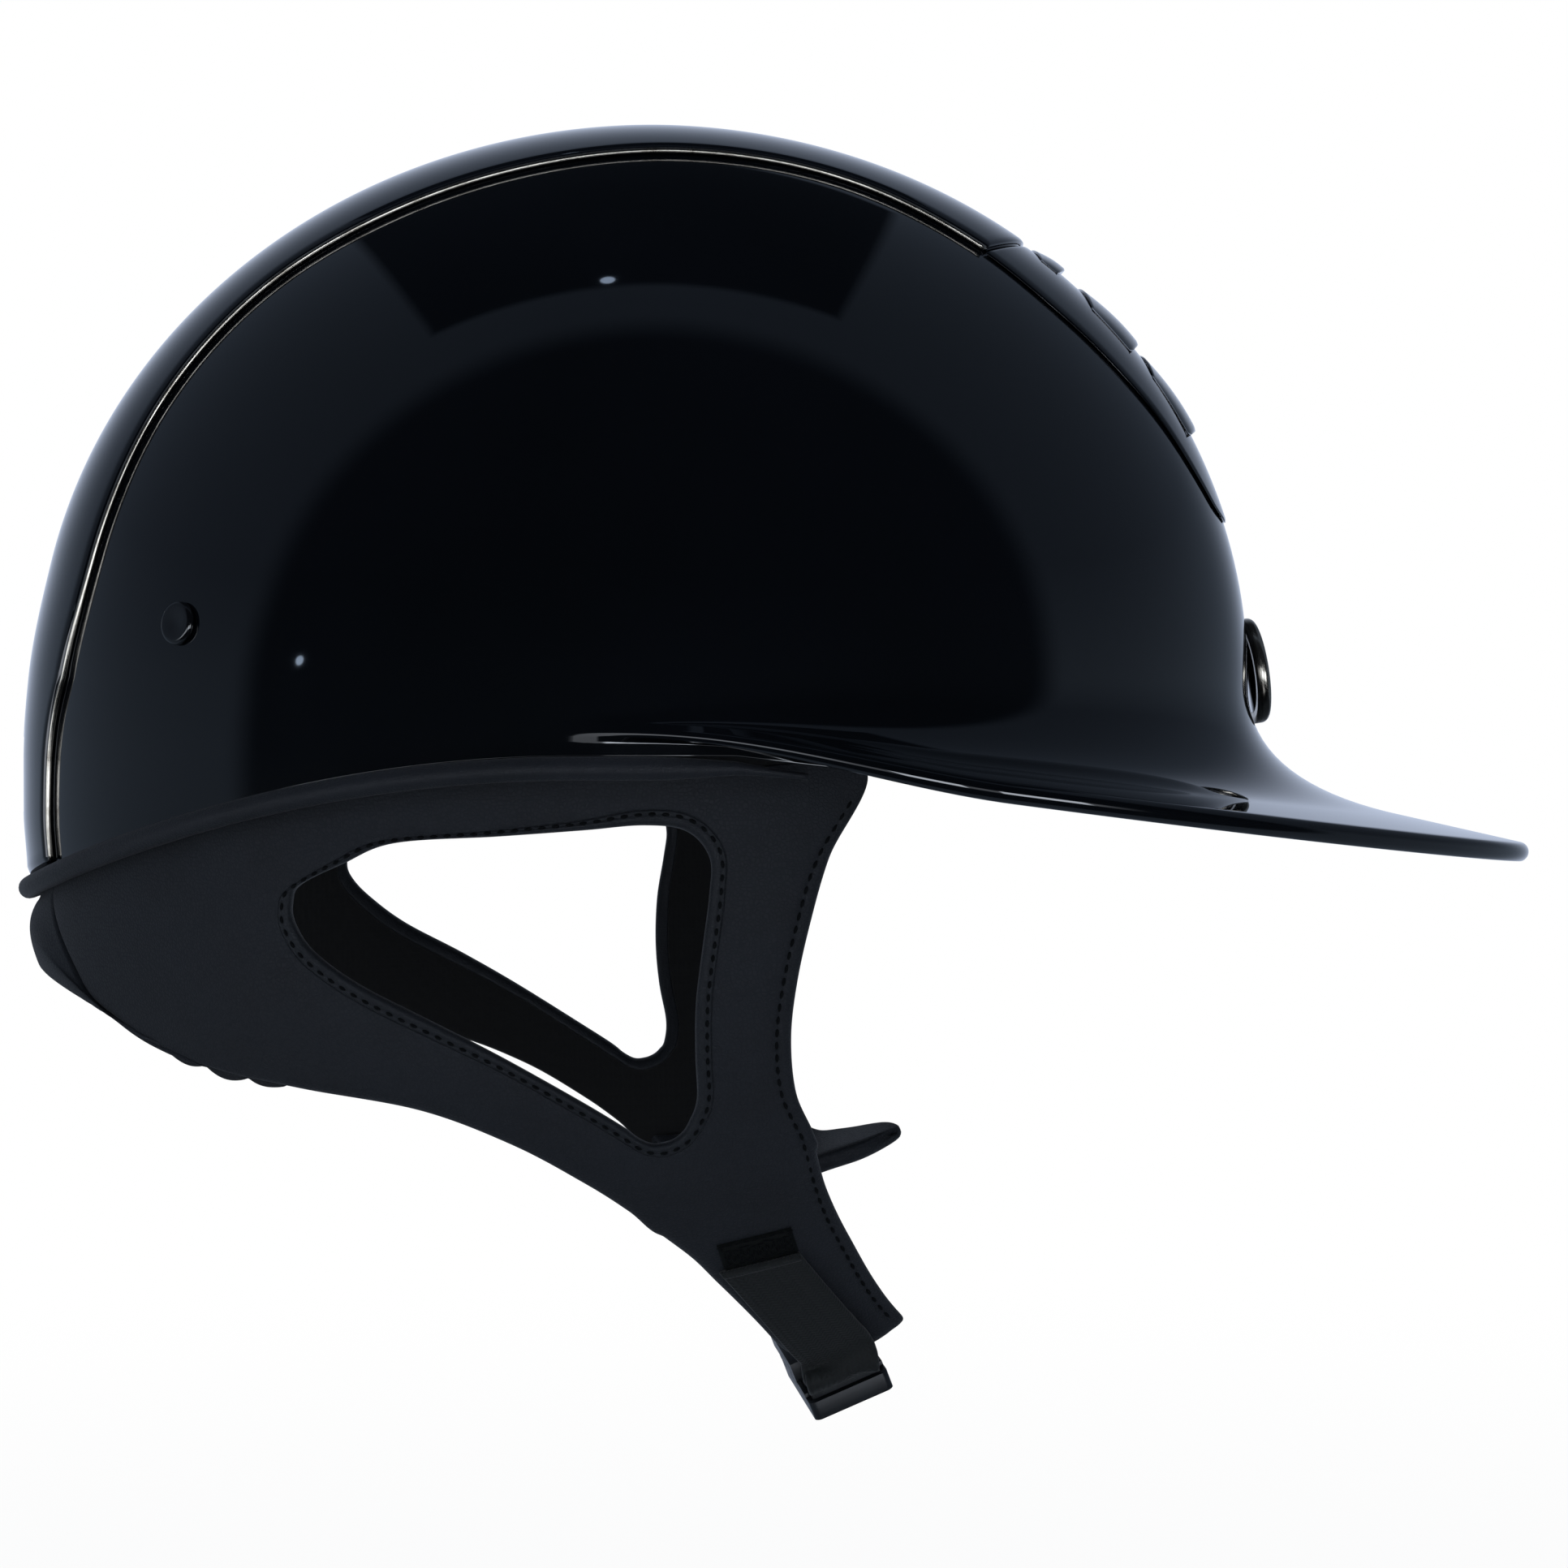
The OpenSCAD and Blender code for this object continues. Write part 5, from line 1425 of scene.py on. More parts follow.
    def vent_panel(self) -> None:
        """Shield-shaped panel with a rounded edge."""
        near = np.array([0, 0.1, 0.3, 0.6, 1.0, 1.5]) / self.shield_half
        half = np.concatenate([np.linspace(0, 1 - 2.4 / self.shield_half, 20)[1:], 1 - near[::-1]])
        s = np.concatenate([-half[::-1], [0], half])[None]
        t = np.concatenate([[0, 0.002, 0.006, 0.012, 0.02], np.linspace(0.035, 0.965, 50),
                            [0.975, 0.985, 0.993, 0.998, 1]])[:, None]
        ends = np.maximum(round_off((1 - t) * self.shield_length, 1.2, 0.6),
                          round_off(t * self.shield_length, 1.0, 0.4))
        drop = np.maximum(round_off((1 - np.abs(s)) * self.shield_half, 1.2, 0.6), ends)
        top = self.vent_point(t, s, np.maximum(self.vent_rise - 0.4 * ease(2 * t - 1) - drop,
                                               self.form.fit_gap + 0.08))
        low = self.vent_point(t, s, self.form.fit_gap + 0 * drop)
        obj = slab("front_vent_shield", top, low)
        place_piece(obj, Finishes.vent, Body.SHELL, "vent_gloss", "front_vent_panel")

    def louvre_hoods(self) -> None:
        """Hoods over the vents: a thin lip that rises forward and dies out at its ends."""
        s = np.concatenate([[-1, -0.985, -0.96], np.linspace(-0.92, 0.92, 33), [0.96, 0.985, 1]])[None]
        t = np.concatenate([np.linspace(0, 0.95, 16), [0.98, 1]])[:, None]
        groups = []
        for back_x, lip_x, share in self.louvres:
            w = self.louvre_half * share
            arch = np.maximum(0.02, 1 - s * s)
            lift = self.vent_rise + self.form.seat * np.minimum(1, 5 * arch) - 0.1 + (
                0.5 + self.louvre_lip * np.sin(np.radians(110 * t))) * arch
            nose = np.where(t > 0.97, 0.25 * (t - 0.96) / 0.04, 0.0)
            inner = np.maximum(lift - 1.0, self.vent_rise + 0.12) + nose
            y = s * w + 0 * t
            x = mix(back_x, lip_x - 0.14 * w * s * s, t)
            over = self.form.over_at_x(x, y)
            groups.append(slab("hood", self.form.over(over, y, lift - nose), self.form.over(over, y, inner)))
        obj = join("vent_hoods", groups)
        place_piece(obj, Finishes.vent, Body.SHELL, "vent_gloss", "vent_louvres")

    def rear_grille(self) -> None:
        """Slotted grille in the bay at the back."""
        w, h = self.bay_half - 0.3, self.bay_h - 0.6
        slots = [self.bay_z + k * self.slot_pitch for k in (-1, 0, 1)]
        cuts = [at + e for at in slots for e in (-self.slot_half, -0.7, 0.7, self.slot_half)]
        zs = sorted({self.bay_z - h / 2, self.bay_z + h / 2, *cuts})
        ys = np.concatenate([[-w, -w + 0.6], np.linspace(-w + 3, w - 3, 25), [w - 0.6, w]])
        z = np.array(zs)[:, None]
        y = ys[None]
        rim = np.minimum(w - np.abs(y), np.minimum(z - zs[0], zs[-1] - z))
        depth = 0.62 - round_off(rim, 0.5, 0.25) + 0.12 * np.cos(z * math.tau / self.slot_pitch)
        outer, inner = (self.form.lowered(self.form.over(180.0, y + 0 * z, self.form.fit_gap + out), z)
                        for out in (depth, 0 * depth))
        mid_z, mid_y = (z[1:, 0] + z[:-1, 0]) / 2, (ys[1:] + ys[:-1]) / 2
        skip = np.array([[any(abs(a - c) < self.slot_half for c in slots) and abs(b) < w - 3 for b in mid_y]
                         for a in mid_z])
        obj = slab("rear_grille", outer, inner, skip=skip)
        place_piece(obj, Finishes.trim, Body.SHELL, "moulded_trim", "rear_vent_grille")

    def lathe(self, name: str, profile: Sequence[Pair], place: Matrix, steps: int = 96) -> Piece:
        """Round piece turned from a profile.

        Args:
            name: the piece's name.
            profile: closed outline as radius and height.
            place: the place of its middle and its axis.
            steps: facets in a full turn.

        Returns:
            The piece.
        """
        pts, a = np.array(profile), full_turn(steps)[:, None]
        ring = np.stack(np.broadcast_arrays(pts[:, 0] * np.cos(a), pts[:, 0] * np.sin(a), pts[:, 1]), axis=-1)
        obj = swept(name, ring @ np.array(place.to_3x3()).T + np.array(place.translation), closed=True)
        with opened(obj.data) as bm:
            bmesh.ops.remove_doubles(bm, verts=bm.verts, dist=1e-6)
            bmesh.ops.recalc_face_normals(bm, faces=bm.faces)
        return obj

    def badge(self) -> None:
        """Plated ring round a plain domed disc."""
        place = Matrix.Translation((self.form.front + 0.95, 0, self.badge_z)) @ Matrix.Rotation(
            math.radians(90 + self.badge_tilt), 4, "Y")
        r, w, h = self.badge_d / 2, self.badge_ring_w, self.badge_h
        arc = [(r - w / 2 + (w / 2) * math.cos(t), h * 0.55 + h * 0.45 * math.sin(t))
               for t in np.linspace(0, math.pi, 14)]
        ring = self.lathe("badge_bezel", [(r - w, 0.02), (r, 0.02)] + arc, place)
        place_piece(ring, Finishes.chrome, Body.SHELL, "chrome", "badge_ring")
        dr = r - w - 0.15
        dome = [(dr * math.sin(t), h * 0.62 + 1.6 * math.cos(t) ** 0.7)
                for t in np.linspace(math.pi / 2 - 0.03, 0, 14)]
        disc = self.lathe("badge_face", [(0, 0.02), (dr, 0.02)] + dome, place)
        place_piece(disc, Finishes.badge, Body.SHELL, "badge_face", "badge_disc")

    def plug_frame(self, side: Side) -> Matrix:
        """Place of a plug, with +Z along the shell's outward normal.

        Args:
            side: the wearer's side.

        Returns:
            Its place and turn.
        """
        f, b = self.form, side.value * self.plug_at
        p = f.wall_at(b, self.plug_z, 0)
        u = unit(f.wall_at(b + 0.5, self.plug_z, 0) - f.wall_at(b - 0.5, self.plug_z, 0))
        w = unit(np.cross(u, f.wall_at(b, self.plug_z + 0.5, 0) - f.wall_at(b, self.plug_z - 0.5, 0)))
        v = np.cross(w, u)
        return Matrix(((u[0], v[0], w[0], p[0]), (u[1], v[1], w[1], p[1]), (u[2], v[2], w[2], p[2]),
                       (0, 0, 0, 1)))

    def plugs(self) -> None:
        """Snap plugs: a low button with a dished middle."""
        r = self.plug_d / 2
        rim = [(r - 0.9 + 0.9 * math.cos(t), 0.55 + 1.0 * math.sin(t))
               for t in np.linspace(0, math.pi / 2, 8)]
        dish = [(x, 1.55 - 0.22 * ease(1 - x / (r - 1.0))) for x in np.linspace(r - 1.1, 0, 8)]
        for side in Side:
            name = side.name.lower()
            head = self.lathe(f"shell_plug_{name}", [(0, 0.3), (r - 0.2, 0.3)] + rim + dish,
                              self.plug_frame(side), 64)
            place_piece(head, Finishes.plug, Body.SHELL, "plug_plastic", f"anchor_plug_{name}")

    def build(self) -> None:
        """Builds every trim piece."""
        self.crown_panel()
        self.chrome_beads()
        self.vent_panel()
        self.louvre_hoods()
        self.rear_grille()
        self.badge()
        self.plugs()
        dress_node("anchor_washers", Finishes.steel)


@dataclass
class Liner:
    """Impact liner, tapes and head pads."""

    form: ShellForm = ShellForm()
    foam_thick: float = 17.0
    patch_room: float = 2.6
    pad_thick: float = 5.0
    band_top: float = 38.0
    steps: int = 192

    @property
    def foam_in(self) -> float:
        """Offset of the liner's inner face."""
        return self.form.wall + self.form.seat + 0.05 + self.foam_thick

    @property
    def pad_out(self) -> float:
        """Offset of the pads' outer face."""
        return self.foam_in + self.patch_room

    def foam(self) -> None:
        """Bead foam liner with a rounded lower edge."""
        f = self.form
        b = np.arange(self.steps) / self.steps * 360 - 180
        outer = -(f.wall + f.seat + 0.05)
        edge = f.edge_z(b) + 0.6
        ups = np.concatenate([[87], np.linspace(84, 0, 36)])
        rings = [f.dome(b, u, outer) for u in ups]
        for d, lift in ((outer, 1.0), (outer - 0.4, 0.3), (outer - 1.2, 0.0), (outer - 6, 0.0),
                        (outer - 11, 0.15), (-self.foam_in + 3, 0.9), (-self.foam_in + 1, 2.4),
                        (-self.foam_in, 5.0)):
            rings.append(f.wall_at(b, edge + lift, d))
        rings += [f.dome(b, u, -self.foam_in) for u in ups[::-1]]
        obj = rings_skin("bead_foam_liner", np.array(rings), f.dome(0, 90, outer),
                         f.dome(0, 90, -self.foam_in))
        place_piece(obj, Finishes.foam, Body.SHELL, "liner_foam", "impact_liner")

    def band(self) -> None:
        """Head band: padded sections with sewn channels between them."""
        f = self.form
        n = 384
        b = -np.arange(n) / n * 360
        low = f.edge_z(b, -self.pad_out) + 2
        v = np.concatenate([np.linspace(0, 0.1, 5), np.linspace(0.15, 0.85, 15), np.linspace(0.9, 1, 5)])
        channel = np.exp(-((((b % 45) - 22.5) / 1.6) ** 2))
        arch = np.sin(np.pi * v) ** 0.35
        middle, half = -self.pad_out - self.pad_thick / 2, self.pad_thick / 2 - 0.1
        inner, outer = [], []
        for k, share in enumerate(v):
            z = mix(low, self.band_top, share)
            fullness = arch[k] * (1 - 0.75 * channel)
            inner.append(f.wall_at(b, z, middle - half * fullness))
            outer.append(f.wall_at(b, z, middle + half * arch[k]))
        obj = slab("head_band", np.array(outer).transpose(1, 0, 2), np.array(inner).transpose(1, 0, 2),
                   wrap=True)
        place_piece(obj, Finishes.pad, Body.LINER, "pad_fabric", "headband_pad")

    def crown(self) -> None:
        """Crown pad: a puffed disc with a sewn star of channels."""
        f = self.form
        n = 128
        b = np.arange(n) / n * 360
        ups = np.linspace(89, 60, 26)
        star = np.exp(-((((b % 60) - 30) / 2.4) ** 2))
        rings = [f.dome(b, u, -self.pad_out) for u in ups]
        for t in np.linspace(-60, 60, 5):
            out, up = math.cos(math.radians(t)), math.sin(math.radians(t))
            rings.append(f.dome(b, 60 - 1.2 * out, -self.pad_out - self.pad_thick * (0.5 + 0.5 * up * 0.9)))
        for u in ups[::-1]:
            puff = math.sin(math.pi * min(1, (u - 58) / 9) / 2)
            rings.append(f.dome(b, u, -self.pad_out - self.pad_thick
                                * (0.55 + 0.45 * puff * (1 - 0.8 * star))))
        obj = rings_skin("crown_cushion", np.array(rings), f.dome(0, 90, -self.pad_out),
                         f.dome(0, 90, -self.pad_out - self.pad_thick))
        place_piece(obj, Finishes.pad, Body.LINER, "pad_fabric", "crown_pad")

    def build(self) -> None:
        """Builds the liner's pieces."""
        self.foam()
        self.band()
        self.crown()
        dress_node("hook_patches", Finishes.hook)
        dress_node("loop_patches", Finishes.hook)


@dataclass
class Harness:
    """Leather harness: side panels that run on into the tails, bound ear openings, nape panel and piping."""

    stitches: StitchTree
    form: HarnessForm = HarnessForm()
    steps: int = 10
    edge_roll: float = 2.2
    edge_depth: float = 1.5
    groove_depth: float = 0.35
    stitch_pitch: float = 2.6
    stitch_in: float = 2.3
    front_stitch_in: float = 3.0
    joint_y: float = 80.0
    tail_down: Point = (0.48, 0.0, -0.877)
    bend_span: Pair = (15.0, 38.0)
    free: tuple[Pair, ...] = (
        (0, 0), (1.1, 0), (1.7, 1), (12, 1), (17.4, 1), (18, 0.4), (21.6, 0.4), (22.2, 0), (27, 0))
    stitched: tuple[Pair, ...] = ((0, 0), (1.3, 0), (1.6, 1), (8, 1), (8.6, 0), (27, 0))

    def groove(self, e: Array) -> Array:
        """Depth of the sewn groove along the front edge at distance e from it."""
        return self.groove_depth * np.exp(-((e - self.front_stitch_in) / 0.55) ** 2)

    def relief(self, e: Array, length: Array, side: Side) -> tuple[Array, Array]:
        """Height of the side panel's leather.

        Args:
            e: distances from the ear opening along each spoke.
            length: length of each spoke.
            side: the wearer's side.

        Returns:
            How far the outer face stands out, and how far both faces are rolled in at the free edges.
        """
        f = self.form
        _, outer = f.spokes(self.steps, side)
        j0, j1 = f.joint_span(self.steps)
        i = np.arange(len(length))
        place = i / self.steps
        e_out = length[:, None] - e
        walk = walked(outer)
        from_front = np.hypot(np.maximum(walk - walk[j0], 0)[:, None], e_out)
        from_rear = np.hypot(np.maximum(walk[j1] - walk, 0)[:, None], e_out)
        joined = ((i > j0) & (i < j1))[:, None]
        roll = np.where(joined, round_off(from_front, self.edge_roll, self.edge_depth)
                        + round_off(from_rear, self.edge_roll + 0.8, self.edge_depth),
                        lookup(place, self.free)[:, None] * round_off(e_out, self.edge_roll, self.edge_depth))
        line = self.groove(np.where(joined, from_front, e_out))
        span = np.clip((e - f.binding) / np.maximum(length[:, None] - f.binding, 1), 0, 1)
        merge = ease(np.minimum(place - 8, 12 - place) / 0.7)[:, None]
        crown = mix(np.sin(np.pi * span) ** 1.3, np.sin(np.pi / 2 * np.minimum(1, span / 0.6)) ** 1.3, merge)
        d = 0.7 * crown * np.minimum(1, length[:, None] / 30) - lookup(place, self.stitched)[:, None] * line
        return d - round_off(e - f.binding, 1.0, 0.15), roll

    def leather_side(self, side: Side) -> Piece:
        """Side panel and tail in one closed piece, lined behind the panel.

        Args:
            side: the wearer's side.

        Returns:
            The piece, dressed in leather and lining.
        """
        f = self.form
        inner, outer = f.spokes(self.steps, side)
        j0, j1 = f.joint_span(self.steps)
        length = np.linalg.norm(outer - inner, axis=1)
        along = unit(outer - inner)
        near = np.array([0.0, 0.3, 0.9, 1.8]) + f.binding - 0.05
        far = np.array([6.5, 4.6, 3.7, 3.0, 2.3, 1.6, 0.9, 0.4, 0.0])
        mids = [mix(near[-1], length - far[0], t) for t in np.linspace(0, 1, 9)[1:-1]]
        cols = [np.full(len(inner), a) for a in near] + mids + [length - a for a in far]
        e = np.maximum.accumulate(np.stack(cols, axis=1), axis=1)
        xz = inner[:, None] + along[:, None] * e[..., None]
        d, roll = self.relief(e, length, side)
        face = f.skin(xz[..., 0], xz[..., 1], d - roll, side)
        back = f.skin(xz[..., 0], xz[..., 1], 0.6 * roll - f.thick, side)
        idx = np.arange(j0, j1 + 1)
        v = np.linspace(0, 1, len(idx))
        if side is Side.RIGHT:
            tail_face, tail_back = self.tail_right(v, (d - roll)[idx, -1])
        else:
            tail_face, tail_back = self.tail_left(v, f.skin(xz[idx, -1, 0], xz[idx, -1, 1], 0.0, side),
                                                  (d - roll)[idx, -1])
        n, m = face.shape[:2]
        faces = grid_faces(n, m, wrap=True)
        panel_count = len(faces)
        edge_row = [(j0 + c) * m + m - 1 for c in range(len(idx))]
        for r in range(len(tail_face)):
            next_row = [n * m + r * len(idx) + c for c in range(len(idx))]
            faces += [(edge_row[c], edge_row[c + 1], next_row[c + 1], next_row[c])
                      for c in range(len(idx) - 1)]
            edge_row = next_row
        grids = ((face, tail_face), (back, tail_back))
        points = [np.concatenate([a.reshape(-1, 3), b.reshape(-1, 3)]) for a, b in grids]
        obj = closed_sheet(f"harness_{side.name.lower()}", *points, faces, panel_count)
        round_out(obj)
        dress(obj, Finishes.leather, Finishes.lining)
        return obj

    def tail_relief(self, v: Array, width: float, to_tip: float, tip: float = 2.2) -> tuple[Array, Array]:
        """Height and edge roll across a tail, which thins out towards its tip.

        Args:
            v: shares across the tail.
            width: its width there.
            to_tip: distance from the tip.
            tip: length over which it thins out.

        Returns:
            Height of the outer face, and how far both faces are rolled in.
        """
        e_front, e_rear = v * width, (1 - v) * width
        roll = round_off(e_front, self.edge_roll, self.edge_depth)
        roll = roll + round_off(e_rear, self.edge_roll + 0.8, self.edge_depth)
        roll = np.minimum(roll + round_off(np.full_like(v, to_tip), tip, 0.4 + 0.4 * tip ** 0.6), 1.9)
        return 0.5 * np.sin(np.pi * v) - self.groove(e_front), roll

    def tail_right(self, v: Array, start: Array) -> tuple[Array, Array]:
        """Rows of the right tail below the joint: outer and inner points.

        Args:
            v: shares across the tail.
            start: height of the leather at the joint.

        Returns:
            The outer rows and the inner rows.
        """
        f = self.form
        rows = spline([[*s] for s in f.tail], 8)[1:]
        hold = np.interp(np.arange(1, len(rows) + 1) / 8, range(7), [1, 0.6, 0.25, 0, 0, 0, 0])
        angle = mix(f.arc[0][2], f.arc[-1][2], v)
        arc = np.array(f.joint) + f.joint_r * np.stack(cos_sin(angle), axis=-1)
        s0 = np.array(f.tail[0], float)
        bow = arc - mix(s0[:2], s0[2:], v[:, None])
        faces, backs = [], []
        for i, row in enumerate(rows):
            to_tip = (len(rows) - 1 - i) * 0.85
            round_end = 1 - 0.1 * (1 - math.sqrt(1 - (1 - min(1.0, to_tip / 2.5)) ** 2))
            w = 0.5 + (v - 0.5) * round_end
            c = mix(row[:2], row[2:], w[:, None]) + bow * hold[i]
            c = c + np.array([0.5, -1.0]) * 3 * max(0.0, 1 - to_tip / 5) ** 2 * np.sin(np.pi * v)[:, None]
            d, roll = self.tail_relief(v, float(np.linalg.norm(row[2:] - row[:2])), to_tip)
            faces.append(f.skin(c[:, 0], c[:, 1], mix(start, d - roll, ease((i + 1) / 6))))
            backs.append(f.skin(c[:, 0], c[:, 1], 0.6 * roll - f.thick))
        return np.array(faces), np.array(backs)

    def tail_left(self, v: Array, root: Array, start: Array) -> tuple[Array, Array]:
        """Rows of the left tail below the joint; its tip turns up and forward.

        Args:
            v: shares across the tail.
            root: points of the joint.
            start: height of the leather at the joint.

        Returns:
            The outer rows and the inner rows.
        """
        f = self.form
        bows = np.array([(4, 2, -3), (0, 0, 0), (0, 0, 0), (0, 0, 0), (2, 0, 0)], float)
        given = [root] + [mix(np.array(s[:3]), np.array(s[3:]), v[:, None]) + bow * np.sin(np.pi * v)[:, None]
                          for s, bow in zip(f.left_tail, bows)]
        rows = spline(given, 9)
        middle = rows[:, len(v) // 2]
        left = walked(middle[::-1])[::-1]
        tip = 1 - np.minimum(1, left / 6)
        squeeze = 1 - 0.42 * (1 - np.sqrt(1 - tip ** 2))
        centre = rows.mean(axis=1, keepdims=True)
        rows = centre + (rows - centre) * squeeze[:, None, None]
        normal = unit(np.cross(np.gradient(rows, axis=0), np.gradient(rows, axis=1)))
        faces, backs = [], []
        for i in range(1, len(rows)):
            d, roll = self.tail_relief(v, float(np.linalg.norm(rows[i, 0] - rows[i, -1])), float(left[i]),
                                       12.0)
            half = f.thick / 2 * ease(i / 9)
            lift = mix(start, d - roll, ease(i / 7)) + half
            faces.append(rows[i] + normal[i] * lift[:, None])
            backs.append(rows[i] + normal[i] * (half - f.thick + 0.6 * roll)[:, None])
        return np.array(faces), np.array(backs)

    def bind_opening(self, side: Side) -> None:
        """Folded strip round the ear opening, flush with the panel, and its stitches.

        Args:
            side: the wearer's side.
        """
        f = self.form
        inner, outer = f.spokes(self.steps, side)
        along = unit(outer - inner)
        shape = [(0.0, -2.2), (0.12, -0.9), (0.5, -0.25), (1.1, 0.12), (1.7, 0.14), (2.05, 0.02),
                 (2.3, -0.12), (2.55, 0.0), (2.9, -0.02), (3.3, -0.2), (3.3, -4.2), (2.7, -4.5), (1.3, -4.55),
                 (0.5, -4.3), (0.1, -3.4)]
        sections = np.array([f.skin(*(inner + along * e).T, d, side) for e, d in shape]).transpose(1, 0, 2)
        name = side.name.lower()
        obj = swept(f"ear_binding_strip_{name}", sections, closed=True)
        round_out(obj)
        place_piece(obj, Finishes.binding, Body.SHELL, "binding_leather", f"ear_binding_{name}")
        line = inner + along * self.stitch_in
        closed = np.concatenate([line, line[:1]])
        path = f.skin(closed[:, 0], closed[:, 1], -0.02, side)
        sewn = self.stitches.sew(f"ear_opening_stitches_{name}", [path], self.stitch_pitch, 1.4, 0.4,
                                 Finishes.thread)
        place_piece(sewn, Finishes.thread, Body.SHELL, "tack_thread")

    def front_stitches(self, side: Side) -> None:
        """Stitches along the panel's front edge and on down the tail.

        Args:
            side: the wearer's side.
        """
        f = self.form
        inner, outer = f.spokes(self.steps, side)
        j0, j1 = f.joint_span(self.steps)
        along = unit(outer - inner)
        i = np.arange(int(self.steps * 1.3), j0 - 2)
        line = outer[i] - along[i] * self.front_stitch_in
        line = line[line[:, 1] < f.shell.leather_top_z(line[:, 0]) - 1.0]
        upper = f.skin(line[:, 0], line[:, 1], 0.0, side)
        idx = np.arange(j0, j1 + 1)
        v = np.linspace(0, 1, len(idx))
        if side is Side.RIGHT:
            rows, _ = self.tail_right(v, np.zeros(len(v)))
        else:
            rows, _ = self.tail_left(v, f.skin(outer[idx, 0], outer[idx, 1], 0.0, side), np.zeros(len(v)))
        lower = []
        for row in rows[3:-3]:
            walk = walked(row)
            lower.append([np.interp(self.front_stitch_in, walk, row[:, k]) for k in range(3)])
        path = spline(np.concatenate([upper[::4], np.array(lower)[::3]]), 4)
        sewn = self.stitches.sew(f"front_edge_stitches_{side.name.lower()}", [path], self.stitch_pitch, 1.6,
                                 0.38, Finishes.thread)
        self.bend(sewn, "tack_thread", side)

    def bend(self, obj: Piece, slot: str, side: Side, *nodes: str) -> None:
        """Bends a piece over the joint of panel and tail.

        Args:
            obj: the piece.
            slot: not used.
            side: the wearer's side.
            nodes: the CAD nodes that it stands for.
        """
        joint = np.array([self.form.joint[0], side.value * self.joint_y, self.form.joint[1]])
        down = np.array(self.tail_down)
        start, end = (tuple(((joint + down * reach) * MM).tolist()) for reach in self.bend_span)
        if nodes:
            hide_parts(*nodes)
        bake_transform(obj, Body.SHELL.value, Body.CHIN.value, start=start, end=end)
        LOG.info("%s bends from shell to chin loop, %d faces", obj.name, len(obj.data.polygons))

    def nape(self) -> None:
        """Padded nape panel with small gathers at its lower corners."""
        f = self.form
        seam = f.seam_line(self.steps)[::2]
        rows = len(seam)
        half = np.concatenate([np.linspace(0, 0.96, 44)[1:], 1 - np.array([0.025, 0.012, 0.004, 0])])
        u = np.concatenate([-half[::-1], [0], half])[None]
        down = np.linspace(0, 1, rows)[:, None]
        a = np.arccos(-seam[:, :1] / f.reach) * u
        top = f.shell.leather_top_z(-f.reach * np.cos(a))
        middle = mix(float(f.shell.leather_top_z(-f.reach)), f.nape_bottom, down)
        z = np.where(down == 0, top, mix(middle, seam[:, 1:], np.abs(u) ** 2.2))
        z = np.minimum(z, top - 0.4 * down)
        e_low, e_side = (1 - down) * 34, (1 - np.abs(u)) * 52
        swell = f.nape_pad * np.sin(np.pi * down ** 0.7) * (1 - u * u)
        swell = swell - round_off(e_low, 4.0, 2.2) - round_off(e_side, 1.6, 0.9)
        gather = ease((np.abs(u) - 0.55) / 0.3) * np.exp(-(e_low / 6.0) ** 2)
        swell = swell + 0.6 * gather * np.sin(np.abs(u) * 95 + 1.3 * np.sin(np.abs(u) * 31))
        wave = 0.6 * gather * np.cos(np.abs(u) * 88)
        inner = 0.3 * round_off(e_low, 3.0, 2.0) - f.thick - 0.6 + 0 * swell
        # Two more rows tuck the top edge in behind the piping
        a, wave = (np.concatenate([g[:1], g[:1], g]) for g in (a, wave))
        z = np.concatenate([z[:1] + 2.4, z[:1] + 1.2, z])
        swell, inner = (np.concatenate([g[:1] + 0 * g[:1], g[:1], g]) for g in (swell, inner))
        grids = []
        for d in (swell, inner):
            p = f.skin(-f.reach * np.cos(a), z, d)
            p[..., 1] *= -np.sign(u)
            p[..., 2] += wave
            grids.append(p)
        obj = slab("nape_cushion", *grids)
        round_out(obj)
        place_piece(obj, Finishes.leather, Body.SHELL, "harness_leather", "nape_panel")

    def ruffles(self) -> None:
        """Gathered edge of the lining, which shows below each side panel next to the nape seam."""
        f = self.form
        start = (len(f.front) + len(f.arc) + len(f.lower)) * self.steps
        for side in Side:
            _, outer = f.spokes(self.steps, side)
            line = spline(outer[start + 2:start + 3 * self.steps:4], 8)
            share = walked(line) / walked(line)[-1]
            puff = np.abs(np.sin(share * 3.3 * np.pi + 0.5)) ** 0.7 * np.sin(np.pi * share) ** 0.5
            drop = 0.2 + 1.7 * puff
            grids = []
            for d in (-2.2, -3.6):
                ups = np.array([1.5, 0.6, 0.0, -0.45, -0.8, -1.0])
                z = line[:, 1][:, None] + np.where(ups > 0, ups * 2, ups * drop[:, None])
                bulge = (np.sign(d + 2.9) * np.minimum(0, np.abs(ups) - 1) * 0.3)[None] + 0.3 * puff[:, None]
                grids.append(f.skin(line[:, :1] + 0 * ups, z, d + bulge, side))
            obj = slab(f"lining_gathers_{side.name.lower()}", *grids)
            round_out(obj)
            place_piece(obj, Finishes.binding, Body.SHELL, "harness_leather")

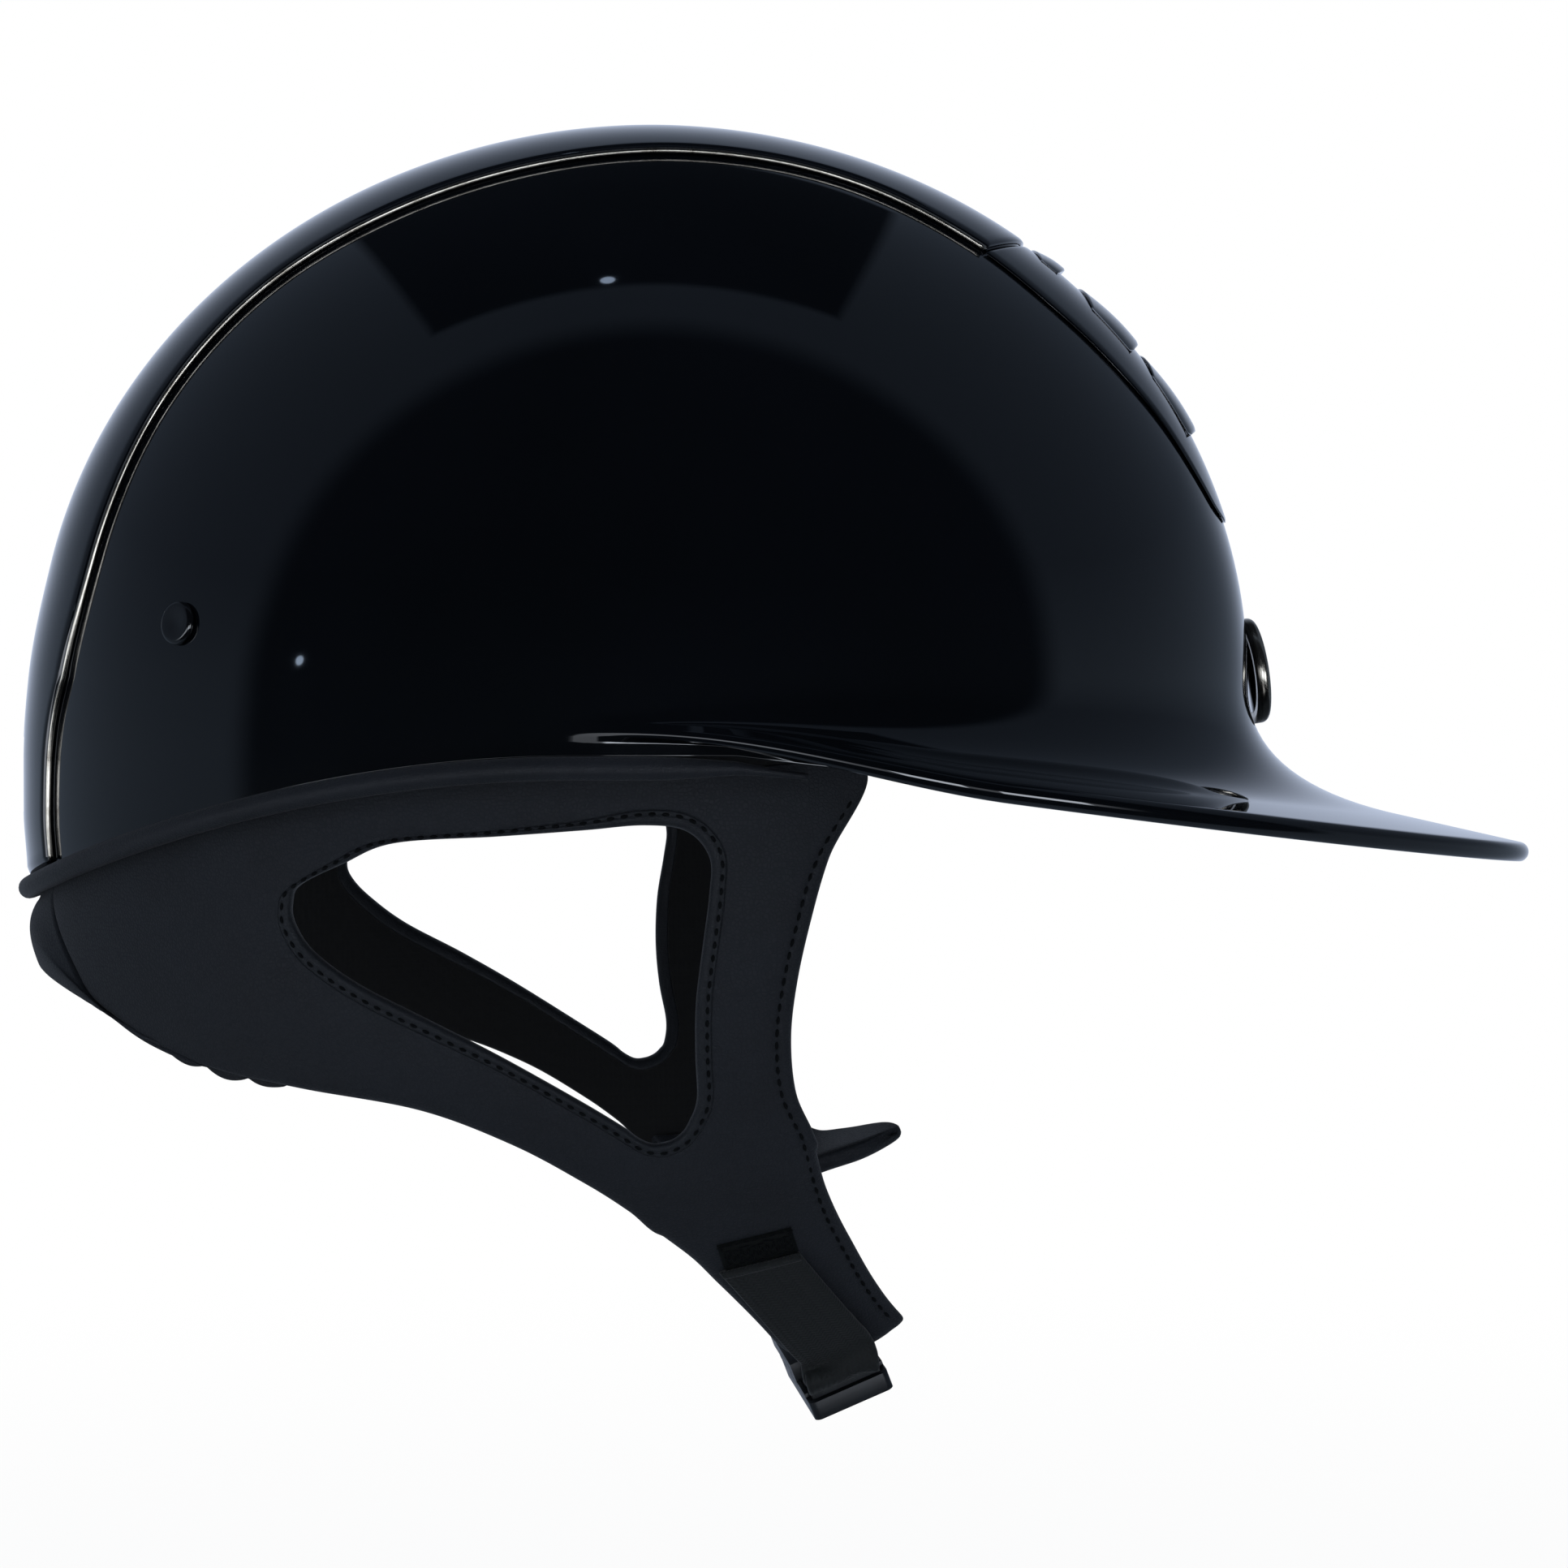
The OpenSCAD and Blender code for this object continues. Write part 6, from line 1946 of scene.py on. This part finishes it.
    def piping(self) -> None:
        """Leather bead on the shell's edge."""
        f = self.form.shell
        n = 420
        b = np.linspace(75, 285, n)
        r = f.plan(b, f.pipe_out)
        c, s = cos_sin(b)
        path = np.stack([r * c, r * s, f.pipe_z(f.plan(b, 0) * c)], axis=-1)
        small = mix(0.3, 1, ease(np.minimum(np.arange(n), n - 1 - np.arange(n)) / 34))
        rng = np.random.default_rng(7)
        ripple = np.convolve(rng.normal(size=n + 8), np.ones(9) / 9, "valid") * 0.05
        radius = (f.pipe_r * small)[:, None] + ripple[:, None] * np.cos(full_turn(20) * 2)[None]
        profile = radius[..., None] * circle(20)
        obj = swept("edge_piping_bead", frame_sections(path, np.stack([c, s, 0 * b], axis=-1), profile))
        place_piece(obj, Finishes.piping, Body.SHELL, "piping_leather", "edge_piping")

    def build(self) -> None:
        """Builds the harness."""
        self.piping()
        self.nape()
        self.ruffles()
        for side in Side:
            name = side.name.lower()
            leather = self.leather_side(side)
            self.bend(leather, "harness_leather", side, f"harness_panel_{name}", f"harness_tail_{name}")
            self.bind_opening(side)
            self.front_stitches(side)


@dataclass
class ChinStrap:
    """Webbing, stitched patch, buckle and slider."""

    stitches: StitchTree
    form: HarnessForm = HarnessForm()
    at: Point = (38.9, -50.0, -126.1)
    turn: Point = (9.5, -22.0, 5.0)
    width: float = 15.0
    thick: float = 1.5
    bar_d: float = 3.0
    bar_y: float = 3.3
    loop_r: float = 2.4
    far_bar_y: float = 27.75
    far_bar_z: float = 3.2
    tack_top: Pair = (19.0, -92.3)
    tack_along: Pair = (0.235, -0.72)
    tack_side: Pair = (0.97, 0.24)
    tack_h: float = 6.5
    web_along: Pair = (0.63, -0.78)
    web_run: tuple[Pair, ...] = ((-1.5, -0.2), (0, 0), (6, 0.3), (13, 0.85), (19, 1), (25.4, 1))
    web_back_run: tuple[float, ...] = (25, 21.5, 18)
    web_in: Rows = ((-0.6, -6.5, 4.6), (0, -3.1, 2.9))
    web_back: Rows = ((0, -2, 4.4), (-0.6, -4.7, 6.4))
    far_top: Point = (33.0, 47.0, -99.8)
    fold_r: Pair = (0.85, 0.7)
    left_run: tuple[int, ...] = (4, 8, 16, 24, 32, 40, 48, 56, 64)
    stretch_from_top: float = 4.0
    stretch_end: float = 43.0
    sewn_rows: Pair = (0.1, 0.9)

    def axes(self) -> Array:
        """Buckle's own axes as columns."""
        x, y, z = (math.radians(t) for t in self.turn)
        return np.array(Matrix.Rotation(z, 3, "Z") @ Matrix.Rotation(y, 3, "Y") @ Matrix.Rotation(x, 3, "X"))

    def from_buckle(self, p: Sequence[float]) -> Array:
        """Point given in the buckle's own frame."""
        return np.array(self.at) + self.axes() @ np.array(p, float)

    def round_bar(self, y: float, z: float, angles: Sequence[int]) -> list[Array]:
        """Points of the webbing's middle round a bar.

        Args:
            y: the bar's place along the buckle.
            z: the bar's height in the buckle.
            angles: where on the bar the points lie, in degrees.

        Returns:
            The points.
        """
        turns = [math.radians(a) for a in angles]
        return [self.from_buckle((0, y + self.loop_r * math.cos(a), z + self.loop_r * math.sin(a)))
                for a in turns]

    def strap(self, name: str, path: Array, sides: Array, skew: Array | None = None) -> Piece:
        """Flat webbing along a path, with rounded edges and a pattern that follows it.

        Args:
            name: the piece's name.
            path: points along its middle.
            sides: direction across it at each point.
            skew: how far each section keeps that direction, from square (0) to slanting (1).

        Returns:
            The piece.
        """
        w, t = self.width / 2, self.thick / 2
        top = [(w * x, t * (0.5 if abs(x) == 1 else 1.0)) for x in (-1, -0.96, -0.6, -0.2, 0.2, 0.6, 0.96, 1)]
        profile = np.array(top + [(x, -y) for x, y in top[::-1]])
        along = tangents(path)
        square = sides - along * np.sum(sides * along, axis=1, keepdims=True)
        size = np.linalg.norm(square, axis=1, keepdims=True)
        aside, out = square / size, np.cross(along, square / size)
        if skew is not None:
            aside = mix(aside, sides / size, skew[:, None])
        sections = path[:, None] + aside[:, None] * profile[None, :, :1] + out[:, None] * profile[None, :, 1:]
        length = walked(path)
        uv = np.stack(np.broadcast_arrays(length[:, None] * MM, profile[None, :, 0] * MM), axis=-1)
        return swept(name, sections, uv=uv)

    def skin_side(self, at: Array, way: Array) -> Array:
        """Direction on the tail's surface at a point, for a direction in x and z."""
        return unit(self.form.skin(*(at + way * 4), 1.0) - self.form.skin(*(at - way * 4), 1.0))

    def right_strap(self) -> None:
        """Right webbing: down the tail, over the ring, round the bar and back up under itself."""
        f, seat = self.form, self.form.shell.seat
        out, layer = seat + 0.45 + self.thick / 2, self.thick + seat + 0.1
        begin = np.array(self.tack_top) + unit(np.array(self.tack_along)) * (self.tack_h + 2 * seat)
        along = unit(np.array(self.web_along))
        across = np.array([-along[1], along[0]])
        slant = unit(np.array(self.tack_side))
        down = [f.skin(*(begin + along * t), out + h * layer) for t, h in self.web_run]
        bar = self.round_bar(self.bar_y, 0.0, range(-160, 81, 30))
        back = [f.skin(*(begin + along * t), out) for t in self.web_back_run]
        lead_in, lead_out = ([self.from_buckle(p) for p in run] for run in (self.web_in, self.web_back))
        middle = lead_in + bar + lead_out
        path = np.array([*down, *middle, *back])
        down_sides = [self.skin_side(begin + along * t, slant if t < 3 else across) for t, _ in self.web_run]
        back_sides = [self.skin_side(begin + along * t, across) for t in self.web_back_run]
        sides = np.array(down_sides + [self.axes()[:, 0]] * len(middle) + back_sides)
        skew = np.clip(1 - np.arange(len(path)) / 2.0, 0, 1)
        fine = spline(path, 6)
        obj = self.strap("chin_strap_right", fine, unit(spline(sides, 6)),
                         np.clip(spline(skew[:, None], 6)[:, 0], 0, 1))
        place_piece(obj, Finishes.webbing, Body.CHIN, "webbing", "chin_webbing_right")
        fold = f.skin(*(begin - along * 0.6), out + 0.35)
        span = np.linspace(-1, 1, 9)[:, None] * self.width / 2 * 1.04
        tube = fold + self.skin_side(begin, slant) * span
        ring = circle(12) * self.fold_r
        across_fold = np.broadcast_to([0.2, 0.0, 1.0], tube.shape)
        pattern = np.stack(np.broadcast_arrays(span * MM, full_turn(12)[None] * 0.8 * MM), axis=-1)
        lip = swept("webbing_folded_edge", frame_sections(tube, across_fold, ring), uv=pattern)
        place_piece(lip, Finishes.webbing, Body.CHIN, "webbing")

    def tack(self) -> None:
        """Thin patch with two sewn rows and a zigzag between them."""
        f, seat = self.form, self.form.shell.seat
        along, side, top = unit(np.array(self.tack_along)), np.array(self.tack_side), np.array(self.tack_top)

        def at(v: Array, s: Array, d: Array | float) -> Array:
            """Points on the patch at shares down and across.

            Args:
                v: shares down.
                s: shares across.
                d: how far it is moved outwards.

            Returns:
                Points, with x, y and z last.
            """
            v, s = np.broadcast_arrays(np.asarray(v, float), np.asarray(s, float))
            p = top + along * v[..., None] * self.tack_h + side * s[..., None] * self.width / 2
            return f.skin(p[..., 0], p[..., 1], d)

        v, s = np.linspace(1, 0, 9)[:, None], np.linspace(-1, 1, 19)[None]
        rim = np.minimum((1 - np.abs(s)) * self.width / 2, np.minimum(v, 1 - v) * self.tack_h)
        sewn_in = self.groove_depth(v)
        patch = slab("stitched_patch", at(v, s, seat + 1.1 - round_off(rim, 0.7, 0.7) - sewn_in),
                     at(v, s, seat + 0 * rim))
        place_piece(patch, Finishes.patch, Body.CHIN, "tack_thread", "strap_tack")
        rows = [at(np.full(12, row), np.linspace(-0.93, 0.93, 12), seat + 0.95) for row in self.sewn_rows]
        share = np.linspace(-0.92, 0.92, 23)
        zigzag = at(np.where(np.arange(23) % 2 == 0, 0.2, 0.8), share, seat + 1.15)
        sewn = self.stitches.sew("patch_stitches", rows + [zigzag], 1.7, 1.35, 0.26, Finishes.thread)
        place_piece(sewn, Finishes.thread, Body.CHIN, "tack_thread")

    def groove_depth(self, v: Array) -> Array:
        """Depth to which the sewn rows pull the patch in."""
        return 0.25 * sum(np.exp(-((v - row) / 0.07) ** 2) for row in self.sewn_rows)

    def left_strap(self) -> None:
        """Left webbing: from its short end under the cover's bar, round it and up to the left tail."""
        x_axis = self.axes()[:, 0]
        far_low = self.from_buckle((0, self.far_bar_y, self.far_bar_z + self.loop_r))
        far_top = np.array(self.far_top)
        length = float(np.linalg.norm(far_top - far_low))
        run = unit(far_top - far_low)
        run_side = unit(x_axis - run * float(x_axis @ run))
        hook = [self.from_buckle((0, self.far_bar_y + 1.5 * self.bar_d, self.far_bar_z - self.loop_r))]
        hook += self.round_bar(self.far_bar_y, self.far_bar_z, range(270, 89, -30))
        straight = [far_low + run * t for t in (*self.left_run, length)]
        sides = np.array([x_axis] * len(hook) + [run_side] * len(straight))
        obj = self.strap("chin_strap_left", spline(hook + straight, 5), unit(spline(sides, 5)))
        dress(obj, Finishes.webbing)
        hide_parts("chin_webbing_left")
        start, end = far_low + run * (length - self.stretch_from_top), far_low + run * self.stretch_end
        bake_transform(obj, Body.CHIN.value, Body.BUCKLE.value, start=tuple((start * MM).tolist()),
                 end=tuple((end * MM).tolist()))

    def hardware(self) -> None:
        """Buckle halves and slider with softened moulded edges."""
        for name, node, body, width in (("buckle_base_moulding", "buckle_base", Body.CHIN, 0.35),
                                        ("buckle_cover_moulding", "buckle_cover", Body.BUCKLE, 0.4),
                                        ("strap_slider_moulding", "strap_slider", Body.SLIDER, 0.5)):
            obj = clean_copy(name, node)
            soften(obj, width)
            place_piece(obj, Finishes.plastic, body, "buckle_plastic", node)
        dress_node("base_magnet", Finishes.steel)
        dress_node("cover_magnet", Finishes.steel)

    def build(self) -> None:
        """Builds the chin strap."""
        self.tack()
        self.right_strap()
        self.left_strap()
        self.hardware()


# Studio


@dataclass
class Studio:
    """Camera at the photograph's angle, a light tent open towards the camera, and a pale floor."""

    eye: Point = (-0.0172, -0.7521, 0.0122)
    target: Point = (0.02947, 0.0, -0.00535)
    lens: float = 79.93
    sensor: float = 36.0
    floor_z: float = -0.46
    floor_half: float = 12.0
    lit_point: Point = (0.02, 0.0, 0.0)
    point_lamps: tuple[Point, ...] = ((-0.10, -0.11, 0.989), (-0.862, -0.50, 0.084))

    @staticmethod
    def aim(obj: Piece, at: Sequence[float], target: Sequence[float]) -> None:
        """Puts a lamp or a camera in its place and turns it to its target."""
        obj.location = at
        obj.rotation_euler = (Vector(target) - Vector(at)).to_track_quat("-Z", "Y").to_euler()

    def camera(self) -> None:
        """Adds the camera, aimed at the photograph's middle."""
        data = bpy.data.cameras.new("photo_camera")
        data.lens, data.sensor_width = self.lens, self.sensor
        data.clip_start, data.clip_end = 0.01, 60
        bpy.context.scene.camera = linked("photo_camera", data)
        self.aim(bpy.context.scene.camera, self.eye, self.target)

    def floor(self) -> None:
        """Pale floor that keeps a soft shadow and runs out into the white background."""
        mesh = bpy.data.meshes.new("studio_floor")
        corners = ((-1, -1), (1, -1), (1, 1), (-1, 1))
        mesh.from_pydata([(x * self.floor_half, y * self.floor_half, self.floor_z) for x, y in corners], [],
                         [(0, 1, 2, 3)])
        obj = linked("studio_floor", mesh)
        obj.visible_glossy = False
        paper = bpy.data.materials.new("pale_paper_floor")
        paper.use_nodes = True
        put = emptied(paper.node_tree)
        matte = put("BsdfDiffuse", {"Color": linear("#F2F3F4")})
        glow = put("Emission", {"Color": (1, 1, 1, 1), "Strength": 1.0})
        place = put("NewGeometry", out="Position")
        away = put("VectorMath", {0: place}, operation="LENGTH", out="Value")
        far = put("MapRange", {"Value": away, "From Min": 0.5, "From Max": 2.2, "To Min": 0.9, "To Max": 1.0},
                  interpolation_type="SMOOTHSTEP")
        seen = put("LightPath", out="Is Camera Ray")
        share = put("Math", {0: seen, 1: far}, operation="MULTIPLY")
        both = put("MixShader", {0: share, 1: matte, 2: glow})
        put("OutputMaterial", {"Surface": both})
        mesh.materials.append(paper)

    def world(self) -> None:
        """White to the camera; to the gloss, a pale tent whose front is open on a dark room."""
        world = bpy.data.worlds.new("light_tent")
        bpy.context.scene.world = world
        world.use_nodes = True
        put = emptied(world.node_tree)
        way = put("TexCoord", out="Generated")
        x, y, z = put("SeparateXYZ", {0: way}).node.outputs
        towards = put("Math", {0: y, 1: -1.0}, operation="MULTIPLY")
        # The tent's front is open, so the gloss facing the camera shows a dark room with a clear edge
        room = put("MapRange", {"Value": towards, "From Min": 0.27, "From Max": 0.40, "To Min": 1.0,
                                "To Max": 0.13}, interpolation_type="SMOOTHSTEP")
        # A dark square in the roof, seen as a trapezoid near the crown
        up = put("Math", {0: z, 1: 0.02}, operation="MAXIMUM")
        beside = []
        for level, middle, half in ((x, -0.04, 0.50), (y, 0.38, 0.51)):
            place = put("Math", {0: level, 1: up}, operation="DIVIDE")
            off = put("Math", {0: place, 1: middle}, operation="SUBTRACT")
            span = put("Math", {0: off}, operation="ABSOLUTE")
            beside.append(put("MapRange", {"Value": span, "From Min": half, "From Max": half + 0.03}))
        shut = put("Math", {0: beside[0], 1: beside[1]}, operation="MAXIMUM")
        roof = put("MapRange", {"Value": shut, "To Min": 0.1, "To Max": 1.0})
        dim = put("Math", {0: room, 1: roof}, operation="MULTIPLY")
        height = put("MapRange", {"Value": z, "From Min": 0.0, "From Max": 0.3})
        sides = put("Mix", {0: height, 6: linear("#616C7A"), 7: linear("#4C5562")}, data_type="RGBA", out=2)
        behind = put("MapRange", {"Value": y, "From Min": 0.5, "From Max": 1.0})
        steep = put("Math", {0: behind, 1: 4.0}, operation="POWER")
        tent = put("Mix", {0: steep, 6: sides, 7: linear("#D3DFF7")}, data_type="RGBA", out=2)
        # The lit table in front of the helmet gives the bead and the brim's roots their bright lines
        turn = put("Math", {0: x, 1: towards}, operation="ARCTAN2")
        table = 1.0
        for value, start, full in ((turn, -1.45, -1.15), (turn, 0.75, 0.62), (z, -0.34, -0.28),
                                   (z, -0.03, -0.05)):
            edge = put("MapRange", {"Value": value, "From Min": start, "From Max": full})
            table = put("Math", {0: table, 1: edge}, operation="MULTIPLY")
        glow = put("MapRange", {"Value": turn, "From Min": -0.5, "From Max": -0.25, "To Min": 3.0,
                                "To Max": 0.9})
        for middle, half in ((-0.01, 0.13), (0.47, 0.12)):
            # Two lit cards on the table, each with a clear edge
            off = put("Math", {0: turn, 1: middle}, operation="SUBTRACT")
            span = put("Math", {0: off}, operation="ABSOLUTE")
            card = put("MapRange", {"Value": span, "From Min": half + 0.02, "From Max": half, "To Max": 7.0})
            glow = put("Math", {0: glow, 1: card}, operation="MAXIMUM")
        colour = put("Mix", {0: table, 6: tent, 7: linear("#E6EDF8")}, data_type="RGBA", out=2)
        power = put("Mix", {0: table, 2: dim, 3: glow})
        for lamp in self.point_lamps:
            # Two small lamps outside the tent show as points on the dome
            cosine = put("VectorMath", {0: way, 1: lamp}, operation="DOT_PRODUCT", out="Value")
            spot = put("MapRange", {"Value": cosine, "From Min": 0.99996, "From Max": 0.99998,
                                    "To Max": 30.0})
            power = put("Math", {0: power, 1: spot}, operation="ADD")
        shine = put("Background", {"Color": colour, "Strength": power})
        soft = put("Background", {"Color": linear("#E4ECF8"), "Strength": 0.42})
        white = put("Background", {"Color": (1, 1, 1, 1), "Strength": 1.0})
        path = put("LightPath").node.outputs
        gloss = put("Math", {0: path["Is Glossy Ray"], 1: path["Is Transmission Ray"]}, operation="MAXIMUM")
        lit = put("MixShader", {0: gloss, 1: soft, 2: shine})
        seen = put("MixShader", {0: path["Is Camera Ray"], 1: lit, 2: white})
        put("OutputWorld", {"Surface": seen})

    def lamp(self, name: str, at: Point, size: Pair, power: float, colour: str) -> None:
        """Adds a soft box aimed at the helmet; it isn't seen in the gloss.

        Args:
            name: the lamp's name.
            at: its place in metres.
            size: its width and height in metres.
            power: its power in watts.
            colour: its colour.
        """
        data = bpy.data.lights.new(name, "AREA")
        data.shape = "RECTANGLE"
        data.size, data.size_y = size
        data.energy = power
        data.color = linear(colour)[:3]
        obj = linked(name, data)
        obj.visible_glossy = False
        self.aim(obj, at, self.lit_point)

    def build(self) -> None:
        """Sets up the studio."""
        bpy.context.scene.view_settings.view_transform = "Standard"
        self.camera()
        self.world()
        self.floor()
        self.lamp("overhead_softbox", (0.1, 0.2, 1.5), (1.2, 0.8), 8.0, "#F0F5FF")
        self.lamp("front_softbox", (1.5, -0.5, 0.5), (0.5, 1.0), 3.0, "#E4EDFF")
        self.lamp("rear_softbox", (-1.5, -0.4, 0.6), (0.5, 1.0), 3.0, "#E4EDFF")
        self.lamp("camera_side_fill", (0.0, -1.7, 0.9), (0.5, 0.3), 2.5, "#EEF3FF")


def main() -> None:
    """Builds the helmet round its frame, in order."""
    logging.basicConfig(level=logging.INFO, format="%(name)s: %(message)s")
    Studio().build()
    OuterShell().build()
    ShellTrim().build()
    Liner().build()
    stitches = StitchTree()
    Harness(stitches).build()
    ChinStrap(stitches).build()


if __name__ == "__main__":
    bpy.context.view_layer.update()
    main()
    bpy.context.view_layer.update()
